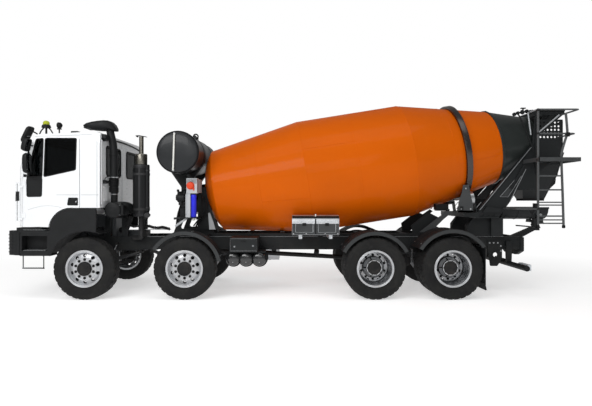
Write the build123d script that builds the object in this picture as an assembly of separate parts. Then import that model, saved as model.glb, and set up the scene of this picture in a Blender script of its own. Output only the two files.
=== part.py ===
from build123d import *
import math
import os

os.makedirs("parts", exist_ok=True)

# Concrete mixer truck on four axles. Millimetres, +Z up, front towards -X, driver's side towards -Y.
# The origin is on the ground, under the middle of the truck.

# Driving dimensions of the chassis
AXLE_X = {1: -3795.0, 2: -1995.0, 3: 1445.0, 4: 2840.0}
TYRE_R = 560.0
TYRE_WIDTH = 315.0
BEAD_R = 320.0
BEAD_WIDTH = 250.0
TWIN_PITCH = 345.0
WHEEL_OUTER_Y = 1250.0
KINGPIN_Y = 880.0
RAIL_Y = 440.0
RAIL_WIDTH = 80.0
RAIL_BOTTOM = 830.0
RAIL_TOP = 1085.0
RAIL_FRONT_X = -4900.0
RAIL_REAR_X = 4440.0
RAIL_WALL = 10.0
SUBFRAME_TOP = 1145.0
SUBFRAME_FRONT_X = -2400.0
SUBFRAME_REAR_X = 3855.0
FIT = 0.3

# Driving dimensions of the cab
CAB_HALF_WIDTH = 1200.0
CAB_FRONT_X = -5150.0
CAB_REAR_X = -3525.0
CAB_BOTTOM = 1315.0
CAB_REAR_BOTTOM = 1660.0
CAB_WALL = 50.0
DOOR_WALL = 48.0
DOOR_FRONT_X = -4925.0
DOOR_REAR_X = -3895.0
DOOR_TOP = 2955.0
SEAM = 6.0
GLASS = 6.0

# Driving dimensions of the drum: its axis rises towards the rear
DRUM_TILT = 9.05
DRUM_X = -421.0
DRUM_Z = 2172.6
RING_S = 3690.0
RING_R = 970.0
RING_WIDTH = 110.0
ROLLER_R = 130.0
ROLLER_ANGLE = 32.0

DRUM_PLANE = Plane(
    origin=(DRUM_X, 0, DRUM_Z),
    x_dir=(0, 1, 0),
    z_dir=(math.cos(math.radians(DRUM_TILT)), 0, math.sin(math.radians(DRUM_TILT))),
)


# Shared forms

def block(x, y, z):
    """A box between two limits on each axis."""
    size = (x[1] - x[0], y[1] - y[0], z[1] - z[0])
    return Pos((x[0] + x[1]) / 2, (y[0] + y[1]) / 2, (z[0] + z[1]) / 2) * Box(*size)


def outline(points, corner=0):
    """A flat outline through points, its corners rounded."""
    face = Polygon(*points, align=None)
    if corner:
        face = fillet(face.vertices(), corner)
    return face


def side_plate(points, y, corner=0):
    """An (x, z) outline made solid between two limits across the truck."""
    plane = Plane(origin=(0, y[1], 0), x_dir=(1, 0, 0), z_dir=(0, -1, 0))
    return extrude(plane * outline(points, corner), amount=y[1] - y[0], dir=(0, -1, 0))


def cross_plate(points, x, corner=0):
    """A (y, z) outline made solid between two limits along the truck."""
    plane = Plane(origin=(x[0], 0, 0), x_dir=(0, 1, 0), z_dir=(1, 0, 0))
    return extrude(plane * outline(points, corner), amount=x[1] - x[0], dir=(1, 0, 0))


def rod(start, end, radius):
    """A round bar between two points."""
    line = Vector(*end) - Vector(*start)
    plane = Plane(origin=start, z_dir=line)
    return extrude(plane * Circle(radius), amount=line.length)


def tube_path(points, radius, bend):
    """A round bar along straight runs joined by arcs."""
    path = FilletPolyline(*points, radius=bend)
    section = Plane(origin=path @ 0, z_dir=path % 0) * Circle(radius)
    return sweep(section, path=path)


def turned(profile, place):
    """A (radius, height) outline turned about the Z axis of a plane."""
    return place * revolve(Plane.XZ * Polygon(*profile, align=None), Axis.Z)


def across(x, z):
    """A plane whose Z axis runs out to the driver's side from the middle of the truck."""
    return Plane(origin=(x, 0, z), x_dir=(1, 0, 0), z_dir=(0, -1, 0))


def other_side(shape):
    """The same form on the passenger's side."""
    return mirror(shape, about=Plane.XZ)


def pair(shape):
    """The form on both sides."""
    return [shape, other_side(shape)]


def ring_of(count, radius, make, start=0.0):
    """Copies of a form in a circle about the Z axis."""
    step = 360.0 / count
    return [Rot(0, 0, start + step * i) * Pos(radius, 0, 0) * make for i in range(count)]


def fused(shapes):
    """One solid from several that touch."""
    result = shapes[0]
    for shape in shapes[1:]:
        result = result + shape
    return result


# Chassis frame

CROSS_X = [-4800.0, -2900.0, -1000.0, 250.0, 1240.0, 2142.0, 3100.0, 3800.0]
CROSS_R = 55.0
PIVOT_X = -5075.0
PIVOT_Z = 1265.0
PIVOT_EYE_R = 36.0
PIVOT_PIN_R = 20.0
PIVOT_Y = (395.0, 440.0)
FRONT_SPRING_HALF = 780.0
FRONT_SPRING_END_Z = 785.0
FRONT_SPRING_Y = (362.0, 438.0)
FRONT_SPRING_THICK = 70.0
HANGER_HALF = 35.0
REAR_SPRING_Y = (462.0, 545.0)
REAR_SPRING_Z = 745.0
REAR_SPRING_THICK = 110.0
REAR_SPRING_DROP = 25.0
TANDEM_X = (AXLE_X[3] + AXLE_X[4]) / 2
TOW_X = (4425.0, 4495.0)
TOW_Z = (710.0, 1070.0)
LASH_X = (3770.0, 4065.0)
LASH_HOLE = (3925.0, 729.0)
LASH_HOLE_R = 45.0
CAB_MOUNT_X = (-3720.0, -3620.0)


def rail():
    """The driver's side channel, open towards the middle."""
    outer = block((RAIL_FRONT_X, RAIL_REAR_X), (-RAIL_Y, -RAIL_Y + RAIL_WIDTH), (RAIL_BOTTOM, RAIL_TOP))
    hollow = block(
        (RAIL_FRONT_X - 1, RAIL_REAR_X + 1),
        (-RAIL_Y + RAIL_WALL, -RAIL_Y + RAIL_WIDTH + 1),
        (RAIL_BOTTOM + RAIL_WALL, RAIL_TOP - RAIL_WALL),
    )
    return outer - hollow


def cab_pivot_bracket():
    """The plate on the front of a rail that holds the cab's tilt pin."""
    plate = side_plate(
        [
            (RAIL_FRONT_X, RAIL_BOTTOM),
            (RAIL_FRONT_X, RAIL_TOP),
            (PIVOT_X + 30, PIVOT_Z + 18),
            (PIVOT_X, PIVOT_Z),
            (PIVOT_X - PIVOT_EYE_R + 1, PIVOT_Z - 5),
            (PIVOT_X - 20, PIVOT_Z - 60),
            (RAIL_FRONT_X - 110, RAIL_BOTTOM),
        ],
        (-PIVOT_Y[1], -PIVOT_Y[0]),
    )
    plate = plate + rod((PIVOT_X, -PIVOT_Y[1], PIVOT_Z), (PIVOT_X, -PIVOT_Y[0], PIVOT_Z), PIVOT_EYE_R)
    hole = rod((PIVOT_X, -PIVOT_Y[1] - 1, PIVOT_Z), (PIVOT_X, -PIVOT_Y[0] + 1, PIVOT_Z), PIVOT_PIN_R + FIT)
    return plate + block(
        (RAIL_FRONT_X - 60, RAIL_FRONT_X + 40), (-RAIL_Y, -PIVOT_Y[0]), (RAIL_BOTTOM, RAIL_TOP)
    ) - hole


def spring_hanger(x, y, z_low):
    """A bracket under a rail, down to a spring's eye."""
    top = RAIL_BOTTOM
    wide = 2 * HANGER_HALF
    points = [(x - wide, top), (x - HANGER_HALF, z_low), (x + HANGER_HALF, z_low), (x + wide, top)]
    return side_plate(points, (y[0], y[1]), 0)


def lashing_plate():
    """The holed plate that hangs from the rear end of a rail."""
    plate = side_plate(
        [
            (LASH_X[0], 1000),
            (LASH_X[0] + 60, 505),
            (LASH_X[1] - 95, 505),
            (LASH_X[1], 640),
            (LASH_X[1], 1000),
        ],
        (-RAIL_Y - 15, -RAIL_Y),
        25,
    )
    x, z = LASH_HOLE
    return plate - rod((x, -RAIL_Y - 20, z), (x, -RAIL_Y + 5, z), LASH_HOLE_R)


def tow_crossmember():
    """The plate across the rear end, with a round tow eye hole in its middle."""
    width = RAIL_Y + 15
    plate = cross_plate(
        [
            (-width, 800), (-width, TOW_Z[1]), (width, TOW_Z[1]), (width, 800), (240, TOW_Z[0]),
            (-240, TOW_Z[0])
        ],
        TOW_X,
        20,
    )
    side = block(
        (RAIL_REAR_X - 160, TOW_X[0] + 5), (-RAIL_Y + 10, -RAIL_Y + 22), (RAIL_BOTTOM + 12, RAIL_TOP - 12)
    )
    hole = rod((TOW_X[0] - 5, 0, 890), (TOW_X[1] + 5, 0, 890), 60)
    return fused([plate, side, other_side(side)]) - hole


def cab_rest():
    """A stand on a rail that carries the rear of the cab."""
    foot = block(CAB_MOUNT_X, (-RAIL_Y, -RAIL_Y + RAIL_WIDTH), (RAIL_TOP, CAB_REAR_BOTTOM - 60))
    pad = block(
        (CAB_MOUNT_X[0] - 25, CAB_MOUNT_X[1] + 25),
        (-RAIL_Y - 30, -RAIL_Y + RAIL_WIDTH + 30),
        (CAB_REAR_BOTTOM - 60, CAB_REAR_BOTTOM - FIT),
    )
    return foot + pad


def chassis_frame():
    """Both rails with their crossmembers and the brackets welded to them."""
    left = [rail(), cab_pivot_bracket(), lashing_plate(), cab_rest()]
    hanger_z = FRONT_SPRING_END_Z + FRONT_SPRING_THICK / 2 + FIT
    for number in (1, 2):
        for end in (-1, 1):
            x = AXLE_X[number] + end * (FRONT_SPRING_HALF - HANGER_HALF)
            left.append(spring_hanger(x, (-FRONT_SPRING_Y[1], -FRONT_SPRING_Y[0]), hanger_z))
    saddle = spring_hanger(
        TANDEM_X, (-REAR_SPRING_Y[1], -RAIL_Y + RAIL_WIDTH), REAR_SPRING_Z + REAR_SPRING_THICK / 2 + FIT
    )
    left.append(saddle)
    rails = fused(left)
    shapes = [rails, other_side(rails), tow_crossmember()]
    inner = RAIL_Y - RAIL_WALL / 2
    for x in CROSS_X:
        shapes.append(rod((x, -inner, 960), (x, inner, 960), CROSS_R))
    return fused(shapes)


# Mixer subframe and its rear plates

SUB_PLATE = [(3365, 1165), (3365, 1300), (3480, 1451), (3855, 1451), (3855, 1165)]
BRACE = [(2315, 1135), (2290, 1305), (2620, 1560), (2850, 1445), (2480, 1135)]


def subframe():
    """The mixer's own rails on top of the chassis, with brace plates towards the rear."""
    outer = block(
        (SUBFRAME_FRONT_X, SUBFRAME_REAR_X), (-RAIL_Y, -RAIL_Y + RAIL_WIDTH), (RAIL_TOP, SUBFRAME_TOP)
    )
    rear = side_plate(SUB_PLATE, (-RAIL_Y - 60, -RAIL_Y + RAIL_WIDTH), 20)
    foot = block((3365, SUBFRAME_REAR_X), (-RAIL_Y - 60, -RAIL_Y + RAIL_WIDTH), (RAIL_TOP + 20, 1200))
    brace = side_plate(BRACE, (-RAIL_Y, -RAIL_Y + 14), 18)
    left = fused([outer, rear, foot, brace])
    inner = RAIL_Y - RAIL_WIDTH / 2
    cross = [
        block((x, x + 90), (-inner, inner), (RAIL_TOP + 5, SUBFRAME_TOP - 5))
        for x in (SUBFRAME_FRONT_X + 40, -300, 1240, 2142, 3700)
    ]
    return fused([left, other_side(left)] + cross)


# Engine, as one plain mass between the rails

GEARBOX_REAR_X = -3020.0


def engine_block():
    """The engine and its gearbox, carried by feet on the rails' flanges."""
    core = block((-4330, -3560), (-300, 300), (760, 1500))
    box = block((-3560, GEARBOX_REAR_X), (-190, 190), (780, 1180))
    feet = block(
        (-4200, -4080), (-RAIL_Y + RAIL_WIDTH - 20, RAIL_Y - RAIL_WIDTH + 20),
        (RAIL_TOP + FIT, RAIL_TOP + 40)
    )
    return fused([core, box, feet])


# Axles

BEAM_Z = 470.0
BEAM_TOP = 520.0
KINGPIN_R = 22.0
KINGPIN_EYE_R = 48.0
EYE_HALF_HEIGHT = 60.0
FRONT_SEAT_Z = 600.0
YOKE_HALF_HEIGHT = 118.0
SPINDLE_R = 42.0
STEER_SPINDLE_END = 1130.0
DRIVE_TUBE_R = 80.0
DRIVE_TUBE_END = 690.0
DRIVE_SPINDLE_R = 60.0
DRIVE_SPINDLE_END = 1080.0
BANJO_R = 235.0


def steer_beam(x):
    """A dropped forged beam with an eye for a kingpin at each end."""
    half = [(0, BEAM_Z - 40), (0, BEAM_TOP), (520, BEAM_TOP), (820, 610), (KINGPIN_Y, 610)]
    half += [(KINGPIN_Y, 520), (800, 510), (540, BEAM_Z - 40)]
    arm = cross_plate([(-y, z) for y, z in half], (x - 45, x + 45), 0)
    eye = rod(
        (x, -KINGPIN_Y, TYRE_R - EYE_HALF_HEIGHT), (x, -KINGPIN_Y, TYRE_R + EYE_HALF_HEIGHT), KINGPIN_EYE_R
    )
    bore = rod((x, -KINGPIN_Y, TYRE_R - 200), (x, -KINGPIN_Y, TYRE_R + 200), KINGPIN_R + FIT)
    outside = block((x - 80, x + 80), (-KINGPIN_Y - 60, -KINGPIN_Y), (400, 700)) - eye
    left = (arm - outside + eye) - bore
    seat = block(
        (x - 60, x + 60), (-FRONT_SPRING_Y[1] - 10, -FRONT_SPRING_Y[0] + 10), (BEAM_TOP - 5, FRONT_SEAT_Z)
    )
    left = left + seat
    return left + other_side(left)


def leaf_pack(x, half, z_mid, z_end, thick, y):
    """A bent stack of leaves, thickest over its middle."""
    top = ThreePointArc((-half, z_end + thick / 2), (0, z_mid + thick / 2), (half, z_end + thick / 2))
    low = ThreePointArc((half, z_end - thick / 4), (0, z_mid - thick / 2), (-half, z_end - thick / 4))
    ends = [Line(top @ 1, low @ 0), Line(low @ 1, top @ 0)]
    face = make_face([top, ends[0], low, ends[1]])
    plane = Plane(origin=(x, y[1], 0), x_dir=(1, 0, 0), z_dir=(0, -1, 0))
    return extrude(plane * face, amount=y[1] - y[0], dir=(0, -1, 0))


def front_axles():
    """Both steered beams, each under its two leaf springs."""
    shapes = []
    for number in (1, 2):
        x = AXLE_X[number]
        beam = steer_beam(x)
        z_mid = FRONT_SEAT_Z + FRONT_SPRING_THICK / 2 - 6
        spring = leaf_pack(
            x,
            FRONT_SPRING_HALF,
            z_mid,
            FRONT_SPRING_END_Z,
            FRONT_SPRING_THICK,
            (-FRONT_SPRING_Y[1], -FRONT_SPRING_Y[0]),
        )
        shapes.append(fused([beam, spring, other_side(spring)]))
    return shapes


def drive_axle(x):
    """A driven axle: a round differential housing, its tube and a spindle at each end."""
    tube = rod((x, -DRIVE_TUBE_END, TYRE_R), (x, DRIVE_TUBE_END, TYRE_R), DRIVE_TUBE_R)
    spindle = rod((x, -DRIVE_SPINDLE_END, TYRE_R), (x, DRIVE_SPINDLE_END, TYRE_R), DRIVE_SPINDLE_R)
    banjo = turned(
        [(0, -150), (170, -150), (BANJO_R, -60), (BANJO_R, 60), (170, 150), (0, 150)],
        Pos(x, 0, TYRE_R) * Rot(0, 90, 0)
    )
    nose = rod((x - 330, 0, TYRE_R + 60), (x, 0, TYRE_R + 60), 95)
    seat_z = REAR_SPRING_Z - REAR_SPRING_DROP - REAR_SPRING_THICK / 4
    seat = block((x - 55, x + 55), (-REAR_SPRING_Y[1], -REAR_SPRING_Y[0]), (TYRE_R, seat_z))
    return fused([tube, spindle, banjo, nose, seat, other_side(seat)])


def drive_axles():
    """Both driven axles, the springs that rest on them and the shafts that turn them."""
    left = leaf_pack(
        TANDEM_X,
        (AXLE_X[4] - AXLE_X[3]) / 2 + 90,
        REAR_SPRING_Z,
        REAR_SPRING_Z - REAR_SPRING_DROP,
        REAR_SPRING_THICK,
        (-REAR_SPRING_Y[1], -REAR_SPRING_Y[0]),
    )
    axles = fused([drive_axle(AXLE_X[3]), drive_axle(AXLE_X[4]), left, other_side(left)])
    nose = TYRE_R + 60
    front_shaft = rod((GEARBOX_REAR_X + 6, 0, 850), (AXLE_X[3] - 325, 0, nose), 45)
    link_shaft = rod((AXLE_X[3] + 100, 0, nose), (AXLE_X[4] - 325, 0, nose), 55)
    return fused([axles, front_shaft, link_shaft])


# Steering knuckles and wheels, on the driver's side

HUB_FACE = 1000.0
HUB_R = 110.0
RIM_WALL = 20.0
RIM_LIP_R = 336.0
RIM_LIP = 15.0
VENT_COUNT = 10
VENT_R = 30.0
VENT_CIRCLE_R = 240.0
HUB_CAP_R = 127.0
WHEEL_MID_Y = WHEEL_OUTER_Y - TYRE_WIDTH / 2
TWIN_MID_Y = WHEEL_MID_Y - TWIN_PITCH
DISC_Y = (WHEEL_MID_Y + TWIN_MID_Y) / 2
REAR_HUB_R = 195.0
TWIN_VENT_COUNT = 8
TWIN_VENT_CIRCLE_R = 255.0
TWIN_VENT_R = 24.0
BRAKE_DRUM_R = 215.0
BRAKE_DRUM_INNER_Y = 705.0


def knuckle(x):
    """A steering knuckle: kingpin, yoke, brake plate, spindle and steering arm."""
    y = -KINGPIN_Y
    gap = EYE_HALF_HEIGHT + FIT
    shapes = [rod((x, y, TYRE_R - YOKE_HALF_HEIGHT), (x, y, TYRE_R + YOKE_HALF_HEIGHT), KINGPIN_R)]
    for low, high in ((-YOKE_HALF_HEIGHT, -gap), (gap, YOKE_HALF_HEIGHT)):
        shapes.append(rod((x, y, TYRE_R + low), (x, y, TYRE_R + high), 45))
        shapes.append(block((x - 40, x + 40), (y - 90, y), (TYRE_R + low, TYRE_R + high)))
    web = block((x - 60, x + 60), (y - 95, y - 58), (TYRE_R - YOKE_HALF_HEIGHT, TYRE_R + YOKE_HALF_HEIGHT))
    plate = rod((x, y - 100, TYRE_R), (x, y - 88, TYRE_R), 205)
    spindle = rod((x, y - 90, TYRE_R), (x, -STEER_SPINDLE_END, TYRE_R), SPINDLE_R)
    arm = block((x, x + 230), (y - 20, y + 20), (TYRE_R - YOKE_HALF_HEIGHT, TYRE_R - YOKE_HALF_HEIGHT + 35))
    return fused(shapes + [web, plate, spindle, arm])


def tyre(mid_y):
    """A plain tyre, bulged at its sidewalls, its middle at a distance from the truck's middle."""
    bead = BEAD_WIDTH / 2
    side = TYRE_WIDTH / 2
    half = [
        Line((BEAD_R, mid_y), (BEAD_R, mid_y + bead)),
        Line((BEAD_R, mid_y + bead), (RIM_LIP_R + 1, mid_y + bead)),
        ThreePointArc(
            (RIM_LIP_R + 1, mid_y + bead), (BEAD_R + 120, mid_y + side), (TYRE_R - 30, mid_y + side - 14)
        ),
        ThreePointArc(
            (TYRE_R - 30, mid_y + side - 14), (TYRE_R - 10, mid_y + side - 20),
            (TYRE_R - 2, mid_y + side - 35)
        ),
        Line((TYRE_R - 2, mid_y + side - 35), (TYRE_R, mid_y)),
        Line((TYRE_R, mid_y), (BEAD_R, mid_y)),
    ]
    outer = revolve(Plane.XZ * make_face(half), Axis.Z)
    whole = outer + mirror(outer, about=Plane(origin=(0, 0, mid_y), z_dir=(0, 0, 1)))
    return across(0, TYRE_R) * whole


def rim_barrel(mid_y):
    """The hoop that a tyre sits on, with its two lips, as a profile about the wheel's axis."""
    inner = BEAD_R - RIM_WALL
    seat = BEAD_R - FIT
    edge = BEAD_WIDTH / 2 + FIT
    low = mid_y - edge
    high = mid_y + edge
    return [
        (inner, low - RIM_LIP),
        (RIM_LIP_R, low - RIM_LIP),
        (RIM_LIP_R, low),
        (seat, low),
        (seat, high),
        (RIM_LIP_R, high),
        (RIM_LIP_R, high + RIM_LIP),
        (inner, high + RIM_LIP),
    ]


def steer_rim():
    """A vented disc wheel with a domed hub cap."""
    place = across(0, TYRE_R)
    barrel = turned(rim_barrel(WHEEL_MID_Y), place)
    inner = BEAD_R - RIM_WALL
    disc = turned(
        [
            (0, 1190),
            (205, 1190),
            (285, 1150),
            (inner + 2, 1150),
            (inner + 2, 1166),
            (288, 1166),
            (206, 1207),
            (0, 1207),
        ],
        place,
    )
    hub = turned([(0, HUB_FACE), (HUB_R, HUB_FACE), (HUB_R, 1195), (0, 1195)], place)
    cap = turned([(0, 1200), (HUB_CAP_R, 1200), (HUB_CAP_R, 1225), (105, 1243), (0, 1246)], place)
    bore = place * Pos(0, 0, HUB_FACE - 5) * Cylinder(
        SPINDLE_R + FIT, STEER_SPINDLE_END + 5 - HUB_FACE + 5, align=(Align.CENTER, Align.CENTER, Align.MIN)
    )
    for vent in ring_of(VENT_COUNT, VENT_CIRCLE_R, Cylinder(VENT_R, 120), 180.0 / VENT_COUNT):
        disc = disc - place * Pos(0, 0, 1180) * vent
    return fused([barrel, disc, hub, cap]) - bore


def twin_rims():
    """Two rims bolted back to back on one hub, with the brake drum behind them."""
    place = across(0, TYRE_R)
    inner = BEAD_R - RIM_WALL
    barrels = [turned(rim_barrel(mid_y), place) for mid_y in (WHEEL_MID_Y, TWIN_MID_Y)]
    half = TWIN_PITCH / 2 - BEAD_WIDTH / 2
    sleeve = [
        (inner - 12, DISC_Y - half), (inner + 2, DISC_Y - half), (inner + 2, DISC_Y + half),
        (inner - 12, DISC_Y + half)
    ]
    disc = [(0, DISC_Y - 14), (inner, DISC_Y - 14), (inner, DISC_Y + 14), (0, DISC_Y + 14)]
    hub = [(0, DISC_Y), (REAR_HUB_R, DISC_Y), (REAR_HUB_R, 1000), (140, 1060), (140, 1095), (0, 1100)]
    drum = [
        (0, BRAKE_DRUM_INNER_Y), (BRAKE_DRUM_R, BRAKE_DRUM_INNER_Y), (BRAKE_DRUM_R, DISC_Y), (0, DISC_Y)
    ]
    bore = place * Pos(0, 0, BRAKE_DRUM_INNER_Y - 5) * Cylinder(
        DRIVE_SPINDLE_R + FIT,
        DRIVE_SPINDLE_END + 5 - BRAKE_DRUM_INNER_Y + 5,
        align=(Align.CENTER, Align.CENTER, Align.MIN),
    )
    plate = turned(disc, place)
    for vent in ring_of(
        TWIN_VENT_COUNT, TWIN_VENT_CIRCLE_R, Cylinder(TWIN_VENT_R, 60), 180.0 / TWIN_VENT_COUNT
    ):
        plate = plate - place * Pos(0, 0, DISC_Y) * vent
    return fused(barrels + [plate] + [turned(profile, place) for profile in (sleeve, hub, drum)]) - bore


# Mudguards

GUARD_WALL = 10.0
GUARD_STAY_R = 18.0
# axle, outer radius, first and last angle from the rear, inner and outer distance from the middle
GUARDS = [
    (2, 672.0, 12.0, 148.0, 900.0, 1250.0),
    (3, 668.0, 28.0, 152.0, 600.0, 1250.0),
    (4, 708.0, 35.0, 149.0, 600.0, 1250.0),
]
FLAP_X = (3412.0, 3420.0)
FLAP_BOTTOM = 180.0
FENDER_R = 675.0
FENDER_Y = (-1195.0, -1150.0)
FENDER_STAYS = (88, 116)
FENDER_REAR_X = -3600.0
STEP_X = (-4985.0, -4436.0)
FENDER_FRONT_X = STEP_X[1] + FIT
FENDER_ARC = [(FENDER_FRONT_X, 1312), (-4308, 1549), (-4006, 1645)]
FENDER_EDGE = [
    FENDER_ARC[2], (FENDER_REAR_X, 1650), (FENDER_REAR_X, 1188), (FENDER_FRONT_X, 784), FENDER_ARC[0]
]


def arch(x, outer_r, first, last, y):
    """A curved sheet over a wheel, between two angles from the rear."""
    inner_r = outer_r - GUARD_WALL
    span = last - first
    arcs = [CenterArc((0, 0), radius, first, span) for radius in (outer_r, inner_r)]
    ends = [Line(arcs[0] @ 0, arcs[1] @ 0), Line(arcs[0] @ 1, arcs[1] @ 1)]
    plane = Plane(origin=(x, y[1], TYRE_R), x_dir=(1, 0, 0), z_dir=(0, -1, 0))
    return extrude(plane * make_face(arcs + ends), amount=y[1] - y[0], dir=(0, -1, 0))


def guard(axle, outer_r, first, last, inner_y, outer_y):
    """A half-round mudguard on the two stays that carry it."""
    x = AXLE_X[axle]
    shapes = [arch(x, outer_r, first, last, (-outer_y, -inner_y))]
    stay_r = outer_r - GUARD_WALL - GUARD_STAY_R + 1
    rise = (RAIL_TOP + SUBFRAME_TOP) / 2 - TYRE_R
    run = math.sqrt(stay_r ** 2 - rise ** 2)
    for end in (-run, run):
        z = TYRE_R + rise
        shapes.append(rod((x + end, -outer_y + 20, z), (x + end, -RAIL_Y - FIT, z), GUARD_STAY_R))
    return shapes


def front_fender():
    """The lower part of the front wheel arch: a side panel on a curved liner."""
    x = AXLE_X[1]
    edges = [ThreePointArc(*FENDER_ARC), Polyline(*FENDER_EDGE)]
    plane = Plane(origin=(0, FENDER_Y[1], 0), x_dir=(1, 0, 0), z_dir=(0, -1, 0))
    panel = extrude(plane * make_face(edges), amount=FENDER_Y[1] - FENDER_Y[0], dir=(0, -1, 0))
    opening = rod((x, FENDER_Y[0] - 5, TYRE_R), (x, FENDER_Y[1] + 5, TYRE_R), FENDER_R)
    liner = arch(x, FENDER_R + GUARD_WALL, 68, 156, (FENDER_Y[0] + 2, -700))
    stays = []
    for angle in FENDER_STAYS:
        a = math.radians(angle)
        reach = FENDER_R + GUARD_WALL + GUARD_STAY_R - 2
        px = x + reach * math.cos(a)
        pz = TYRE_R + reach * math.sin(a)
        stays.append(rod((px, -1155, pz), (px, -RAIL_Y + 2, pz), GUARD_STAY_R))
    return [panel - opening, liner] + stays


def mudguards():
    """The guards of every wheel with the flaps behind the last axle."""
    shapes = [fused(guard(*GUARDS[0]))]
    shapes.append(fused(guard(*GUARDS[1])))
    flap = block(FLAP_X, (-GUARDS[2][5], -GUARDS[2][4]), (FLAP_BOTTOM, 966))
    shapes.append(fused(guard(*GUARDS[2]) + [flap]))
    return [side for shape in shapes for side in pair(shape)]


def front_fenders():
    """The front arches, each with a post from its stays down to the rail."""
    posts = []
    for angle in FENDER_STAYS:
        a = math.radians(angle)
        reach = FENDER_R + GUARD_WALL + GUARD_STAY_R - 2
        px = AXLE_X[1] + reach * math.cos(a)
        pz = TYRE_R + reach * math.sin(a)
        posts.append(block((px - 15, px + 15), (-RAIL_Y, -RAIL_Y + 30), (RAIL_TOP, pz)))
    return pair(fused(front_fender() + posts))


# Front bumper, step boxes and lamps

BUMPER_FRONT_X = -5275.0
BUMPER_CORNER_X = -5190.0
BUMPER_Z = (800.0, 1222.0)
BUMPER_WALL = 45.0
STEP_Y = (-1190.0, -900.0)
STEP_Z = (784.0, 1250.0)
STEP_OPENING_Z = (885.0, 1150.0)
HANGING_STEP_X = (-4945.0, -4571.0)
HANGING_STEP_Z = 560.0
LAMP_Y = (-1080.0, -800.0)
LAMP_Z = (940.0, 1120.0)


def bumper_face(inset):
    """The bumper's plan outline, bowed at the front and rounded at its corners."""
    front = BUMPER_FRONT_X + inset
    corner = BUMPER_CORNER_X + inset
    side = CAB_HALF_WIDTH - inset
    edges = [
        ThreePointArc((corner, -side + 200), (front, 0), (corner, side - 200)),
        ThreePointArc((corner, side - 200), (corner + 70, side - 60), (corner + 210, side)),
        Line((corner + 210, side), (-4600, side)),
        Line((-4600, side), (-4600, -side)),
        Line((-4600, -side), (corner + 210, -side)),
        ThreePointArc((corner + 210, -side), (corner + 70, -side + 60), (corner, -side + 200)),
    ]
    return make_face(edges)


def lamp_pocket(gap):
    """The space of a headlamp in the driver's side of the bumper, larger by a gap."""
    return block(
        (BUMPER_FRONT_X - 50, BUMPER_CORNER_X + 130 + gap),
        (LAMP_Y[0] - gap, LAMP_Y[1] + gap),
        (LAMP_Z[0] - gap, LAMP_Z[1] + gap),
    )


def bumper():
    """The bowed bumper with both step boxes, on arms that reach the first crossmember."""
    height = BUMPER_Z[1] - BUMPER_Z[0]
    outer = extrude(Pos(0, 0, BUMPER_Z[0]) * bumper_face(0), amount=height, dir=(0, 0, 1))
    inner = extrude(Pos(0, 0, BUMPER_Z[0] - 1) * bumper_face(BUMPER_WALL), amount=height + 2, dir=(0, 0, 1))
    bow = outer - inner - block((STEP_X[0] + 5, -4500), (-2000, 2000), (0, 3000))
    intake = block((BUMPER_FRONT_X - 5, BUMPER_CORNER_X + 60), (-520, 520), (880, 1010))
    bow = bow - intake - lamp_pocket(FIT) - other_side(lamp_pocket(FIT))
    step = block(STEP_X, STEP_Y, STEP_Z)
    step = fillet(step.edges().filter_by(Axis.X).group_by(Axis.Y)[0], 40)
    step = step - block((STEP_X[0] + 45, STEP_X[1] - 45), (STEP_Y[0] - 5, STEP_Y[0] + 190), STEP_OPENING_Z)
    y = STEP_Y[0] + 60
    hanger = [rod((x, y, HANGING_STEP_Z), (x, y, STEP_Z[0] + 5), 9) for x in HANGING_STEP_X]
    tread = rod(
        (HANGING_STEP_X[0] - 10, y, HANGING_STEP_Z), (HANGING_STEP_X[1] + 10, y, HANGING_STEP_Z), 12
    )
    tie = block((STEP_X[0] + 60, STEP_X[0] + 180), (STEP_Y[1] - 5, -RAIL_Y - FIT), (870, 960))
    arm = block((BUMPER_FRONT_X + 30, CROSS_X[0] - CROSS_R - FIT), (-370, -310), (920, 1000))
    left = fused([step, tread, tie] + hanger)
    return fused([bow, left, other_side(left), arm, other_side(arm)])


def lamps():
    """Headlamps in the bumper and lamp clusters on the rear bar."""
    back = BUMPER_CORNER_X + 130
    front = extrude(Pos(0, 0, LAMP_Z[0]) * bumper_face(4), amount=LAMP_Z[1] - LAMP_Z[0], dir=(0, 0, 1))
    head = front & lamp_pocket(0)
    carrier = block((back, back + 12), (LAMP_Y[0] - 30, LAMP_Y[1] + 30), (LAMP_Z[0] - 30, LAMP_Z[1] + 30))
    inner = extrude(Pos(0, 0, LAMP_Z[0] - 50) * bumper_face(BUMPER_WALL + FIT), amount=400, dir=(0, 0, 1))
    head = head + (carrier & inner)
    rear = block(
        (BAR_X + BAR_R + FIT, BAR_X + BAR_R + 60), (-1130, -760), (BAR_Z - 60, BAR_Z + 60)
    )
    rear = fillet(rear.edges().filter_by(Axis.X), 20)
    return pair(head) + pair(rear)


# Underrun bar

BAR_X = 4185.0
BAR_Z = 560.0
BAR_R = 52.0
BAR_HALF = 1200.0


def underrun_bar():
    """The round bar across the rear, on two arms from the rails."""
    bar = rod((BAR_X, -BAR_HALF, BAR_Z), (BAR_X, BAR_HALF, BAR_Z), BAR_R)
    arm = side_plate(
        [
            (BAR_X - 45, BAR_Z - 20), (BAR_X + 45, BAR_Z - 20), (BAR_X + 60, RAIL_TOP - 90),
            (BAR_X - 60, RAIL_TOP - 90)
        ],
        (-RAIL_Y - 60, -RAIL_Y - FIT),
        0,
    )
    return fused([bar, arm, other_side(arm)])


# Tanks and boxes on the rails

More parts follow.
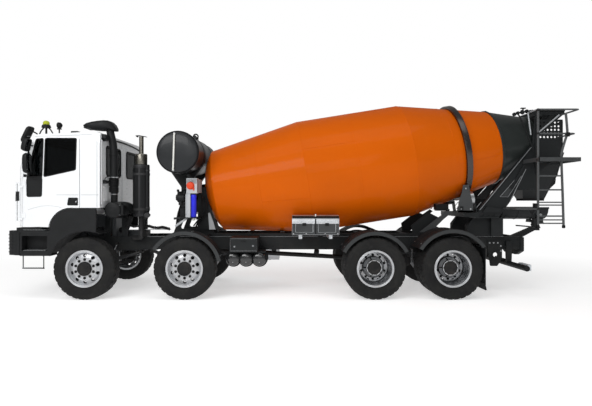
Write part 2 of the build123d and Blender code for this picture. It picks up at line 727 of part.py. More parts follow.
AIR_TANK_X = [-1153.0, -911.0, -664.0]
AIR_TANK_Z = 705.0
AIR_TANK_R = 129.0
AIR_TANK_Y = (-1000.0, -480.0)
SIDE_BOX_X = (-1205.0, -688.0)
SIDE_BOX_Z = (846.0, 1106.0)
SIDE_BOX_Y = (-1060.0, -440.0)
FUEL_X = (-1250.0, -330.0)
FUEL_Y = (470.0, 1090.0)
FUEL_Z = (500.0, 1050.0)
PLATE_BOX_X = (-55.0, 795.0)
PLATE_BOX_Y = (-1200.0, -820.0)
PLATE_BOX_Z = (1170.0, 1520.0)


def air_tanks():
    """Three air tanks across the truck, hung under the battery box."""
    shelf = block(
        (SIDE_BOX_X[0], AIR_TANK_X[2] + 110), (SIDE_BOX_Y[0] + 60, -RAIL_Y - FIT), (
            AIR_TANK_Z + AIR_TANK_R - 4, SIDE_BOX_Z[0]
        )
    )
    box = block(SIDE_BOX_X, (SIDE_BOX_Y[0], -RAIL_Y - FIT), SIDE_BOX_Z)
    box = fillet(box.edges().filter_by(Axis.Z).group_by(Axis.Y)[0], 30)
    shapes = [shelf, box]
    for x in AIR_TANK_X:
        tank = rod((x, AIR_TANK_Y[0], AIR_TANK_Z), (x, AIR_TANK_Y[1], AIR_TANK_Z), AIR_TANK_R)
        shapes.append(fillet(tank.edges().filter_by(GeomType.CIRCLE), 45))
    return fused(shapes)


def fuel_tank():
    """The fuel tank on the passenger's side, on two brackets with straps."""
    points = [
        (FUEL_Y[0], FUEL_Z[0]), (FUEL_Y[1], FUEL_Z[0]), (FUEL_Y[1], FUEL_Z[1]), (FUEL_Y[0], FUEL_Z[1])
    ]
    shapes = [cross_plate(points, FUEL_X, 110)]
    wider = [(y + (-8 if y < 700 else 8), z + (-8 if z < 700 else 8)) for y, z in points]
    for x in (FUEL_X[0] + 180, FUEL_X[1] - 240):
        shapes.append(cross_plate(wider, (x, x + 60), 116))
        shapes.append(
            block((x, x + 60), (RAIL_Y + FIT, FUEL_Y[0] + 120), (RAIL_BOTTOM + 20, RAIL_BOTTOM + 160))
        )
    return fused(
        shapes + [rod((FUEL_X[1] - 140, 800, FUEL_Z[1] - 5), (FUEL_X[1] - 140, 800, FUEL_Z[1] + 35), 45)]
    )


def chequer_box():
    """The aluminium locker with a rounded top, on two arms from the subframe."""
    y0, y1 = PLATE_BOX_Y
    z0, z1 = PLATE_BOX_Z
    body = cross_plate([(y0, z0), (y1, z0), (y1, z1), (y0, z1)], PLATE_BOX_X, 0)
    body = fillet(body.edges().filter_by(Axis.X).group_by(Axis.Z)[-1], 110)
    mid = (PLATE_BOX_X[0] + PLATE_BOX_X[1]) / 2
    for low, high in ((PLATE_BOX_X[0] + 60, mid - 45), (mid + 45, PLATE_BOX_X[1] - 60)):
        body = body - block((low, high), (y0 - 5, y0 + 8), (z0 + 45, z1 - 120))
    arms = [
        block((x, x + 60), (y0 + 40, -RAIL_Y - FIT), (SUBFRAME_TOP - 50, z0 + 4))
        for x in (PLATE_BOX_X[0] + 120, PLATE_BOX_X[1] - 180)
    ]
    return fused([body] + arms)


# Exhaust and air intake behind the cab

MUFFLER_X = -2950.0
MUFFLER_Y = -640.0
MUFFLER_R = 150.0
MUFFLER_Z = (1480.0, 2475.0)
MUFFLER_NECK_R = 110.0
MUFFLER_NECK_TOP = 2685.0
MUFFLER_INLET_Z = 1180.0
TAIL_R = 42.0
TAIL_TOP = 3030.0
RAIN_CAP_R = 14.0
RAIN_CAP_HALF = 98.0
SIDE_PIPE_X = 132.0
SIDE_PIPE_Y = 60.0
SIDE_PIPE_R = 44.0
SIDE_PIPE_Z = (1570.0, 2475.0)
FILTER_X = -3358.0
FILTER_Z = 1614.0
FILTER_R = 152.0
FILTER_Y = (-1060.0, -320.0)
DUCT_Y = (-1030.0, -730.0)
SNORKEL_X = -3397.0
SNORKEL_Y = -860.0
SNORKEL_R = 77.0
SNORKEL_SPLIT_Z = 2050.0
SNORKEL_HEAD_X = (-3915.0, -3262.0)
SNORKEL_HEAD_Z = (3085.0, 3288.0)
SNORKEL_LEAN = 62.0


def exhaust():
    """The upright muffler on its stand, with a tail pipe, a rain cap and a slim side pipe."""
    x, y = MUFFLER_X, MUFFLER_Y
    low, high = MUFFLER_Z
    can = rod((x, y, low), (x, y, high), MUFFLER_R)
    can = fillet(can.edges().filter_by(GeomType.CIRCLE), 25)
    neck = rod((x, y, high - 20), (x, y, MUFFLER_NECK_TOP), MUFFLER_NECK_R)
    tail = rod((x, y, MUFFLER_NECK_TOP - 5), (x, y, TAIL_TOP), TAIL_R)
    cap = rod((x - RAIN_CAP_HALF, y, TAIL_TOP), (x + RAIN_CAP_HALF, y, TAIL_TOP), RAIN_CAP_R)
    side_y = y - SIDE_PIPE_Y
    side = rod(
        (x + SIDE_PIPE_X, side_y, SIDE_PIPE_Z[0]), (x + SIDE_PIPE_X, side_y, SIDE_PIPE_Z[1]), SIDE_PIPE_R
    )
    clamps = [
        block((x - 60, x + SIDE_PIPE_X), (side_y - 10, y + 20), (z, z + 40))
        for z in (low + 120, high - 200)
    ]
    post = block((x - 50, x + 50), (y - 20, -RAIL_Y + 40), (low - 60, low + 30))
    leg = block((x - 50, x + 50), (-RAIL_Y, -RAIL_Y + 60), (RAIL_TOP, low + 10))
    inlet = rod((x, y, MUFFLER_INLET_Z), (x, y, low + 10), 58)
    return fused([can, neck, tail, cap, side, post, leg, inlet] + clamps)


def air_filter():
    """The air filter's drum, its rear duct and the lower half of the bellows, on a rail bracket."""
    drum = rod((FILTER_X, FILTER_Y[0], FILTER_Z), (FILTER_X, FILTER_Y[1], FILTER_Z), FILTER_R)
    drum = fillet(drum.edges().filter_by(GeomType.CIRCLE), 30)
    duct = block((FILTER_X, -3150), DUCT_Y, (FILTER_Z - 110, FILTER_Z + 100))
    duct = fillet(duct.edges().filter_by(Axis.Y), 40)
    neck = rod((SNORKEL_X, SNORKEL_Y, FILTER_Z), (SNORKEL_X, SNORKEL_Y, 1960), SNORKEL_R)
    rings = [
        rod((SNORKEL_X, SNORKEL_Y, z), (SNORKEL_X, SNORKEL_Y, z + 14), SNORKEL_R + 14)
        for z in (1930, 1962, 1994, 2026)
    ]
    bellows = rod(
        (SNORKEL_X, SNORKEL_Y, 1950), (SNORKEL_X, SNORKEL_Y, SNORKEL_SPLIT_Z - FIT), SNORKEL_R + 2
    )
    shelf = block((FILTER_X - 40, FILTER_X + 80), (DUCT_Y[1], -RAIL_Y), (FILTER_Z - 125, FILTER_Z - 75))
    leg = block((FILTER_X - 40, FILTER_X + 80), (-RAIL_Y, -RAIL_Y + 60), (RAIL_TOP, FILTER_Z - 75))
    return fused([drum, duct, neck, bellows, shelf, leg] + rings)


# Water tank, gearbox and the pedestal that carries them

TANK_X = -2155.0
TANK_Z = 2680.0
TANK_R = 394.0
TANK_HALF = 1100.0
PEDESTAL_Y = (420.0, 500.0)
GEARBOX_S = (-1990.0, -1395.0)


def water_tank():
    """The water tank across the truck, with domed ends and two lifting eyes."""
    body = rod((TANK_X, -TANK_HALF, TANK_Z), (TANK_X, TANK_HALF, TANK_Z), TANK_R)
    body = fillet(body.edges().filter_by(GeomType.CIRCLE), 70)
    gauge = block(
        (TANK_X - 150, TANK_X - 105), (-TANK_HALF - 22, -TANK_HALF + 10), (TANK_Z - 340, TANK_Z + 330)
    )
    eyes = []
    for y in (-700, 700):
        ear = side_plate(
            [
                (TANK_X + 190, TANK_Z + 300), (TANK_X + 215, TANK_Z + 395), (TANK_X + 285, TANK_Z + 395),
                (TANK_X + 300, TANK_Z + 200)
            ],
            (y - 10, y + 10),
            0,
        )
        eyes.append(
            ear - rod((TANK_X + 250, y - 12, TANK_Z + 355), (TANK_X + 250, y + 12, TANK_Z + 355), 22)
        )
    filler = rod((TANK_X, 300, TANK_Z + TANK_R - 10), (TANK_X, 300, TANK_Z + TANK_R + 40), 110)
    return fused([body, gauge, filler] + eyes)


def gearbox():
    """The drum's gearbox and its hydraulic motor, on the drum's own axis."""
    place = Location(DRUM_PLANE)
    s0, s1 = GEARBOX_S
    profile = [
        (0, s0),
        (100, s0),
        (110, s0 + 30),
        (110, s0 + 250),
        (190, s0 + 265),
        (245, s0 + 330),
        (245, s0 + 470),
        (180, s0 + 490),
        (180, s1 - FIT),
        (0, s1 - FIT),
    ]
    return turned(profile, place)


def front_pedestal():
    """The welded stand at the subframe's front: a cradle for the gearbox and two saddles for the tank."""
    place = Location(DRUM_PLANE)
    keep_out = turned([(0, -2100), (250, -2100), (250, -1300), (0, -1300)], place)
    tank_room = rod((TANK_X, -1200, TANK_Z), (TANK_X, 1200, TANK_Z), TANK_R + FIT)
    side = side_plate(
        [(-2390, SUBFRAME_TOP), (-2180, 1700), (-1780, 1700), (-1590, SUBFRAME_TOP)], (-420, -380), 0
    )
    window = side_plate([(-2260, 1230), (-2110, 1600), (-1850, 1600), (-1720, 1230)], (-421, -379), 40)
    cradle = block((-2080, -1850), (-420, 420), (1560, 1800)) - keep_out
    post = block((TANK_X - 60, TANK_X + 60), (-PEDESTAL_Y[1], -PEDESTAL_Y[0]), (1500, TANK_Z - 200))
    saddle = side_plate(
        [
            (TANK_X - 60, 2050), (TANK_X - 300, 2400), (TANK_X - 300, 2480), (TANK_X + 300, 2480),
            (TANK_X + 300, 2400), (TANK_X + 60, 2050)
        ],
        (-PEDESTAL_Y[1], -PEDESTAL_Y[0]),
        0,
    )
    tie = block((TANK_X - 60, TANK_X + 60), (-PEDESTAL_Y[1], -380), (1500, 1690))
    left = fused([side - window, tie, post, saddle]) - tank_room
    return fused([left, other_side(left), cradle])


# Controls beside the pedestal

PANEL_X = (-1995.0, -1815.0)
PANEL_Y = (-1060.0, -920.0)
PANEL_Z = (1920.0, 2200.0)
KNOB = (-1851.0, 2062.0)
KNOB_R = 70.0


def control_panel():
    """The control box with its knob on a post, and the valve and filter tube beside it."""
    shelf = block((-2230, -1800), (-1060, -PEDESTAL_Y[1] - FIT), (1440, 1480))
    leg = block((TANK_X - 60, TANK_X + 60), (-620, -PEDESTAL_Y[1] - FIT), (1440, 1640))
    box = block(PANEL_X, PANEL_Y, PANEL_Z)
    box = fillet(box.edges().filter_by(Axis.Y), 18)
    post = block((-2005, -1925), (-1040, -960), (1470, 1935))
    knob = rod((KNOB[0], PANEL_Y[0] - 45, KNOB[1]), (KNOB[0], PANEL_Y[0] + 5, KNOB[1]), KNOB_R)
    valve = block((-2200, -2020), (-1040, -900), (1700, 1980))
    valve = fillet(valve.edges().filter_by(Axis.Y), 30)
    link = block((-2060, -1960), (-1000, -950), (1740, 1800))
    body = fused([shelf, leg, box, post, knob, valve, link])
    tube = rod((-1870, -1000, 1480 + FIT), (-1870, -1000, 1905), 48)
    tip = rod((-1870, -1000, 1420), (-1870, -1000, 1440 - FIT), 30)
    return [body, tube, tip]


# Drum, as distances s along its axis and radii about it

DISH_S = -1395.0
FLANGE_R = 180.0
DISH_R = 320.0
FRONT_EDGE = (810.0, -1150.0)
BELLY_R = 1130.0
BELLY_S = (635.0, 2660.0)
NECK_S = 4410.0
NECK_R = 742.0
MOUTH_BEND = (550.0, 5060.0)
MOUTH_S = 5250.0
MOUTH_R = 500.0
NECK_WALL = 12.0
BEAD_RISE = 14.0


def drum_shell():
    """The closed barrel: a dished front, a widening cone, a belly and a narrowing cone."""
    edge_r, edge_s = FRONT_EDGE
    lines = [
        Line((0, DISH_S), (FLANGE_R, DISH_S)),
        Line((FLANGE_R, DISH_S), (FLANGE_R, DISH_S + 40)),
        Line((FLANGE_R, DISH_S + 40), (DISH_R, DISH_S + 40)),
        ThreePointArc((DISH_R, DISH_S + 40), (600, DISH_S + 120), (edge_r - 30, edge_s - 12)),
        ThreePointArc((edge_r - 30, edge_s - 12), (edge_r - 6, edge_s), (edge_r + 4, edge_s + 22)),
        Line((edge_r + 4, edge_s + 22), (BELLY_R, BELLY_S[0])),
        Line((BELLY_R, BELLY_S[0]), (BELLY_R, BELLY_S[1])),
        Line((BELLY_R, BELLY_S[1]), (NECK_R, NECK_S)),
        Line((NECK_R, NECK_S), (0, NECK_S)),
        Line((0, NECK_S), (0, DISH_S)),
    ]
    return Location(DRUM_PLANE) * revolve(Plane.XZ * make_face(lines), Axis.Z)


def neck_radius(s):
    """The neck's outer radius between the shell and its bend near the mouth."""
    bend_r, bend_s = MOUTH_BEND
    return NECK_R + (bend_r - NECK_R) * (s - NECK_S) / (bend_s - NECK_S)


def drum_neck():
    """The open black cone at the rear of the drum, with a bead where it starts."""
    bend_r, bend_s = MOUTH_BEND
    profile = [
        (NECK_R - NECK_WALL, NECK_S),
        (NECK_R + BEAD_RISE, NECK_S),
        (NECK_R + BEAD_RISE, NECK_S + 40),
        (neck_radius(NECK_S + 50), NECK_S + 50),
        (bend_r, bend_s),
        (MOUTH_R, MOUTH_S - 20),
        (MOUTH_R + 14, MOUTH_S - 20),
        (MOUTH_R + 14, MOUTH_S),
        (MOUTH_R - NECK_WALL, MOUTH_S),
        (bend_r - NECK_WALL, bend_s),
    ]
    return turned(profile, Location(DRUM_PLANE))


def cone_radius(s):
    """The shell's radius on its rear cone."""
    return BELLY_R + (NECK_R - BELLY_R) * (s - BELLY_S[1]) / (NECK_S - BELLY_S[1])


def drum_ring():
    """The track ring that rolls on the two rollers."""
    low = RING_S - RING_WIDTH / 2
    high = RING_S + RING_WIDTH / 2
    profile = [
        (cone_radius(low) + FIT, low), (RING_R, low), (RING_R, high), (cone_radius(high) + FIT, high)
    ]
    return turned(profile, Location(DRUM_PLANE))


ROLLER_REACH = RING_R + ROLLER_R + FIT
ROLLER_Y = ROLLER_REACH * math.sin(math.radians(ROLLER_ANGLE))
ROLLER_DROP = ROLLER_REACH * math.cos(math.radians(ROLLER_ANGLE))
ROLLER_PIN_R = 25.0
ROLLER_CHEEK = (68.0, 86.0)


def roller():
    """The driver's side roller on its pin, along the drum's axis."""
    half = RING_WIDTH / 2 + 5
    profile = [
        (0, RING_S - ROLLER_CHEEK[1] - 6),
        (ROLLER_PIN_R, RING_S - ROLLER_CHEEK[1] - 6),
        (ROLLER_PIN_R, RING_S - half),
        (ROLLER_R, RING_S - half),
        (ROLLER_R, RING_S + half),
        (ROLLER_PIN_R, RING_S + half),
        (ROLLER_PIN_R, RING_S + ROLLER_CHEEK[1] + 6),
        (0, RING_S + ROLLER_CHEEK[1] + 6),
    ]
    return turned(profile, Location(DRUM_PLANE) * Pos(-ROLLER_Y, -ROLLER_DROP, 0))


# Rear pedestal

LEG_Y = (565.0, 590.0)
LEG = [(3480, 1451), (3555, 1600), (4583, 2852), (4600, 3100), (4660, 3470), (4700, 3470), (4700, 2650)]
LEG += [(4655, 2560), (4132, 1729), (3930, 1451)]
LEG_WINDOW = [(3960, 1860), (4345, 2300), (4385, 2270), (4120, 1850)]
GUSSET = [(4290, 2000), (4640, 2545), (4700, 2545), (4700, 2000)]
GUSSET_WALL = 10.0
REAR_BEAM_X = (4640.0, 5180.0)
REAR_BEAM_Z = (2485.0, 2545.0)


def roller_cheeks():
    """The two tilted plates that hold the ends of the driver's side roller's pin."""
    place = Location(DRUM_PLANE)
    shapes = []
    for side in (-1, 1):
        near = RING_S + side * ROLLER_CHEEK[0]
        far = RING_S + side * ROLLER_CHEEK[1]
        low = min(near, far)
        thick = abs(far - near)
        plate = Pos(-ROLLER_Y, -ROLLER_DROP - 130, low + thick / 2) * Box(150, 360, thick)
        shapes.append(place * plate)
    return shapes


def rear_pedestal():
    """The welded legs behind the wheels that carry the rollers, the hoppers and the platform."""
    leg = side_plate(LEG, (-LEG_Y[1], -LEG_Y[0]), 0) - side_plate(
        LEG_WINDOW, (-LEG_Y[1] - 5, -LEG_Y[0] + 5), 25
    )
    flange = [
        block((3480, 3930), (-LEG_Y[1] - 40, -RAIL_Y + 60), (1451, 1475)),
        block((3225, 3520), (-690, 690), (1475, 1560)),
        block((3450, 3530), (-690, -400), (1451, 1480)),
    ]
    beam = block(REAR_BEAM_X, (-LEG_Y[1], -LEG_Y[0]), REAR_BEAM_Z)
    knee = side_plate([(4660, 2300), (4640, 2490), (4900, 2490)], (-LEG_Y[1], -LEG_Y[0]), 0)
    front_flange = side_plate(
        [(3555, 1600), (4583, 2852), (4567, 2864), (3540, 1612)], (-LEG_Y[1] - 30, -LEG_Y[0] + 5), 0
    )
    gusset = side_plate(GUSSET, (-LEG_Y[0] - GUSSET_WALL, -LEG_Y[0]), 0)
    left = fused([leg] + flange + [beam, knee, gusset, front_flange] + roller_cheeks())
    place = Location(DRUM_PLANE) * Pos(-ROLLER_Y, -ROLLER_DROP, RING_S)
    left = left - place * Cylinder(ROLLER_PIN_R + FIT, 300)
    cross = block((3860, 3960), (-LEG_Y[0] - 5, LEG_Y[0] + 5), (1620, 1700))
    return fused([left, other_side(left), cross])


# Hoppers at the drum's mouth

SHEET = 8.0
# x front, x rear, half width, height
CHARGING = [
    (4745.0, 5275.0, 480.0, 3560.0), (4745.0, 5275.0, 480.0, 3490.0), (4740.0, 4980.0, 200.0, 3160.0)
]
DISCHARGE = [
    (4700.0, 5245.0, 520.0, 2720.0), (4560.0, 5190.0, 400.0, 2330.0), (4560.0, 5090.0, 260.0, 2000.0)
]
DISCHARGE += [(4620.0, 5060.0, 150.0, 1830.0)]
MOUTH_CLEAR = 30.0
GUARD_PLATE_X = (4660.0, 5190.0)
GUARD_PLATE_Z = (2600.0, 3360.0)
GUARD_HOLES_Z = (2960.0, 3360.0)
GUARD_HOLE_R = 18.5
GUARD_PITCH = 70.0


def funnel(sections, wall):
    """An open four-sided funnel through rectangles at several heights."""
    outer = [Pos((x0 + x1) / 2, 0, z) * Rectangle(x1 - x0, 2 * y) for x0, x1, y, z in sections]
    inner = [
        Pos((x0 + x1) / 2, 0, z) * Rectangle(x1 - x0 - 2 * wall, 2 * (y - wall))
        for x0, x1, y, z in sections
    ]
    solids = []
    for upper, lower in zip(range(len(sections) - 1), range(1, len(sections))):
        skin = loft([outer[upper], outer[lower]], ruled=True) - loft(
            [inner[upper], inner[lower]], ruled=True
        )
        solids.append(skin)
    return fused(solids)


def charging_hopper():
    """The funnel that fills the drum, with its rim, its lugs and the holed guards beside the mouth."""
    x0, x1, y, z = CHARGING[0]
    body = funnel(CHARGING, SHEET)
    rim = block((x0 - 20, x1), (-y - 20, y + 20), (z - 25, z))
    rim = rim - block((x0 + SHEET, x1 - SHEET), (-y + SHEET, y - SHEET), (z - 30, z + 5))
    lug = block((4640, 4790), (-LEG_Y[0] + FIT, -y + 70), (3425, 3460))
    lug = lug - block((4745, 5300), (-440, 440), (3400, 3500))
    brace = block((4640, x0 + 4), (-y - 20, -y), (3425, z))
    left = fused([lug, brace])
    hopper = fused([body, rim, left, other_side(left)])
    plate = block(GUARD_PLATE_X, (-LEG_Y[0] + FIT, -LEG_Y[0] + 6), GUARD_PLATE_Z)
    cells_x = int((GUARD_PLATE_X[1] - GUARD_PLATE_X[0] - 100) // GUARD_PITCH)
    cells_z = int((GUARD_HOLES_Z[1] - GUARD_HOLES_Z[0] - 40) // GUARD_PITCH)
    for i in range(cells_x):
        for j in range(cells_z):
            x = GUARD_PLATE_X[0] + 100 + i * GUARD_PITCH
            z_hole = GUARD_HOLES_Z[0] + 60 + j * GUARD_PITCH
            plate = plate - rod((x, -LEG_Y[0] - 5, z_hole), (x, -LEG_Y[0] + 12, z_hole), GUARD_HOLE_R)
    return [hopper] + pair(plate)


def discharge_hopper():
    """The funnel under the mouth that leads the concrete down to the chute."""
    body = funnel(DISCHARGE, SHEET)
    place = Location(DRUM_PLANE)
    bend_r, bend_s = MOUTH_BEND
    keep_out = turned(
        [
            (0, NECK_S),
            (NECK_R + MOUTH_CLEAR, NECK_S),
            (bend_r + MOUTH_CLEAR, bend_s),
            (MOUTH_R + MOUTH_CLEAR, MOUTH_S + MOUTH_CLEAR),
            (0, MOUTH_S + MOUTH_CLEAR),
        ],
        place,
    )
    lugs = []
    for x in (4800, 5080):
        lugs.append(block((x, x + 60), (-LEG_Y[0] + FIT, -440), (REAR_BEAM_Z[0] + 10, REAR_BEAM_Z[1] - 10)))
    inside = block((4700, 5250), (-450, 450), (2300, 2700))
    left = fused(lugs) - inside
    return fused([body, left, other_side(left)]) - keep_out


# Chute

CHUTE_X = 4930.0
CHUTE_PIN_R = 30.0
CHUTE_PIN_Z = (1240.0, 1330.0)
CHUTE_TILT_Z = 1500.0
CHUTE_R = 240.0
CHUTE_AXIS_Z = 1650.0
CHUTE_REACH = 750.0
CHUTE_BACK = 165.0
CHUTE_WALL = 8.0
CHUTE_EAR_Y = (226.0, 242.0)
CHUTE_TILT_PIN_R = 14.0


def chute_stand():
    """The arm from the rear crossmember with the upright pin that the chute turns on."""
    arm = side_plate(
        [
            (4430, 960), (4430, 1060), (4850, 1240), (5000, 1240), (5000, 1180), (4900, 1180), (4495, 960)
        ], (-70, 70), 0
    )
    return arm + rod((CHUTE_X, 0, 1200), (CHUTE_X, 0, CHUTE_PIN_Z[1]), CHUTE_PIN_R)


def chute_swivel():
    """The fork that turns on the upright pin and holds the chute's tilt pins."""
    z0, z1 = CHUTE_PIN_Z
    sleeve = rod((CHUTE_X, 0, z0 + FIT), (CHUTE_X, 0, z1 + 30), 62)
    plate = block((CHUTE_X - 60, CHUTE_X + 60), (-CHUTE_EAR_Y[1], CHUTE_EAR_Y[1]), (z1 + 10, z1 + 30))
    ear = side_plate(
        [
            (CHUTE_X - 60, z1 + 10),
            (CHUTE_X - 30, CHUTE_TILT_Z + 30),
            (CHUTE_X + 30, CHUTE_TILT_Z + 30),
            (CHUTE_X + 60, z1 + 10),
        ],
        (-CHUTE_EAR_Y[1], -CHUTE_EAR_Y[0]),
        0,
    )
    bore = rod((CHUTE_X, 0, z0 - 5), (CHUTE_X, 0, z1 + FIT), CHUTE_PIN_R + FIT)
    pins = rod((CHUTE_X, -300, CHUTE_TILT_Z), (CHUTE_X, 300, CHUTE_TILT_Z), CHUTE_TILT_PIN_R + FIT)
    return fused([sleeve, plate, ear, other_side(ear)]) - bore - pins


def chute():
    """The half-round chute, closed behind its pivot and open at its tip, with two tilt pins."""
    front = CHUTE_X - CHUTE_REACH
    back = CHUTE_X + CHUTE_BACK
    outer = rod((front, 0, CHUTE_AXIS_Z), (back, 0, CHUTE_AXIS_Z), CHUTE_R)
    inner = rod((front - 1, 0, CHUTE_AXIS_Z), (back - CHUTE_WALL, 0, CHUTE_AXIS_Z), CHUTE_R - CHUTE_WALL)
    trough = outer - inner - block((front - 10, back + 10), (-400, 400), (CHUTE_AXIS_Z, CHUTE_AXIS_Z + 400))
    lip = block((front, back), (-CHUTE_R - 22, -CHUTE_R + 4), (CHUTE_AXIS_Z - 26, CHUTE_AXIS_Z))
    boss = rod((CHUTE_X, -CHUTE_EAR_Y[0] + 6, CHUTE_TILT_Z), (CHUTE_X, -CHUTE_R + 60, CHUTE_TILT_Z), 26)
    pin = rod(
        (CHUTE_X, -CHUTE_EAR_Y[1] - 4, CHUTE_TILT_Z), (CHUTE_X, -CHUTE_R + 60, CHUTE_TILT_Z),
        CHUTE_TILT_PIN_R
    )
    hollow = rod((front - 1, 0, CHUTE_AXIS_Z), (back - CHUTE_WALL, 0, CHUTE_AXIS_Z), CHUTE_R - CHUTE_WALL)
    left = fused([boss, pin]) - hollow
    return fused([trough, lip, other_side(lip), left, other_side(left)])


# Ladder and platform on the driver's side

LADDER_Y = -1125.0
LADDER_R = 22.0
LADDER_FRONT_X = 4420.0
LADDER_REAR = [(4885.0, 1330.0), (4845.0, 2600.0), (4955.0, 3010.0), (4925.0, 3380.0)]
LADDER_FOOT_Z = 1320.0
LADDER_TOP_Z = 3466.0
RUNG_R = 14.0
RUNGS_Z = [1400.0, 1515.0, 1730.0, 1985.0, 2240.0]
PLATFORM_X = (4400.0, 5160.0)
PLATFORM_Y = (-1200.0, -590.0 - FIT)
PLATFORM_Z = (2495.0, 2575.0)
TOP_RAIL = (5160.0, 3450.0)
MID_RAIL = (5090.0, 3010.0)
HANDRAIL_R = 16.0
RAIL_BEND = 70.0
STAY_X = 4040.0
STAY_Z = 1640.0
STAY_R = 18.0


def ladder_platform():
    """The side ladder, the platform at its head and the handrails round it."""
    front = rod(
        (LADDER_FRONT_X, LADDER_Y, LADDER_FOOT_Z), (LADDER_FRONT_X, LADDER_Y, LADDER_TOP_Z), LADDER_R
    )
    rear = tube_path([(x, LADDER_Y, z) for x, z in LADDER_REAR], LADDER_R, 120)
    shapes = [front, rear]
    for z in RUNGS_Z:
        shapes.append(rod((LADDER_FRONT_X, LADDER_Y, z), (4868, LADDER_Y, z), RUNG_R))
    frame = block(PLATFORM_X, PLATFORM_Y, PLATFORM_Z)
    frame = frame - block(
        (PLATFORM_X[0] + 40, PLATFORM_X[1] - 40), (PLATFORM_Y[0] + 40, PLATFORM_Y[1] - 40), (
            PLATFORM_Z[0] - 5, PLATFORM_Z[1] - 12
        )
    )
    frame = frame - block(
        (PLATFORM_X[0] - 5, REAR_BEAM_X[0] - 60), (PLATFORM_Y[1] - 120, PLATFORM_Y[1] + 5), (2400, 2700)
    )
    shapes.append(frame)
    for (x, z), end in ((TOP_RAIL, -460.0 - FIT), (MID_RAIL, -LEG_Y[0])):
        rail = [(LADDER_FRONT_X, LADDER_Y, z), (x, LADDER_Y, z), (x, end, z)]
        shapes.append(tube_path(rail, HANDRAIL_R, RAIL_BEND))
    stay = [
        (LADDER_FRONT_X, LADDER_Y, STAY_Z), (STAY_X, LADDER_Y, STAY_Z), (STAY_X, -LEG_Y[1] - FIT, STAY_Z)
    ]
    shapes.append(tube_path(stay, STAY_R, 60))
    return fused(shapes)


# Cab

CAB_BOW = 110.0
CAB_CORNER_Y = 1000.0
ROOF_SHOULDER_Z = 2780.0
# side profile: x, z
CAB_ARCH = [(-4005, CAB_REAR_BOTTOM), (-4318, 1560), (-4451, CAB_BOTTOM)]
CAB_PROFILE = [
    (-4451, CAB_BOTTOM),
    (CAB_FRONT_X, CAB_BOTTOM),
    (CAB_FRONT_X + 10, 1900),
    (CAB_FRONT_X + 75, 2230),
    (-4750, 2935),
    (-4665, 2990),
    (-3600, 3045),
    (CAB_REAR_X, 3005),
    (CAB_REAR_X, CAB_REAR_BOTTOM),
    (-4005, CAB_REAR_BOTTOM),
]
DOOR = [
    (DOOR_FRONT_X, 1000),
    (DOOR_FRONT_X, 2190),
    (-4700, DOOR_TOP - 10),
    (DOOR_REAR_X, DOOR_TOP),
    (DOOR_REAR_X, 1000),
]
DOOR_WINDOWS = [
    [(-4507, 2915), (-3945, 2915), (-3960, 2345), (-4532, 2218)],
    [(-4672, 2900), (-4541, 2912), (-4566, 2222), (-4842, 2218)],
    [(-4842, 2190), (-4568, 2194), (-4576, 1866), (-4836, 1862)],
]
WINDOW_CORNER = 28.0
WINDSCREEN = [(-1065, 2270), (-1040, 2880), (1040, 2880), (1065, 2270)]
REAR_WINDOW = [(-900, 2260), (-900, 2800), (-180, 2800), (-180, 2260)]
FRONT_PANEL_BOTTOM = 1375.0
FRONT_PANEL_TOP = 2150.0
FRONT_PANEL_RAISE = 55.0
FRONT_PANEL_LIP = 30.0
GRILLE_Y = 720.0
GRILLE_Z = (1400.0, 1780.0)
GRILLE_BARS = 5
HINGE_R = 11.0
HINGE = (DOOR_FRONT_X + 3.0, -CAB_HALF_WIDTH - 3.0)
HINGES_Z = [(1480.0, 1560.0), (2060.0, 2140.0)]


def cab_plan(inset):
    """The cab's plan outline with a bowed front and rounded front corners."""
    front = CAB_FRONT_X + inset
    corner = CAB_FRONT_X + CAB_BOW + inset
    side = CAB_HALF_WIDTH - inset
    rear = CAB_REAR_X - inset
    shoulder = CAB_CORNER_Y
    edges = [
        ThreePointArc((corner, -shoulder), (front, 0), (corner, shoulder)),
        ThreePointArc((corner, shoulder), (corner + 48, side - 62), (corner + 165, side)),
        Line((corner + 165, side), (rear, side)),
        Line((rear, side), (rear, -side)),
        Line((rear, -side), (corner + 165, -side)),
        ThreePointArc((corner + 165, -side), (corner + 48, -side + 62), (corner, -shoulder)),
    ]
    return make_face(edges)


def cab_section(inset):
    """The cab's cross outline with its roof's shoulders rounded inwards."""
    side = CAB_HALF_WIDTH - inset
    top = 3120.0
    edges = [
        Line((-side, 1000), (side, 1000)),
        Line((side, 1000), (side, ROOF_SHOULDER_Z)),
        ThreePointArc((side, ROOF_SHOULDER_Z), (side - 18, 2950), (side - 110, top)),
        Line((side - 110, top), (-side + 110, top)),
        ThreePointArc((-side + 110, top), (-side + 18, 2950), (-side, ROOF_SHOULDER_Z)),
        Line((-side, ROOF_SHOULDER_Z), (-side, 1000)),
    ]
    return make_face(edges)


def cab_solid(inset):
    """The whole cab as a solid, its faces moved inwards by an inset."""
    profile = make_face([Polyline(*CAB_PROFILE), ThreePointArc(*CAB_ARCH)])
    if inset:
        profile = offset(profile, amount=-inset, kind=Kind.INTERSECTION)
    wide = CAB_HALF_WIDTH + 50
    side = Plane(origin=(0, wide, 0), x_dir=(1, 0, 0), z_dir=(0, -1, 0))
    side_view = extrude(side * profile, amount=2 * wide, dir=(0, -1, 0))
    top_view = extrude(Pos(0, 0, 1100) * cab_plan(inset), amount=2200, dir=(0, 0, 1))
    end = Plane(origin=(-5400, 0, 0), x_dir=(0, 1, 0), z_dir=(1, 0, 0))
    end_view = extrude(end * cab_section(inset), amount=2200, dir=(1, 0, 0))
    return side_view & top_view & end_view


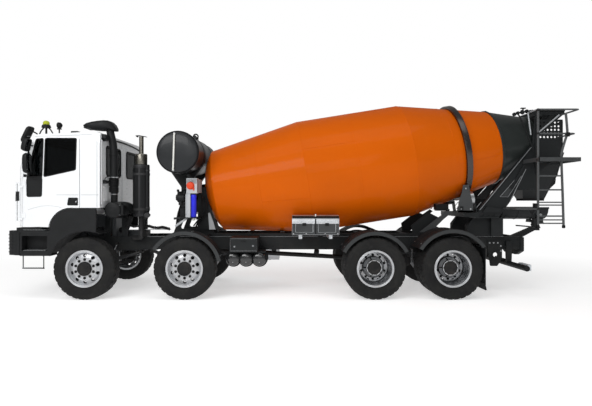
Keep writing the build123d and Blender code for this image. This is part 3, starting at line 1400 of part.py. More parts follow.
def door_prism(points, y, grow=0.0, corner=0):
    """An opening's outline, grown or shrunk, as a solid through the driver's side."""
    face = outline(points, corner)
    if grow:
        face = offset(face, amount=grow, kind=Kind.INTERSECTION)
    plane = Plane(origin=(0, y[1], 0), x_dir=(1, 0, 0), z_dir=(0, -1, 0))
    return extrude(plane * face, amount=y[1] - y[0], dir=(0, -1, 0))


def end_prism(points, x, grow=0.0):
    """An opening's outline, grown or shrunk, as a solid along the truck."""
    face = outline(points, WINDOW_CORNER)
    if grow:
        face = offset(face, amount=grow, kind=Kind.INTERSECTION)
    plane = Plane(origin=(x[0], 0, 0), x_dir=(0, 1, 0), z_dir=(1, 0, 0))
    return extrude(plane * face, amount=x[1] - x[0], dir=(1, 0, 0))


def front_region(gap):
    """The space of the front panel, larger by a gap."""
    return block(
        (-5400, -4980 + gap), (-1150 - gap, 1150 + gap), (FRONT_PANEL_BOTTOM - gap, FRONT_PANEL_TOP + gap)
    )


def hinge_barrels(radius, grow):
    """The driver's door's two hinge barrels."""
    x, y = HINGE
    return [rod((x, y, low - grow), (x, y, high + grow), radius) for low, high in HINGES_Z]


def hinge_leaves():
    """The door's leaves from its two hinge barrels to its panel."""
    x, y = HINGE
    return [block((x, x + 60), (y - 6, -CAB_HALF_WIDTH + 25), z) for z in HINGES_Z]


def hinge_seats():
    """The cab's two lugs that the driver's door's hinge barrels stand on."""
    x, y = HINGE
    shapes = []
    for low, _ in HINGES_Z:
        z = (low - 36, low - FIT)
        bridge = block((x - 30, x), (y - HINGE_R, y + 5), z)
        root = block((x - 60, x - 14), (y - HINGE_R, y + 45), z)
        shapes.append(fused([rod((x, y, z[0]), (x, y, z[1]), HINGE_R), bridge, root]))
    return shapes


def cab_pivot_lug():
    """The ear under the cab's front with the pin that it tilts on."""
    ear = block((PIVOT_X - 34, PIVOT_X + 34), (-PIVOT_Y[0] + FIT, -330), (PIVOT_Z - 34, CAB_BOTTOM + 25))
    pin = rod((PIVOT_X, -PIVOT_Y[1] - 4, PIVOT_Z), (PIVOT_X, -PIVOT_Y[0] + 10, PIVOT_Z), PIVOT_PIN_R)
    return ear + pin


OUTER = cab_solid(0)
INNER = cab_solid(CAB_WALL)
SKIN = OUTER - INNER


def cab_shell():
    """The hollow cab: floor, roof, pillars and rear wall, open at its doors and windows."""
    hole = door_prism(DOOR, (-1300, -CAB_HALF_WIDTH + CAB_WALL), SEAM)
    rear = end_prism(REAR_WINDOW, (CAB_REAR_X - 100, CAB_REAR_X + 100))
    screen = end_prism(WINDSCREEN, (-5400, -4500))
    shell = SKIN - hole - other_side(hole) - rear - other_side(rear) - screen - front_region(0.5)
    for barrel in hinge_barrels(HINGE_R + FIT, 2):
        shell = shell - barrel - other_side(barrel)
    shell = shell.solids().sort_by(SortBy.VOLUME)[-1]
    fittings = [cab_pivot_lug()] + hinge_seats()
    return fused([shell] + fittings + [other_side(form) for form in fittings])


def front_panel():
    """The white panel under the windscreen, open for the grille."""
    swell = (cab_solid(-FRONT_PANEL_RAISE) - INNER) & front_region(-FRONT_PANEL_LIP)
    panel = (SKIN & front_region(0)) + swell
    opening = block((-5400, -4900), (-GRILLE_Y, GRILLE_Y), GRILLE_Z)
    return (panel - opening).solids().sort_by(SortBy.VOLUME)[-1]


def grille():
    """Curved horizontal bars in the front panel's opening, joined by three ribs."""
    skin = cab_solid(8) - cab_solid(38)
    opening = block(
        (-5400, -4900), (-GRILLE_Y + FIT, GRILLE_Y - FIT), (GRILLE_Z[0] + FIT, GRILLE_Z[1] - FIT)
    )
    whole = skin & opening
    pitch = (GRILLE_Z[1] - GRILLE_Z[0]) / GRILLE_BARS
    ribs = cab_solid(24) - cab_solid(38)
    gaps = []
    for i in range(GRILLE_BARS):
        low = GRILLE_Z[0] + i * pitch + 0.3 * pitch
        gaps.append(block((-5400, -4900), (-GRILLE_Y + 30, GRILLE_Y - 30), (low, low + 0.45 * pitch)))
    for gap in gaps:
        whole = whole - gap
    for y in (-380, 0, 380):
        whole = whole + (ribs & opening & block((-5400, -4900), (y - 12, y + 12), GRILLE_Z))
    return whole


def cab_glass():
    """The windscreen and the two rear panes, set in their openings."""
    screen = (cab_solid(20) - cab_solid(20 + GLASS)) & end_prism(WINDSCREEN, (-5400, -4500), -FIT)
    rear = end_prism(REAR_WINDOW, (CAB_REAR_X - 30, CAB_REAR_X - 30 + GLASS), -FIT)
    return [screen, rear, other_side(rear)]


def door():
    """The driver's door: a whole panel with its windows cut and its hinge barrels."""
    prism = door_prism(DOOR, (-1300, -CAB_HALF_WIDTH + DOOR_WALL))
    panel = OUTER & prism
    for points in DOOR_WINDOWS:
        panel = panel - door_prism(points, (-1300, -1100), 0, WINDOW_CORNER)
    return fused([panel] + hinge_barrels(HINGE_R, 0) + hinge_leaves())


def door_glass():
    """The panes of the driver's door."""
    y = (-CAB_HALF_WIDTH + 30, -CAB_HALF_WIDTH + 30 + GLASS)
    return [door_prism(points, y, -FIT, WINDOW_CORNER) for points in DOOR_WINDOWS]


MIRROR_X = (-4804.0, -4696.0)
MIRROR_Y = (-1475.0, -1290.0)
MIRRORS_Z = [(2265.0, 2630.0), (2660.0, 2900.0)]


def mirror_heads():
    """The two mirror housings on their frame, held by two arms on the door."""
    clear = cab_solid(-FIT)
    shapes = []
    for z in MIRRORS_Z:
        head = block(MIRROR_X, MIRROR_Y, z)
        head = fillet(head.edges(), 30)
        shapes.append(head)
    post_x = MIRROR_X[0] + 50
    shapes.append(rod((post_x, -1300, 2230), (post_x, -1300, 2890), 13))
    shapes.append(rod((post_x, -1300, 2240), (-4880, -1190, 2240), 12))
    shapes.append(rod((post_x, -1300, 2775), (-4730, -1190, 2775), 12))
    return fused(shapes) - clear


def cab_interior():
    """The dashboard, the steering wheel on its column and two seats."""
    inner = cab_solid(CAB_WALL + FIT)
    dash = inner & block((-5300, -4800), (-1130, 1130), (1880, 2165))
    centre = Pos(-4640, -560, 2190) * Rot(0, -35, 0)
    wheel = centre * Torus(215, 17)
    spokes = centre * Box(400, 40, 14) + centre * Box(40, 400, 14)
    hub = centre * Cylinder(55, 40)
    column = rod((-4850, -560, 1890), (-4640, -560, 2190), 32)
    front = fused([dash, column, hub, spokes, wheel])
    seats = []
    for y in (-560, 560):
        base = block((-4000, -3760), (y - 190, y + 190), (CAB_REAR_BOTTOM + CAB_WALL + FIT, 1905))
        cushion = block((-4260, -3740), (y - 250, y + 250), (1900, 2030))
        cushion = fillet(cushion.edges(), 40)
        back = side_plate(
            [(-3830, 2010), (-3720, 2000), (-3620, 2640), (-3700, 2650)], (y - 240, y + 240), 25
        )
        head = side_plate(
            [(-3700, 2655), (-3622, 2640), (-3605, 2820), (-3680, 2820)], (y - 140, y + 140), 20
        )
        neck = block((-3680, -3650), (y - 40, y + 40), (2600, 2700))
        seats.append(fused([base, cushion, back, neck, head]))
    return [front] + seats


def snorkel():
    """The raised air intake behind the cab: a flat head, its pipe and the upper half of the bellows."""
    clear = cab_solid(-FIT)
    x0, x1 = SNORKEL_HEAD_X
    z0, z1 = SNORKEL_HEAD_Z
    nose = (x0, z0 + 86)
    edges = [
        Spline(
            nose, (x0 + 60, z0 + 142), (x0 + 250, z1 - 14), (x0 + 400, z1), (x0 + 520, z0 + 150),
            (x1, z0 + 30)
        ),
        Polyline((x1, z0 + 30), (x1 - 30, z0), (x0 + 150, z0 + 16)),
        Spline((x0 + 150, z0 + 16), (x0 + 40, z0 + 40), nose),
    ]
    plane = Plane(origin=(0, SNORKEL_Y + 170, 0), x_dir=(1, 0, 0), z_dir=(0, -1, 0))
    head = extrude(plane * make_face(edges), amount=370, dir=(0, -1, 0))
    top = [
        (SNORKEL_X, SNORKEL_Y, SNORKEL_SPLIT_Z), (SNORKEL_X, SNORKEL_Y, 2750),
        (SNORKEL_X - SNORKEL_LEAN, SNORKEL_Y, z0 + 60)
    ]
    pipe = tube_path(top, SNORKEL_R, 300)
    rings = [
        rod((SNORKEL_X, SNORKEL_Y, z), (SNORKEL_X, SNORKEL_Y, z + 14), SNORKEL_R + 14)
        for z in (2058, 2090, 2122)
    ]
    clamps = [
        block(
            (CAB_REAR_X - 60, SNORKEL_X), (SNORKEL_Y - 25, SNORKEL_Y + 25), (z, z + 40)
        ) for z in (2250, 2800)
    ]
    return fused([head, pipe] + rings + clamps) - clear


BEACON = (-4685.0, -820.0)
ROOF_LAMP_X = -4440.0
ROOF_LAMP_R = 56.0


def roof_fittings():
    """The beacon, the lamp on its stalk and the front mirror on the roof's edge."""
    clear = cab_solid(-FIT)
    x, y = BEACON
    beacon = fused([rod((x, y, 2950), (x, y, 3100), 34), rod((x, y, 3090), (x, y, 3160), 85)])
    dome = Pos(x, y, 3160) * Sphere(80)
    beacon = beacon + dome
    lamp = Pos(ROOF_LAMP_X, y, 3205) * Sphere(ROOF_LAMP_R)
    lamp = lamp + rod((ROOF_LAMP_X, y, 2950), (ROOF_LAMP_X, y, 3190), 14)
    arm = rod((-4690, -1020, 2940), (-4860, -1080, 3120), 13)
    plate = Pos(-4900, -1090, 2990) * Rot(0, 22, 0) * Box(70, 210, 320)
    plate = fillet(plate.edges(), 25)
    return [beacon - clear, lamp - clear, fused([arm, plate]) - clear]


# The nodes and their files

def solids_of(shapes):
    """Every solid in a form or a list of forms."""
    group = shapes if isinstance(shapes, list) else [shapes]
    return [solid for shape in group for solid in shape.solids()]


def write(name, shapes):
    """One STEP file for a node."""
    solids = solids_of(shapes)
    shape = solids[0] if len(solids) == 1 else Compound(solids)
    export_step(shape, "parts/" + name + ".step")


def write_wheels():
    """Knuckles, tyres and rims of all four axles, on both sides."""
    steered = {"knuckle": knuckle(0), "tyre": tyre(WHEEL_MID_Y), "rim": steer_rim()}
    driven = {"tyres": Compound([tyre(WHEEL_MID_Y), tyre(TWIN_MID_Y)]), "rims": twin_rims()}
    for number, forms in ((1, steered), (2, steered), (3, driven), (4, driven)):
        for part_name, form in forms.items():
            placed = Pos(AXLE_X[number], 0, 0) * form
            write(f"{part_name}_{number}_left", placed)
            write(f"{part_name}_{number}_right", other_side(placed))


def write_sides():
    """The pieces that each side has its own copy of."""
    for name, form in (("door", door()), ("mirrors", mirror_heads()), ("roller", roller())):
        write(name + "_left", form)
        write(name + "_right", other_side(form))
    panes = door_glass()
    write("door_glass_left", panes)
    write("door_glass_right", [other_side(pane) for pane in panes])


NODES = {
    "chassis_frame": lambda: [chassis_frame() + chute_stand(), underrun_bar()],
    "subframe": lambda: [subframe() + front_pedestal()],
    "engine_block": engine_block,
    "bumper": bumper,
    "lamps": lamps,
    "mudguards": lambda: mudguards() + front_fenders(),
    "front_axles": front_axles,
    "drive_axles": drive_axles,
    "air_tanks": air_tanks,
    "fuel_tank": fuel_tank,
    "chequer_box": chequer_box,
    "exhaust": exhaust,
    "air_filter": air_filter,
    "water_tank": water_tank,
    "gearbox": gearbox,
    "control_panel": control_panel,
    "rear_pedestal": rear_pedestal,
    "charging_hopper": charging_hopper,
    "discharge_hopper": discharge_hopper,
    "ladder_platform": ladder_platform,
    "drum_shell": drum_shell,
    "drum_neck": lambda: [drum_neck(), drum_ring()],
    "chute_swivel": chute_swivel,
    "chute": chute,
    "cab_shell": cab_shell,
    "front_panel": front_panel,
    "grille": grille,
    "cab_glass": cab_glass,
    "cab_interior": cab_interior,
    "snorkel": snorkel,
    "roof_fittings": roof_fittings,
}

for node_name, make_node in NODES.items():
    write(node_name, make_node())
write_wheels()
write_sides()
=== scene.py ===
import math

import bmesh
import bpy
from mathutils import Matrix, Vector


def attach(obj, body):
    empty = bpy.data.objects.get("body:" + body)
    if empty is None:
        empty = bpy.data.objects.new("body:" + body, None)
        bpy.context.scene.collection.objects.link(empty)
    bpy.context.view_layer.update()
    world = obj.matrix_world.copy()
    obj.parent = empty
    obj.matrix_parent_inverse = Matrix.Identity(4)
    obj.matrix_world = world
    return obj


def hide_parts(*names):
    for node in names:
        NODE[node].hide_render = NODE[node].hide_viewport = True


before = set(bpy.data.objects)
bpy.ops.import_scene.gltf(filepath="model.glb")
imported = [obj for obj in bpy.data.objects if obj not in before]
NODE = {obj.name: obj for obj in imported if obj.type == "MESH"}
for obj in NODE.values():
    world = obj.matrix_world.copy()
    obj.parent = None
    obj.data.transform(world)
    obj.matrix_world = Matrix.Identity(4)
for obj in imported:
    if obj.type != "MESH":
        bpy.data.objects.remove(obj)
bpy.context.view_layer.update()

# The truck's own sizes, in metres
AXLE_X = {1: -3.795, 2: -1.995, 3: 1.445, 4: 2.840}
TYRE_R = 0.560
WHEEL_MID_Y = 1.0925
TWIN_MID_Y = 0.7475
CAB_Y = 1.2
CAB_REAR_X = -3.525
RAIL_Y = 0.440
LADDER_Y = -1.125
DRUM_TILT = math.radians(9.05)
DRUM_FOOT = Vector((-0.421, 0, 2.1726))
DRUM_AXIS = Vector((math.cos(DRUM_TILT), 0, math.sin(DRUM_TILT)))
DRUM_UP = Vector((-DRUM_AXIS.z, 0, DRUM_AXIS.x))
UP = (0, 0, 1)
SIDES = (("left", -1), ("right", 1))


def ordered(a, b):
    """Two places with the lesser first, as a box takes them."""
    return (min(a, b), max(a, b))


def across(out, a, b):
    """A stretch of y on one side of the truck: out is -1 on the left and 1 on the right."""
    return ordered(out * a, out * b)


def line_of(start, step, count):
    """A number of points, each one step on from the last."""
    return [tuple(a + b * i for a, b in zip(start, step)) for i in range(count)]


def round_axis(centre, axis, radius, count, first=0.0):
    """Points evenly round an axis along x or y, the first at so many degrees above the level."""
    level = Vector((0, 1, 0)) if axis[0] else Vector((1, 0, 0))
    turns = [math.radians(first + 360 * i / count) for i in range(count)]
    return [Vector(centre) + radius * (math.cos(a) * level + math.sin(a) * Vector(UP)) for a in turns]


def squared(value, power):
    """A cosine or sine pushed towards a square's side; the lower the power, the squarer."""
    return math.copysign(abs(value) ** power, value)


def stitch(form, rings):
    """Joins rings of as many vertices each into a skin that closes round them."""
    for a, b in zip(rings, rings[1:]):
        for k in range(len(a)):
            j = (k + 1) % len(a)
            form.faces.new((a[k], a[j], b[j], b[k]))


def on_drum(s, radius, angle):
    """A point of the drum: distance along its axis, radius, and angle from the top towards the right."""
    a = math.radians(angle)
    right = Vector((0, 1, 0))
    return DRUM_FOOT + DRUM_AXIS * s + DRUM_UP * radius * math.cos(a) + right * radius * math.sin(a)


def linear(r, g, b):
    """A colour written as 0 to 255, as Blender's linear numbers."""
    return tuple(
        (c / 255 / 12.92) if c / 255 <= 0.04045 else ((c / 255 + 0.055) / 1.055) ** 2.4 for c in (r, g, b)
    ) + (1.0,)


# Materials

class Nodes:
    """A material's node tree with short calls to add and join nodes."""

    def __init__(self, name):
        self.material = bpy.data.materials.new(name)
        self.material.use_nodes = True
        self.tree = self.material.node_tree
        self.shader = self.tree.nodes["Principled BSDF"]
        self.coords = self.tree.nodes.new("ShaderNodeTexCoord").outputs["Object"]

    def add(self, kind, **values):
        node = self.tree.nodes.new("ShaderNode" + kind)
        for key, value in values.items():
            if key in node.inputs:
                node.inputs[key].default_value = value
            else:
                setattr(node, key, value)
        return node

    def link(self, a, b):
        self.tree.links.new(a, b)

    def math(self, operation, a, b=None, clamp=False):
        node = self.tree.nodes.new("ShaderNodeMath")
        node.operation = operation
        node.use_clamp = clamp
        for socket, value in zip(node.inputs, (a, b)):
            if value is None:
                continue
            if isinstance(value, (int, float)):
                socket.default_value = value
            else:
                self.link(value, socket)
        return node.outputs[0]

    def noise(self, scale, detail=3.0, stretch=None):
        node = self.add("TexNoise", Scale=scale, Detail=detail)
        source = self.coords
        if stretch:
            mapping = self.add("Mapping")
            mapping.inputs["Scale"].default_value = stretch
            self.link(source, mapping.inputs["Vector"])
            source = mapping.outputs[0]
        self.link(source, node.inputs["Vector"])
        return node.outputs["Fac"]

    def spread(self, value, low, high, to_low=0.0, to_high=1.0):
        node = self.add("MapRange")
        for key, number in (("From Min", low), ("From Max", high), ("To Min", to_low), ("To Max", to_high)):
            node.inputs[key].default_value = number
        self.link(value, node.inputs["Value"])
        return node.outputs[0]

    def blend(self, amount, a, b):
        node = self.tree.nodes.new("ShaderNodeMix")
        node.data_type = "RGBA"
        if isinstance(amount, (int, float)):
            node.inputs["Factor"].default_value = amount
        else:
            self.link(amount, node.inputs["Factor"])
        for key, value in (("A", a), ("B", b)):
            socket = [s for s in node.inputs if s.name == key and s.type == "RGBA"][0]
            if isinstance(value, tuple):
                socket.default_value = value
            else:
                self.link(value, socket)
        return [s for s in node.outputs if s.type == "RGBA"][0]

    def bump(self, height, strength, distance=0.002):
        node = self.add("Bump", Strength=strength, Distance=distance)
        self.link(height, node.inputs["Height"])
        self.link(node.outputs[0], self.shader.inputs["Normal"])

    def base(self, colour):
        if isinstance(colour, tuple):
            self.shader.inputs["Base Color"].default_value = colour
        else:
            self.link(colour, self.shader.inputs["Base Color"])

    def axes(self):
        """The three coordinates of a point on the object, each as a socket."""
        split = self.add("SeparateXYZ")
        self.link(self.coords, split.inputs[0])
        return split.outputs


def shade(colour, factor):
    """A colour made lighter or darker."""
    return tuple(min(1.0, c * factor) for c in colour[:3]) + (1.0,)


# The pale dust that settles low on the truck
DUST = linear(128, 120, 108)


def paint(
    name, colour, rough=0.3, metal=0.0, coat=0.0, dust=0.25, vary=0.06, grain=60.0, relief=0.15, shine=0.5
):
    """Paint or metal with slight shading, a little road dust low down, and an uneven surface."""
    m = Nodes(name)
    tone = m.spread(m.noise(1.7, 4.0), 0.35, 0.65)
    body = m.blend(tone, shade(colour, 1 - vary), shade(colour, 1 + vary))
    z = m.axes()[2]
    low = m.spread(z, 0.25, 1.35, 1.0, 0.0)
    patch = m.spread(m.noise(5.0, 6.0), 0.42, 0.72)
    grime = m.math("MULTIPLY", m.math("MULTIPLY", low, patch), dust, clamp=True)
    m.base(m.blend(grime, body, DUST))
    fine = m.noise(grain, 4.0)
    m.link(m.spread(fine, 0.3, 0.7, max(rough - 0.06, 0.02), rough + 0.08), m.shader.inputs["Roughness"])
    m.shader.inputs["Metallic"].default_value = metal
    m.shader.inputs["Specular IOR Level"].default_value = shine
    m.shader.inputs["Coat Weight"].default_value = coat
    m.shader.inputs["Coat Roughness"].default_value = 0.08
    m.bump(fine, relief, 0.0006)
    return m.material


def plastic(name, colour, rough=0.6, relief=0.35, grain=420.0, shine=0.2):
    """Moulded plastic or rubber with a fine grain."""
    m = Nodes(name)
    m.shader.inputs["Specular IOR Level"].default_value = shine
    tone = m.spread(m.noise(2.5, 5.0), 0.35, 0.65)
    m.base(m.blend(tone, shade(colour, 0.86), shade(colour, 1.16)))
    m.link(m.spread(m.noise(9.0, 3.0), 0.3, 0.7, rough - 0.07, rough + 0.08), m.shader.inputs["Roughness"])
    m.bump(m.noise(grain, 2.0), relief, 0.0004)
    return m.material


def glazing(name, colour, rough=0.02, clear=1.0):
    """Tinted glass, or a clouded dome where it is less clear."""
    m = Nodes(name)
    m.base(m.blend(m.spread(m.noise(3.0), 0.3, 0.7), shade(colour, 0.94), shade(colour, 1.04)))
    m.link(m.spread(m.noise(14.0, 5.0), 0.4, 0.7, rough, rough + 0.04), m.shader.inputs["Roughness"])
    m.shader.inputs["Transmission Weight"].default_value = clear
    m.shader.inputs["IOR"].default_value = 1.25
    return m.material


def chequer_plate(name):
    """Rolled aluminium with raised lozenges that lie in turn along both diagonals."""
    m = Nodes(name)
    x, y, z = m.axes()
    pitch = 0.034
    u = m.math("DIVIDE", m.math("ADD", x, y), pitch)
    v = m.math("DIVIDE", m.math("ADD", z, m.math("MULTIPLY", y, 0.6)), pitch)
    parity = m.math(
        "MODULO", m.math("ABSOLUTE", m.math("ADD", m.math("FLOOR", u), m.math("FLOOR", v))), 2.0
    )
    cell_u = m.math("SUBTRACT", m.math("FRACT", u), 0.5)
    cell_v = m.math("SUBTRACT", m.math("FRACT", v), 0.5)
    along = m.math("ADD", cell_u, cell_v)
    beside = m.math("SUBTRACT", cell_u, cell_v)

    def lozenge(long_way, short_way):
        a = m.math("POWER", m.math("MULTIPLY", long_way, 1.25), 2.0)
        b = m.math("POWER", m.math("MULTIPLY", short_way, 4.2), 2.0)
        return m.math("SUBTRACT", 1.0, m.math("ADD", a, b), clamp=True)

    one = m.math("MULTIPLY", lozenge(along, beside), parity)
    two = m.math("MULTIPLY", lozenge(beside, along), m.math("SUBTRACT", 1.0, parity))
    raised = m.math("ADD", one, two, clamp=True)
    tone = m.spread(m.noise(6.0, 4.0), 0.3, 0.7)
    flat = m.blend(tone, linear(172, 176, 180), linear(200, 203, 206))
    m.base(m.blend(raised, flat, linear(226, 228, 230)))
    m.link(m.spread(raised, 0.0, 1.0, 0.42, 0.26), m.shader.inputs["Roughness"])
    m.shader.inputs["Metallic"].default_value = 0.7
    m.bump(raised, 0.9, 0.0025)
    return m.material


def tyre_rubber(name):
    """Dull rubber with a little dry dust in patches."""
    m = Nodes(name)
    tone = m.spread(m.noise(4.0, 5.0), 0.35, 0.65)
    body = m.blend(tone, linear(22, 22, 23), linear(32, 32, 31))
    m.base(m.blend(m.spread(m.noise(11.0, 6.0), 0.52, 0.8, 0.0, 0.08), body, linear(92, 88, 82)))
    m.link(m.spread(m.noise(8.0), 0.3, 0.7, 0.66, 0.84), m.shader.inputs["Roughness"])
    m.shader.inputs["Specular IOR Level"].default_value = 0.22
    m.bump(m.noise(260.0, 3.0), 0.3, 0.0006)
    return m.material


def drum_paint(name, colour):
    """Glossy paint, slightly streaked round the drum and a little dusty."""
    m = Nodes(name)
    tone = m.spread(m.noise(1.1, 4.0, (0.5, 1.0, 1.0)), 0.3, 0.7)
    body = m.blend(tone, shade(colour, 0.93), shade(colour, 1.05))
    streak = m.spread(m.noise(7.0, 5.0, (3.0, 0.35, 0.35)), 0.5, 0.85, 0.0, 0.08)
    m.base(m.blend(streak, body, linear(200, 112, 36)))
    fine = m.noise(36.0, 4.0)
    m.link(m.spread(fine, 0.3, 0.7, 0.42, 0.56), m.shader.inputs["Roughness"])
    m.shader.inputs["Specular IOR Level"].default_value = 0.05
    m.shader.inputs["Coat Weight"].default_value = 0.08
    m.shader.inputs["Coat Roughness"].default_value = 0.06
    m.bump(m.noise(3.2, 3.0), 0.25, 0.006)
    return m.material


def ribbed_lens(name, colour, pitch=0.012):
    """A moulded lamp lens with fine upright flutes."""
    m = Nodes(name)
    x, y = m.axes()[:2]
    wave = m.math("SINE", m.math("MULTIPLY", m.math("ADD", y, x), 2 * math.pi / pitch))
    m.base(m.blend(m.spread(wave, -1.0, 1.0), shade(colour, 0.8), shade(colour, 1.1)))
    m.link(m.spread(m.noise(20.0), 0.3, 0.7, 0.08, 0.16), m.shader.inputs["Roughness"])
    m.shader.inputs["Coat Weight"].default_value = 0.6
    m.bump(wave, 0.5, 0.001)
    return m.material


WHITE = paint("cab_white_paint", linear(233, 235, 237), 0.28, coat=0.45, dust=0.16, vary=0.015)
ORANGE = drum_paint("drum_orange_paint", linear(200, 88, 0))
FRAME = paint("frame_paint", linear(29, 31, 32), 0.5, dust=0.08, vary=0.12, shine=0.15)
DARK = paint("superstructure_paint", linear(33, 35, 36), 0.42, coat=0.03, dust=0.04, vary=0.1, shine=0.15)
GLOSS = paint("tank_gloss_paint", linear(28, 29, 30), 0.2, coat=0.6, dust=0.0, vary=0.06)
LIP = paint("guard_lip", linear(52, 54, 55), 0.5, dust=0.04, vary=0.08, shine=0.2)
LEAF = paint("spring_leaf", linear(76, 78, 80), 0.5, metal=0.3, dust=0.1, vary=0.12)
TANK = paint("water_tank_paint", linear(34, 36, 38), 0.34, coat=0.10, dust=0.0, vary=0.06, shine=0.2)
IRON = paint("axle_iron", linear(30, 30, 31), 0.62, metal=0.1, dust=0.12, vary=0.18, shine=0.2)
ENGINE = paint("engine_iron", linear(70, 73, 76), 0.55, metal=0.4, dust=0.3, vary=0.15)
SILVER = paint("rim_silver", linear(188, 190, 193), 0.34, metal=0.55, dust=0.2, vary=0.05)
BARREL = paint("rim_barrel", linear(128, 130, 133), 0.26, metal=0.9, dust=0.0, vary=0.06)
TAIL_STEEL = paint("tail_pipe_steel", linear(112, 109, 102), 0.3, metal=0.9, dust=0.0, vary=0.08)
STEEL = paint("bare_steel", linear(168, 170, 172), 0.3, metal=0.9, dust=0.0, vary=0.08)
MUFFLER = paint("muffler_steel", linear(44, 44, 46), 0.42, metal=0.3, dust=0.0, vary=0.16, shine=0.3)
CHROME = paint("bright_metal", linear(214, 215, 218), 0.14, metal=1.0, dust=0.0, vary=0.03, relief=0.05)
ALLOY = paint("plain_aluminium", linear(186, 189, 193), 0.33, metal=0.75, dust=0.12, vary=0.06)
GREY = paint("control_grey", linear(128, 131, 134), 0.42, coat=0.2, dust=0.0, vary=0.05)
CHEQUER = chequer_plate("chequer_plate")
RUBBER = plastic("black_rubber", linear(17, 17, 18), 0.62)
BLACK = plastic("black_plastic", linear(22, 23, 24), 0.5, relief=0.3)
GUARD = plastic("guard_plastic", linear(27, 28, 29), 0.56, relief=0.45, grain=240.0)
TRIM = plastic("cab_trim", linear(72, 74, 78), 0.7, relief=0.4)
FABRIC = plastic("seat_fabric", linear(54, 57, 62), 0.92, relief=0.6, grain=900.0)
TYRE = tyre_rubber("tyre_rubber")
GLASS = glazing("window_glass", linear(58, 62, 64))
MIRROR = paint("mirror_glass", linear(205, 210, 214), 0.05, metal=1.0, dust=0.0, vary=0.02, relief=0.0)
CLEAR_LENS = ribbed_lens("clear_lens", linear(208, 214, 220))
RED_LENS = ribbed_lens("red_lens", linear(166, 18, 16))
AMBER_LENS = ribbed_lens("amber_lens", linear(226, 122, 22))
BEACON = glazing("beacon_dome", linear(196, 206, 60), 0.12, clear=0.35)
KNOB_RED = plastic("knob_red", linear(206, 66, 34), 0.4, relief=0.1)
BLUE = plastic("blue_tube", linear(40, 44, 196), 0.35, relief=0.1)
PALE = plastic("pale_plastic", linear(214, 214, 208), 0.45, relief=0.15)
LIGHT = paint("light_grey_paint", linear(176, 179, 182), 0.4, coat=0.2, dust=0.1, vary=0.05)
NECK = paint("drum_neck_paint", linear(40, 44, 43), 0.36, coat=0.06, dust=0.0, vary=0.1, shine=0.15)
RING_STEEL = paint("track_ring_steel", linear(78, 72, 70), 0.26, metal=0.95, dust=0.0, vary=0.1)
PLATE = paint("grey_plate", linear(62, 64, 65), 0.5, dust=0.04, vary=0.12, shine=0.2)
SEAM = paint("panel_gap", linear(150, 152, 155), 0.6, dust=0.0, vary=0.08, shine=0.2)
# Light grey for painted highlights along edges that catch the light; also the bumper's step treads in their
# own pale metal.
EDGE_HIGHLIGHT_AND_TREAD = paint("edge_highlight_and_tread", linear(132, 134, 136), 0.45, metal=0.3, dust=0.0, vary=0.15)
RUNG = paint("ladder_paint", linear(74, 76, 77), 0.45, dust=0.04, vary=0.1, shine=0.25)
SOOT = paint("sooty_steel", linear(40, 40, 41), 0.58, metal=0.3, dust=0.3, vary=0.14)

NODE_MATERIAL = {
    "chassis_frame": FRAME, "subframe": FRAME, "engine_block": ENGINE, "bumper": GUARD, "lamps": CLEAR_LENS,
    "mudguards": GUARD, "front_axles": IRON, "drive_axles": IRON, "air_tanks": DARK, "fuel_tank": ALLOY,
    "chequer_box": CHEQUER, "exhaust": MUFFLER, "air_filter": BLACK, "water_tank": TANK, "gearbox": IRON,
    "control_panel": GREY, "rear_pedestal": DARK, "charging_hopper": DARK, "discharge_hopper": DARK,
    "ladder_platform": DARK, "drum_shell": ORANGE, "drum_neck": NECK, "chute_swivel": DARK, "chute": DARK,
    "cab_shell": WHITE, "front_panel": WHITE, "grille": BLACK, "cab_glass": GLASS, "cab_interior": TRIM,
    "snorkel": BLACK, "roof_fittings": BLACK,
}
for side in ("left", "right"):
    NODE_MATERIAL[f"door_{side}"] = WHITE
    NODE_MATERIAL[f"door_glass_{side}"] = GLASS
    NODE_MATERIAL[f"mirrors_{side}"] = BLACK
    NODE_MATERIAL[f"roller_{side}"] = STEEL
    for number in (1, 2):
        NODE_MATERIAL[f"knuckle_{number}_{side}"] = IRON
        NODE_MATERIAL[f"tyre_{number}_{side}"] = TYRE
        NODE_MATERIAL[f"rim_{number}_{side}"] = SILVER
    for number in (3, 4):
        NODE_MATERIAL[f"tyres_{number}_{side}"] = TYRE
        NODE_MATERIAL[f"rims_{number}_{side}"] = SILVER
for name, obj in NODE.items():
    obj.data.materials.clear()
    obj.data.materials.append(NODE_MATERIAL[name])


# Forms: each adds to one piece's mesh

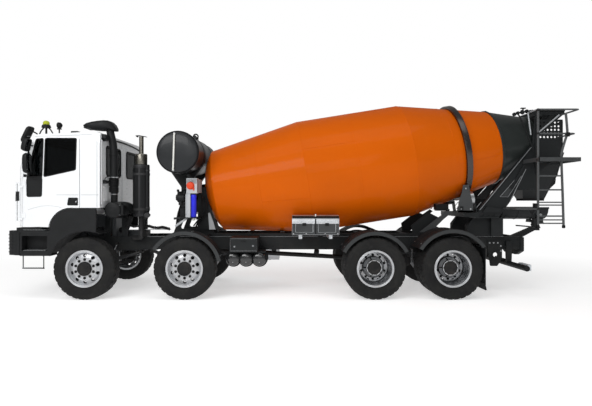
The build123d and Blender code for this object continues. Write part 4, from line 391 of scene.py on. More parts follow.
class Piece:
    """One piece of the truck, built from several forms, that rides on a CAD body."""

    def __init__(self, name, body, slot, *materials):
        self.name, self.body, self.slot, self.materials = name, body, slot, materials
        self.mesh = bmesh.new()
        self.paint = 0

    def use(self, material):
        self.paint = self.materials.index(material)
        return self

    def take(self, form, bevel=0.0, steps=2, place=None):
        """Adds a small bmesh, its sharp edges rounded and its material set."""
        if bevel:
            edges = [e for e in form.edges if len(e.link_faces) == 2 and e.calc_face_angle() > 0.5]
            bmesh.ops.bevel(form, geom=edges, offset=bevel, segments=steps, profile=0.5, affect="EDGES")
        if place is not None:
            bmesh.ops.transform(form, matrix=place, verts=form.verts)
        for face in form.faces:
            face.material_index = self.paint
        bmesh.ops.recalc_face_normals(form, faces=form.faces)
        carrier = bpy.data.meshes.new("carrier")
        form.to_mesh(carrier)
        form.free()
        self.mesh.from_mesh(carrier)
        bpy.data.meshes.remove(carrier)
        return self

    def box(self, x, y, z, bevel=0.004, place=None):
        form = bmesh.new()
        corners = [form.verts.new((a, b, c)) for a in x for b in y for c in z]
        for face in ((0, 1, 3, 2), (4, 6, 7, 5), (0, 4, 5, 1), (2, 3, 7, 6), (0, 2, 6, 4), (1, 5, 7, 3)):
            form.faces.new([corners[i] for i in face])
        return self.take(form, bevel, place=place)

    def prism(self, points, low, high, axis="y", bevel=0.003, place=None):
        """A flat outline made solid along an axis: (x, z) along y, (y, z) along x, (x, y) along z."""
        spread = {
            "y": lambda a, b, c: (a, c, b), "x": lambda a, b, c: (c, a, b), "z": lambda a, b, c: (a, b, c)
        }[axis]
        form = bmesh.new()
        ends = [[form.verts.new(spread(a, b, c)) for a, b in points] for c in (low, high)]
        form.faces.new(ends[0])
        form.faces.new(ends[1][::-1])
        for i in range(len(points)):
            j = (i + 1) % len(points)
            form.faces.new((ends[0][i], ends[0][j], ends[1][j], ends[1][i]))
        return self.take(form, bevel, place=place)

    def lathe(self, profile, origin, axis, sides=32, closed=False):
        """(radius, height) points turned about an axis through origin."""
        turn = Vector(axis).to_track_quat("Z", "Y").to_matrix().to_4x4()
        place = Matrix.Translation(Vector(origin)) @ turn
        form = bmesh.new()
        turns = [2 * math.pi * i / sides for i in range(sides)]
        rings = []
        for radius, height in profile:
            if radius < 1e-6:
                ring = [(0, 0, height)]
            else:
                ring = [(radius * math.cos(a), radius * math.sin(a), height) for a in turns]
            rings.append([form.verts.new(at) for at in ring])
        pairs = list(zip(rings, rings[1:]))
        if closed:
            pairs.append((rings[-1], rings[0]))
        for a, b in pairs:
            for i in range(sides):
                j = (i + 1) % sides
                if len(a) == 1 and len(b) > 1:
                    form.faces.new((a[0], b[i], b[j]))
                elif len(b) == 1 and len(a) > 1:
                    form.faces.new((a[i], a[j], b[0]))
                elif len(a) > 1 and len(b) > 1:
                    form.faces.new((a[i], a[j], b[j], b[i]))
        return self.take(form, place=place)

    def rod(self, start, end, radius, sides=14, bevel=0.15):
        """A round bar with softened ends."""
        start, end = Vector(start), Vector(end)
        length = (end - start).length
        soft = min(radius * bevel, length * 0.3)
        profile = [
            (0, 0), (radius - soft, 0), (radius, soft), (radius, length - soft), (radius - soft, length),
            (0, length)
        ]
        return self.lathe(profile, start, end - start, sides)

    def bolt(self, at, axis, radius, height=None):
        """A hexagon head on a washer."""
        height = height or radius * 0.7
        washer = [(0, 0), (radius * 1.35, 0), (radius * 1.35, height * 0.25), (0, height * 0.25)]
        self.lathe(washer, at, axis, 16)
        profile = [
            (0, height * 0.2), (radius, height * 0.2), (radius, height * 0.9), (radius * 0.85, height),
            (0, height)
        ]
        return self.lathe(profile, at, axis, 6)

    def bolts(self, places, axis, radius):
        for at in places:
            self.bolt(at, axis, radius)

    def tube(self, points, radius, sides=10, steps=6):
        """A round pipe along a smooth line through points."""
        pts = [Vector(p) for p in points]
        line = []
        for i in range(len(pts) - 1):
            before, a, b, after = pts[max(i - 1, 0)], pts[i], pts[i + 1], pts[min(i + 2, len(pts) - 1)]
            for k in range(steps):
                t = k / steps
                line.append(0.5 * ((2 * a) + (b - before) * t + (2 * before - 5 * a + 4 * b - after) * t * t
                                   + (3 * a - before - 3 * b + after) * t ** 3))
        line.append(pts[-1])
        return self.sweep(line, radius, sides)

    def sweep(self, line, radius, sides=10):
        """A round bar along a line of points, turned as little as possible between them."""
        line = [Vector(point) for point in line]
        turns = [2 * math.pi * k / sides for k in range(sides)]
        form = bmesh.new()
        rings = []
        normal = None
        for i, point in enumerate(line):
            ahead = (line[min(i + 1, len(line) - 1)] - line[max(i - 1, 0)]).normalized()
            if normal is None:
                normal = ahead.orthogonal().normalized()
            normal = (normal - ahead * normal.dot(ahead)).normalized()
            other = ahead.cross(normal)
            ring = [point + radius * (math.cos(a) * normal + math.sin(a) * other) for a in turns]
            rings.append([form.verts.new(at) for at in ring])
        stitch(form, rings)
        form.faces.new(rings[0][::-1])
        form.faces.new(rings[-1])
        return self.take(form)

    def grid(self, rows):
        """A sheet through rows of points, shown from both sides."""
        form = bmesh.new()
        made = [[form.verts.new(p) for p in row] for row in rows]
        for a, b in zip(made, made[1:]):
            for i in range(len(a) - 1):
                form.faces.new((a[i], a[i + 1], b[i + 1], b[i]))
        return self.take(form)

    def done(self, smooth=35, *replaced):
        """Makes the object on its body, smooth up to an angle, in place of the nodes named."""
        mesh = bpy.data.meshes.new(self.name)
        self.mesh.to_mesh(mesh)
        self.mesh.free()
        mesh.shade_smooth()
        mesh.set_sharp_from_angle(angle=math.radians(smooth))
        for material in self.materials:
            mesh.materials.append(material)
        obj = bpy.data.objects.new(self.name, mesh)
        bpy.context.scene.collection.objects.link(obj)
        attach(obj, self.body)
        if replaced:
            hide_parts(*replaced)
        return obj


# Wheels: tyres with road tread, nuts, hub caps and valves

def tyre_form(piece, x, mid_y):
    """A tyre with ribs, slanted sipes in its shoulders and a plain ringed sidewall."""
    side = [(0.322, -0.125), (0.338, -0.1265), (0.352, -0.139), (0.372, -0.1425), (0.376, -0.1465),
            (0.382, -0.1465), (0.386, -0.1500), (0.420, -0.1560), (0.455, -0.1572), (0.470, -0.1566),
            (0.473, -0.1574), (0.479, -0.1572), (0.482, -0.1556), (0.505, -0.1520), (0.520, -0.1480)]
    # Across the tread: distance from the middle, radius and which sipes cut it
    tread = [(-0.1432, 0.534, 1), (-0.1330, 0.5515, 1), (-0.1250, 0.5565, 1), (-0.0960, 0.5585, 2),
             (-0.0820, 0.5588, 3), (-0.0780, 0.5460, 0), (-0.0700, 0.5460, 0), (-0.0660, 0.5592, 4),
             (-0.0360, 0.5600, 4), (-0.0320, 0.5470, 0), (-0.0230, 0.5470, 0), (-0.0190, 0.5600, 5),
             (0.0, 0.5600, 5)]
    # Each kind of sipe: depth, and the steps of every eight round the tyre where it is
    sipes = {0: (0, ()), 1: (0.010, (0, 1)), 2: (0.013, (0, 1)), 3: (0.006, (1, 2)), 4: (0.007, (5,)),
             5: (0.006, (1,)), 6: (0.007, (3,))}
    profile = [(r, w, 0) for r, w in side] + [(r, w, kind) for w, r, kind in tread]
    profile += [(r, -w, 6 if kind == 4 else kind) for r, w, kind in profile[-2::-1]]
    steps_round = 224
    centre = Vector((x, mid_y, TYRE_R))
    form = bmesh.new()
    rings = []
    for r, w, kind in profile:
        depth, places = sipes[kind]
        ring = []
        for i in range(steps_round):
            angle = 2 * math.pi * i / steps_round
            radius = r - depth if i % 8 in places else r
            away = Vector((radius * math.cos(angle), w, radius * math.sin(angle)))
            ring.append(form.verts.new(centre + away))
        rings.append(ring)
    stitch(form, rings)
    piece.use(TYRE).take(form)


def rim_rings(piece, x, out, rings):
    """Fine raised rings on a rim, each at a radius and a distance from the truck's middle."""
    for radius, y in rings:
        profile = [(radius - 0.003, -0.004), (radius + 0.003, -0.004), (radius + 0.003, 0.002),
                   (radius, 0.0035), (radius - 0.003, 0.002)]
        piece.use(SILVER).lathe(profile, (x, out * y, TYRE_R), (0, out, 0), 72, closed=True)


def nuts(piece, x, y, out, circle, radius):
    """Ten wheel nuts on their washers, evenly round a hub."""
    for at in round_axis((x, y, TYRE_R), (0, out, 0), circle, 10, 18):
        washer = [(0, 0), (radius * 1.45, 0), (radius * 1.45, 0.006), (0, 0.006)]
        piece.lathe(washer, at, (0, out, 0), 14)
        nut = [(0, 0.005), (radius, 0.005), (radius, 0.026), (radius * 0.8, 0.031), (0, 0.031)]
        piece.lathe(nut, at, (0, out, 0), 6)


def steer_wheel(number, side, out):
    """A front wheel: its tyre's tread, and the nuts, cap, rim rings, hand holes and valve."""
    x = AXLE_X[number]
    tread = Piece(f"tyre_{number}_{side}_tread", f"wheel_{number}_{side}", "tyre", TYRE)
    tyre_form(tread, x, out * WHEEL_MID_Y)
    tread.done(28, f"tyre_{number}_{side}")
    trim = Piece(
        f"hub_{number}_{side}", f"wheel_{number}_{side}", "rim_silver", IRON, SILVER, BLACK)
    # The nuts are dark partly in their own colour and partly as painted shade of their shadows.
    trim.use(IRON)
    nuts(trim, x, out * 1.207, out, 0.1675, 0.0175)
    cap = [(0.128, 0.0), (0.130, 0.020), (0.127, 0.030), (0.118, 0.040), (0.085, 0.0475), (0.080, 0.052),
           (0.030, 0.054), (0, 0.054)]
    trim.lathe(cap, (x, out * 1.203, TYRE_R), (0, out, 0), 36)
    trim.bolts(round_axis((x, out * 1.2465, TYRE_R), (0, out, 0), 0.104, 6), (0, out, 0), 0.006)
    rim_rings(trim, x, out, ((0.329, 1.2335), (0.303, 1.2345), (0.209, 1.2075)))
    # Black linings in the hand holes: painted shade inside the holes.
    trim.use(BLACK)
    hand_hole = [
        (0.0285, -0.03), (0.0305, 0.0), (0.0325, 0.0055), (0.0300, 0.0065), (0.0275, 0.002), (0.0265, -0.03)
    ]
    centre = Vector((x, out * 1.184, TYRE_R))
    for at in round_axis(centre, (0, out, 0), 0.2405, 10, 18):
        slant = (at - centre).normalized() * 0.5 + Vector((0, out, 0))
        trim.lathe(hand_hole, at, slant, 20, closed=True)
    valve = Vector((x + 0.262 * math.cos(0.95), out * 1.192, TYRE_R + 0.262 * math.sin(0.95)))
    trim.rod(valve, valve + Vector((-0.02, out * 0.05, -0.02)), 0.005, 8)
    trim.done(30)


def twin_wheel(number, side, out):
    """A pair of rear wheels: both treads, and the outer rim's nuts, hub, barrel, hand holes and valve."""
    x = AXLE_X[number]
    tread = Piece(f"tyres_{number}_{side}_tread", f"wheel_{number}_{side}", "tyre", TYRE)
    tyre_form(tread, x, out * WHEEL_MID_Y)
    tyre_form(tread, x, out * TWIN_MID_Y)
    tread.done(28, f"tyres_{number}_{side}")
    trim = Piece(
        f"hub_{number}_{side}", f"wheel_{number}_{side}", "rim_silver", IRON, CHROME, SILVER, BLACK, BARREL
    )
    axis = (0, out, 0)
    disc = (x, out * 0.918, TYRE_R)
    # The nuts are dark partly in their own colour and partly as painted shade of their shadows.
    trim.use(BLACK)
    nuts(trim, x, out * 0.934, out, 0.222, 0.0165)
    trim.use(IRON)
    cover = [(0.182, 0.012), (0.1975, 0.012), (0.1985, 0.070), (0.196, 0.084), (0.184, 0.091),
             (0.160, 0.096), (0.152, 0.112), (0.143, 0.150), (0.141, 0.168), (0.134, 0.176),
             (0.112, 0.180), (0.106, 0.186), (0, 0.187)]
    trim.lathe(cover, disc, axis, 48)
    trim.bolts(round_axis((x, out * 1.0955, TYRE_R), axis, 0.125, 10), axis, 0.008)
    ribs = zip(round_axis((x, out * 1.055, TYRE_R), axis, 0.145, 5, 36),
               round_axis((x, out * 0.98, TYRE_R), axis, 0.19, 5, 36))
    for start, end in ribs:
        trim.rod(start, end, 0.014, 8)
    rim_rings(trim, x, out, ((0.329, 1.2335), (0.303, 1.2345)))
    barrel = [(0.3005, 0.30), (0.299, 0.262), (0.2935, 0.256), (0.2925, 0.196), (0.2875, 0.190),
              (0.2865, 0.128), (0.2815, 0.122), (0.2800, 0.060), (0.275, 0.052), (0.270, 0.020),
              (0.248, 0.0145), (0.248, 0.0165)]
    trim.use(BARREL).lathe(barrel, disc, axis, 64)
    # Black linings in the hand holes: painted shade inside the holes.
    trim.use(BLACK)
    hand_hole = [(0.0230, -0.02), (0.0245, 0.0), (0.0265, 0.0025), (0.0225, 0.0035), (0.0215, -0.02)]
    for at in round_axis((x, out * 0.9345, TYRE_R), axis, 0.255, 8, 22.5):
        trim.lathe(hand_hole, at, axis, 18, closed=True)
    valve = Vector((x + 0.24 * math.cos(0.6), out * 0.935, TYRE_R + 0.24 * math.sin(0.6)))
    bend, tip = Vector((0.012, out * 0.06, 0.008)), Vector((0.03, out * 0.16, 0.02))
    trim.use(CHROME).tube([valve, valve + bend, valve + tip], 0.005, 8)
    trim.done(30)


for side, out in SIDES:
    for number in (1, 2):
        steer_wheel(number, side, out)
    for number in (3, 4):
        twin_wheel(number, side, out)

# Cab

def outline_loop(piece, points, y, width, depth, steps=4, corner=0.03):
    """A moulded frame along an (x, z) outline with rounded corners, on the cab's side at y."""
    pts = [Vector((a, 0, b)) for a, b in points]
    rounded = []
    for i, point in enumerate(pts):
        before, after = pts[i - 1], pts[(i + 1) % len(pts)]
        a = point + (before - point).normalized() * corner
        b = point + (after - point).normalized() * corner
        for k in range(steps + 1):
            t = k / steps
            rounded.append(a * (1 - t) ** 2 + point * 2 * t * (1 - t) + b * t * t)
    count = len(rounded)
    centre = sum(rounded, Vector()) / count
    form = bmesh.new()
    rings = []
    for i, point in enumerate(rounded):
        ahead = (rounded[(i + 1) % count] - rounded[i - 1]).normalized()
        away = Vector((ahead.z, 0, -ahead.x))
        if away.dot(point - centre) < 0:
            away = -away
        sign = 1 if y > 0 else -1
        section = [
            (-width * 0.6, -0.012), (-width * 0.55, depth * 0.7), (0, depth), (width * 0.4, depth * 0.6),
            (width * 0.4, -0.006)
        ]
        rings.append([form.verts.new(point + away * u + Vector((0, y + sign * v, 0))) for u, v in section])
    for i in range(count):
        a, b = rings[i], rings[(i + 1) % count]
        for k in range(len(a) - 1):
            form.faces.new((a[k], a[k + 1], b[k + 1], b[k]))
    piece.take(form)


MAIN_WINDOW = [(-4.507, 2.915), (-3.945, 2.915), (-3.960, 2.345), (-4.532, 2.218)]
QUARTER_WINDOW = [(-4.672, 2.900), (-4.541, 2.912), (-4.566, 2.222), (-4.842, 2.218)]
LOWER_WINDOW = [(-4.842, 2.190), (-4.568, 2.194), (-4.576, 1.866), (-4.836, 1.862)]


def door_trim(side, out):
    """What is fixed to a door: gaskets, the black corner panel, handle, seam beads and inner trim."""
    y = out * CAB_Y
    p = Piece(f"door_trim_{side}", f"door_{side}", "black_plastic", RUBBER, BLACK, SEAM, TRIM, CHROME)
    p.use(RUBBER)
    for window in (MAIN_WINDOW, QUARTER_WINDOW):
        outline_loop(p, window, y, 0.020, 0.006)
    p.use(BLACK)
    outline_loop(p, LOWER_WINDOW, y, 0.024, 0.005)
    pane = [(-4.83, 2.182), (-4.574, 2.186), (-4.582, 1.874), (-4.826, 1.870)]
    p.prism(pane, y - out * 0.016, y - out * 0.002, "y", 0.006)
    strap = [(-4.845, 2.222), (-4.563, 2.226), (-4.565, 2.187), (-4.845, 2.184)]
    p.prism(strap, y - out * 0.004, y + out * 0.004, "y", 0.002)
    handle_plate = [(-4.112, 1.722), (-4.088, 1.842), (-3.93, 1.842), (-3.918, 1.83), (-3.918, 1.708),
                    (-3.93, 1.702), (-4.10, 1.702)]
    p.prism(handle_plate, y - out * 0.004, y + out * 0.006, "y", 0.004)
    grip = [(-4.096, 1.79), (-4.082, 1.826), (-3.934, 1.826), (-3.934, 1.79)]
    p.prism(grip, y + out * 0.004, y + out * 0.020, "y", 0.006)
    ledge = [(-4.092, 1.716), (-4.092, 1.744), (-3.936, 1.744), (-3.936, 1.716)]
    p.prism(ledge, y + out * 0.004, y + out * 0.011, "y", 0.003)
    lock = [(0, 0.004), (0.010, 0.004), (0.010, 0.008), (0.006, 0.009), (0, 0.009)]
    p.use(CHROME).lathe(lock, (-3.952, y + out * 0.001, 1.767), (0, out, 0), 16)
    p.use(SEAM)
    p.sweep(line_of((-4.31, y, 1.893), (0.05, 0, 0), 9), 0.0028, 6)
    crease = [
        (-4.82 + 0.04 * i, y, 1.622 + 0.05 * math.sin(math.pi * i / 15) + 0.003 * i) for i in range(16)
    ]
    p.sweep(crease, 0.0022, 6)
    p.sweep(line_of((-3.885, y, 1.66), (0, 0, 0.08), 17), 0.0025, 6)
    inner = y - out * 0.05
    p.use(TRIM)
    p.box((-4.84, -3.95), ordered(inner, inner - out * 0.03), (1.74, 1.86), 0.012)
    p.box((-4.5, -4.05), ordered(inner, inner - out * 0.07), (1.98, 2.04), 0.016)
    p.use(CHROME).rod((-4.42, inner - out * 0.012, 2.12), (-4.30, inner - out * 0.03, 2.12), 0.010)
    p.done(40)


def mirror_housing(p, x, y, z, tilt=0.0, glass=None):
    """A rounded mirror shell in a box of space, with its glass towards the rear."""
    mid = Vector((sum(x) / 2, sum(y) / 2, sum(z) / 2))
    place = Matrix.Translation(mid) @ Matrix.Rotation(tilt, 4, "Y")
    half = Vector(((x[1] - x[0]) / 2, (y[1] - y[0]) / 2, (z[1] - z[0]) / 2))

    def outline(form, depth, wide, tall):
        """A rounded rectangle of vertices across the mirror, at a share of its depth."""
        ring = []
        for k in range(28):
            c, s = math.cos(2 * math.pi * k / 28), math.sin(2 * math.pi * k / 28)
            at = (depth, squared(c, 0.42) * half.y * wide, squared(s, 0.42) * half.z * tall)
            ring.append(form.verts.new(at))
        return ring

    shell = bmesh.new()
    shares = (
        (1.0, 0.90), (0.93, 0.98), (0.55, 1.0), (0.0, 0.97), (-0.55, 0.86), (-0.88, 0.62), (-1.0, 0.3)
    )
    rings = [outline(shell, half.x * depth, grow, grow) for depth, grow in shares]
    stitch(shell, rings)
    shell.faces.new(rings[-1])
    shell.faces.new(rings[0][::-1])
    p.use(BLACK).take(shell, place=place)
    pane = bmesh.new()
    pane.faces.new(outline(pane, half.x + 0.001, 0.84, 0.86))
    p.use(glass or MIRROR).take(pane, place=place)


def mirrors(side, out):
    """A door's two mirrors on their post, with both arms, the rubber clamps and the foot plate."""
    p = Piece(f"mirror_set_{side}", f"door_{side}", "black_plastic", BLACK, MIRROR, RUBBER)
    mirror_housing(p, (-4.800, -4.700), across(out, 1.29, 1.475), (2.268, 2.628), math.radians(-1))
    mirror_housing(p, (-4.812, -4.706), across(out, 1.29, 1.475), (2.662, 2.896), math.radians(14))
    x, post = -4.752, out * 1.300
    p.use(BLACK)
    p.tube([(x, post, 2.235), (x, post, 2.5), (x, post, 2.885)], 0.013, 12)
    p.tube([(x, post, 2.242), (-4.79, out * 1.26, 2.240), (-4.872, out * 1.195, 2.240)], 0.012, 12)
    p.tube([(x, post, 2.775), (-4.745, out * 1.26, 2.776), (-4.732, out * 1.192, 2.776)], 0.012, 12)
    p.use(RUBBER)
    for z in (2.25, 2.46, 2.645, 2.775, 2.87):
        p.rod((x, post, z - 0.014), (x, post, z + 0.014), 0.0185, 14)
    foot = [(-4.90, 2.215), (-4.90, 2.265), (-4.85, 2.265), (-4.85, 2.215)]
    p.prism(foot, out * 1.183, out * 1.206, "y", 0.004)
    p.done(40, f"mirrors_{side}")


def cab_front():
    """The front: windscreen rubber, wipers, visor, handles, vents, the panel's seams and the grille mesh."""
    p = Piece("cab_front_trim", "cab", "black_plastic", RUBBER, BLACK, WHITE, DARK)

    def nose(y, z, off=0.0):
        """The front surface of the cab at a width and height, moved out by off."""
        bow = 0.11 * (y / 1.0) ** 2 if abs(y) <= 1.0 else 0.11 + 0.55 * (abs(y) - 1.0) ** 1.3
        if z < 1.9:
            lean = (z - 1.315) / 0.585 * 0.010
        elif z < 2.23:
            lean = 0.010 + (z - 1.9) / 0.33 * 0.065
        else:
            lean = 0.075 + (z - 2.23) / 0.705 * 0.325
        raised = 0.055 if 1.41 <= z <= 2.115 and abs(y) <= 1.115 else 0.0
        return Vector((-5.150 + max(bow, 0) + lean - raised - off, y, z))

    def bead(start, step, count, off, radius, sides):
        """A round bead over the front surface, from a width and height on by equal steps."""
        line = [nose(start[0] + step[0] * i, start[1] + step[1] * i, off) for i in range(count)]
        p.sweep(line, radius, sides)

    corners = [(-1.065, 2.270), (-1.040, 2.880), (1.040, 2.880), (1.065, 2.270)]
    line = []
    for (y0, z0), (y1, z1) in zip(corners, corners[1:] + corners[:1]):
        count = 24 if abs(y1 - y0) > 1 else 8
        line += [nose(y0 + (y1 - y0) * k / count, z0 + (z1 - z0) * k / count) for k in range(count)]
    p.use(RUBBER).sweep(line + [line[0]], 0.017, 8)
    p.use(BLACK)
    for y0, swing in ((-0.62, 0.86), (0.08, 0.86), (0.66, 0.50)):
        foot = nose(y0, 2.215, 0.012)
        tip = nose(y0 - 0.50 * swing, 2.40, 0.022)
        p.rod(foot + Vector((0.02, 0, 0)), foot - Vector((0.02, 0, 0)), 0.020)
        p.tube([foot, nose(y0 - 0.25 * swing, 2.31, 0.038), tip], 0.008, 8)
        bead((y0 - 0.50 * swing - 0.34, 2.36), (0.068, 0.008), 11, 0.012, 0.007, 6)
    p.use(DARK)
    bead((-1.12, 2.165), (0.056, 0), 41, -0.001, 0.006, 6)
    section = ((0, 0), (-0.06, 0.010), (-0.135, -0.035), (-0.15, -0.062), (-0.143, -0.066),
               (-0.125, -0.045), (-0.05, -0.002))
    visor = []
    for i in range(31):
        base = nose(-1.02 + 0.068 * i, 2.93, -0.02)
        visor.append([base + Vector((dx, 0, dz)) for dx, dz in section])
    p.use(BLACK).grid(visor)
    for y in (-0.9, -0.3, 0.3, 0.9):
        p.rod(nose(y, 2.915, -0.01), nose(y, 2.905, 0.085), 0.008, 8)
    p.use(DARK)
    for z in (1.835, 1.875, 1.915):
        bead((-0.62, z), (0.062, 0), 21, 0.010, 0.010, 6)
    p.use(BLACK)
    for y in (-0.86, 0.86):
        p.tube([nose(y, 1.98), nose(y, 1.99, 0.045), nose(y, 2.09, 0.045), nose(y, 2.10)], 0.010, 10)
    p.use(WHITE)
    bead((-1.0, 1.80), (0.1, 0), 21, -0.002, 0.010, 8)
    p.use(DARK)
    for out in (-1, 1):
        bead((out * 0.80, 1.42), (0, 0.02), 35, -0.001, 0.004, 6)
        bead((out * 1.10, 1.77), (0, 0.03), 8, 0.028, 0.018, 8)
        bead((out * 1.10, 1.42), (0, 0.03), 11, 0.024, 0.010, 8)
        p.sweep(line_of((-5.060, out * 1.119, 1.425), (0, 0, 0.034), 21), 0.005, 6)
        p.box((-5.084, -5.022), across(out, 1.108, 1.127), (1.785, 1.955), 0.006)
    p.done(40)

    mesh = Piece("grille_mesh", "cab", "black_plastic", BLACK)
    for i in range(57):
        y = -0.70 + 0.025 * i
        mesh.sweep([nose(y, 1.412, -0.107), nose(y, 1.77, -0.107)], 0.0022, 4)
    for k in range(15):
        mesh.sweep([nose(-0.70 + 0.07 * i, 1.415 + 0.025 * k, -0.107) for i in range(21)], 0.0022, 4)
    mesh.done(60)


def roof_pieces():
    """Beacon, stalk lamp, front mirror and the roof's ribs, hatch and drip rails."""
    p = Piece("roof_set", "cab", "black_plastic", BLACK, BEACON, CLEAR_LENS, RUBBER, WHITE, CHROME)
    x, y = -4.685, -0.82
    p.use(BLACK)
    foot = [(0, 0), (0.080, 0), (0.083, 0.010), (0.074, 0.046), (0.060, 0.060), (0, 0.060)]
    p.lathe(foot, (x, y, 3.158), UP, 32)
    for spread in (-0.13, 0.13):
        end = x + 1.15 * spread
        p.tube([(x + 0.3 * spread, y, 3.165), (x + 0.75 * spread, y, 3.10), (end, y, 2.985)], 0.012, 10)
        p.box((end - 0.03, end + 0.03), (y - 0.03, y + 0.03), (2.975, 2.992), 0.004)
    p.rod((x, y, 2.97), (x, y, 3.165), 0.018)
    dome = [(0.058, 0.0), (0.059, 0.03), (0.054, 0.052), (0.040, 0.068), (0.022, 0.076), (0, 0.078)]
    p.use(BEACON).lathe(dome, (x, y, 3.216), UP, 32)
    reflector = [(0, 0), (0.015, 0.0), (0.035, 0.03), (0.033, 0.033), (0, 0.012)]
    p.use(CHROME).lathe(reflector, (x, y, 3.222), UP, 20)
    lamp, aim = Vector((-4.440, y, 3.205)), (-0.96, 0.28, 0)
    p.use(BLACK)
    bowl = [(0, -0.055), (0.030, -0.050), (0.052, -0.025), (0.058, 0.0), (0.060, 0.012), (0.054, 0.014)]
    p.lathe(bowl, lamp, aim, 28)
    p.rod(lamp - Vector((0, 0, 0.23)), lamp - Vector((0, 0, 0.04)), 0.012)
    p.box((-4.475, -4.405), (y - 0.022, y + 0.022), (3.128, 3.150), 0.004)
    p.use(CLEAR_LENS).lathe([(0.054, 0.008), (0.045, 0.016), (0.025, 0.021), (0, 0.023)], lamp, aim, 28)
    p.use(BLACK)
    horn = [(-4.205, 3.05), (-4.195, 3.092), (-4.07, 3.092), (-4.055, 3.07), (-4.06, 3.02)]
    p.prism(horn, -0.87, -0.77, "y", 0.008)
    mirror_housing(p, (-4.935, -4.865), (-1.195, -0.985), (2.835, 3.165), math.radians(26), BLACK)
    p.use(BLACK).tube([(-4.69, -1.02, 2.945), (-4.76, -1.04, 3.03), (-4.865, -1.08, 3.075)], 0.013, 10)
    p.use(WHITE)
    for rib in (-0.55, -0.28, 0.0, 0.28, 0.55):
        p.sweep(line_of((-4.55, rib, 2.9965), (0.09, 0, 0.0047), 11), 0.011, 8)
    p.box((-4.35, -3.85), (-0.32, 0.32), (3.012, 3.052), 0.016)
    p.use(RUBBER)
    for out in (-1, 1):
        p.sweep(line_of((-4.66, out * 1.168, 2.935), (0.112, 0, 0.002), 11), 0.007, 6)
    p.done(40, "roof_fittings")


def cab_rear():
    """The cab's rear wall: rubber-framed panes, pressed ribs, roof and corner seams, and two pads below."""
    p = Piece("cab_rear_trim", "cab", "black_plastic", RUBBER, WHITE, DARK)
    x = CAB_REAR_X
    for out in (-1, 1):
        pane = [(out * 0.90, 2.26), (out * 0.90, 2.80), (out * 0.18, 2.80), (out * 0.18, 2.26)]
        line = []
        for (y0, z0), (y1, z1) in zip(pane, pane[1:] + pane[:1]):
            for k in range(6):
                t = 0.06 + 0.88 * k / 5
                line.append((x + 0.002, y0 + (y1 - y0) * t, z0 + (z1 - z0) * t))
        p.use(RUBBER).sweep(line + [line[0]], 0.020, 8)
        p.sweep(line_of((x + 0.001, out * 1.188, 1.70), (0, 0, 0.1), 13), 0.006, 6)
        p.use(WHITE)
        for z in (1.80, 1.92, 2.04, 2.16):
            p.box((x - 0.004, x + 0.010), across(out, 0.2, 1.02), (z - 0.018, z + 0.018), 0.007)
        p.box((x - 0.004, x + 0.012), across(out, 1.098, 1.142), (1.72, 2.90), 0.008)
        p.use(DARK).box((-3.80, -3.55), across(out, 0.36, 0.46), (1.632, 1.662), 0.006)
    p.use(WHITE).box((x - 0.004, x + 0.014), (-0.085, 0.085), (1.76, 2.90), 0.008)
    roof_seam = [(x + 0.004, -1.13 + 0.113 * i, 2.965 - 0.0006 * (i - 10) ** 2) for i in range(21)]
    p.use(RUBBER).sweep(roof_seam, 0.016, 8)
    p.done(40)


def cab_sides():
    """Seam beads on the fixed side panels behind the doors and along the roof's edge."""
    p = Piece("cab_side_trim", "cab", "cab_white", SEAM, DARK)
    for out in (-1, 1):
        y = out * CAB_Y
        p.use(SEAM)
        p.sweep(line_of((-3.865, y, 1.893), (0.032, 0, 0), 11), 0.0028, 6)
        p.sweep(line_of((-4.85, out * 1.176, 2.952), (0.13, 0, 0.0035), 10), 0.0022, 6)
        p.use(DARK).sweep(line_of((-3.575, y - out * 0.002, 1.67), (0, 0, 0.1), 13), 0.0035, 6)
    p.done(40)


def seat(side, y):
    """A sprung seat: crowned cushion, bolstered back and headrest."""
    def pad(name, lo, hi, crown, lean=0.0, bolster=0.0):
        """A padded block with softened corners and stitched channels, domed across its thinnest way."""
        piece = Piece(name, "cab", "cab_trim", FABRIC)
        form = bmesh.new()
        bmesh.ops.create_cube(form, size=2.0)
        bmesh.ops.subdivide_edges(form, edges=form.edges[:], cuts=9, use_grid_fill=True)
        half = [(b - a) / 2 for a, b in zip(lo, hi)]
        mid = [(b + a) / 2 for a, b in zip(lo, hi)]
        thin = half.index(min(half))
        wide = [k for k in range(3) if k != thin]
        for v in form.verts:
            q = list(v.co)
            u, w = q[wide[0]], q[wide[1]]
            dome = (1 - u ** 4) * (1 - w ** 4)
            channel = 0.05 * math.cos(w * math.pi * 3.5) * dome
            groove = bolster * max(0.0, abs(q[1]) - 0.62) * dome * 2.0
            corner = 0.035 * max(abs(u), abs(w)) ** 6 * (1 - 0.4 * abs(u * w))
            shrink = 1 - 0.06 * q[thin] ** 2 - corner
            q[thin] *= 0.70 + crown * dome + channel + groove
            q[wide[0]] *= shrink
            q[wide[1]] *= shrink
            v.co = Vector([m + h * c for m, h, c in zip(mid, half, q)])
            v.co.x += lean * (v.co.z - lo[2])
        piece.take(form)
        obj = piece.done(60)
        smooth = obj.modifiers.new("smooth", "SUBSURF")
        smooth.levels = smooth.render_levels = 1

    pad(f"seat_cushion_{side}", (-4.255, y - 0.245, 1.925), (-3.80, y + 0.245, 2.035), 0.32, bolster=0.5)
    back = ((-3.83, y - 0.235, 2.04), (-3.725, y + 0.235, 2.63))
    pad(f"seat_back_{side}", *back, 0.32, lean=0.12, bolster=0.5)
    pad(f"seat_head_{side}", (-3.715, y - 0.13, 2.67), (-3.635, y + 0.13, 2.815), 0.30)


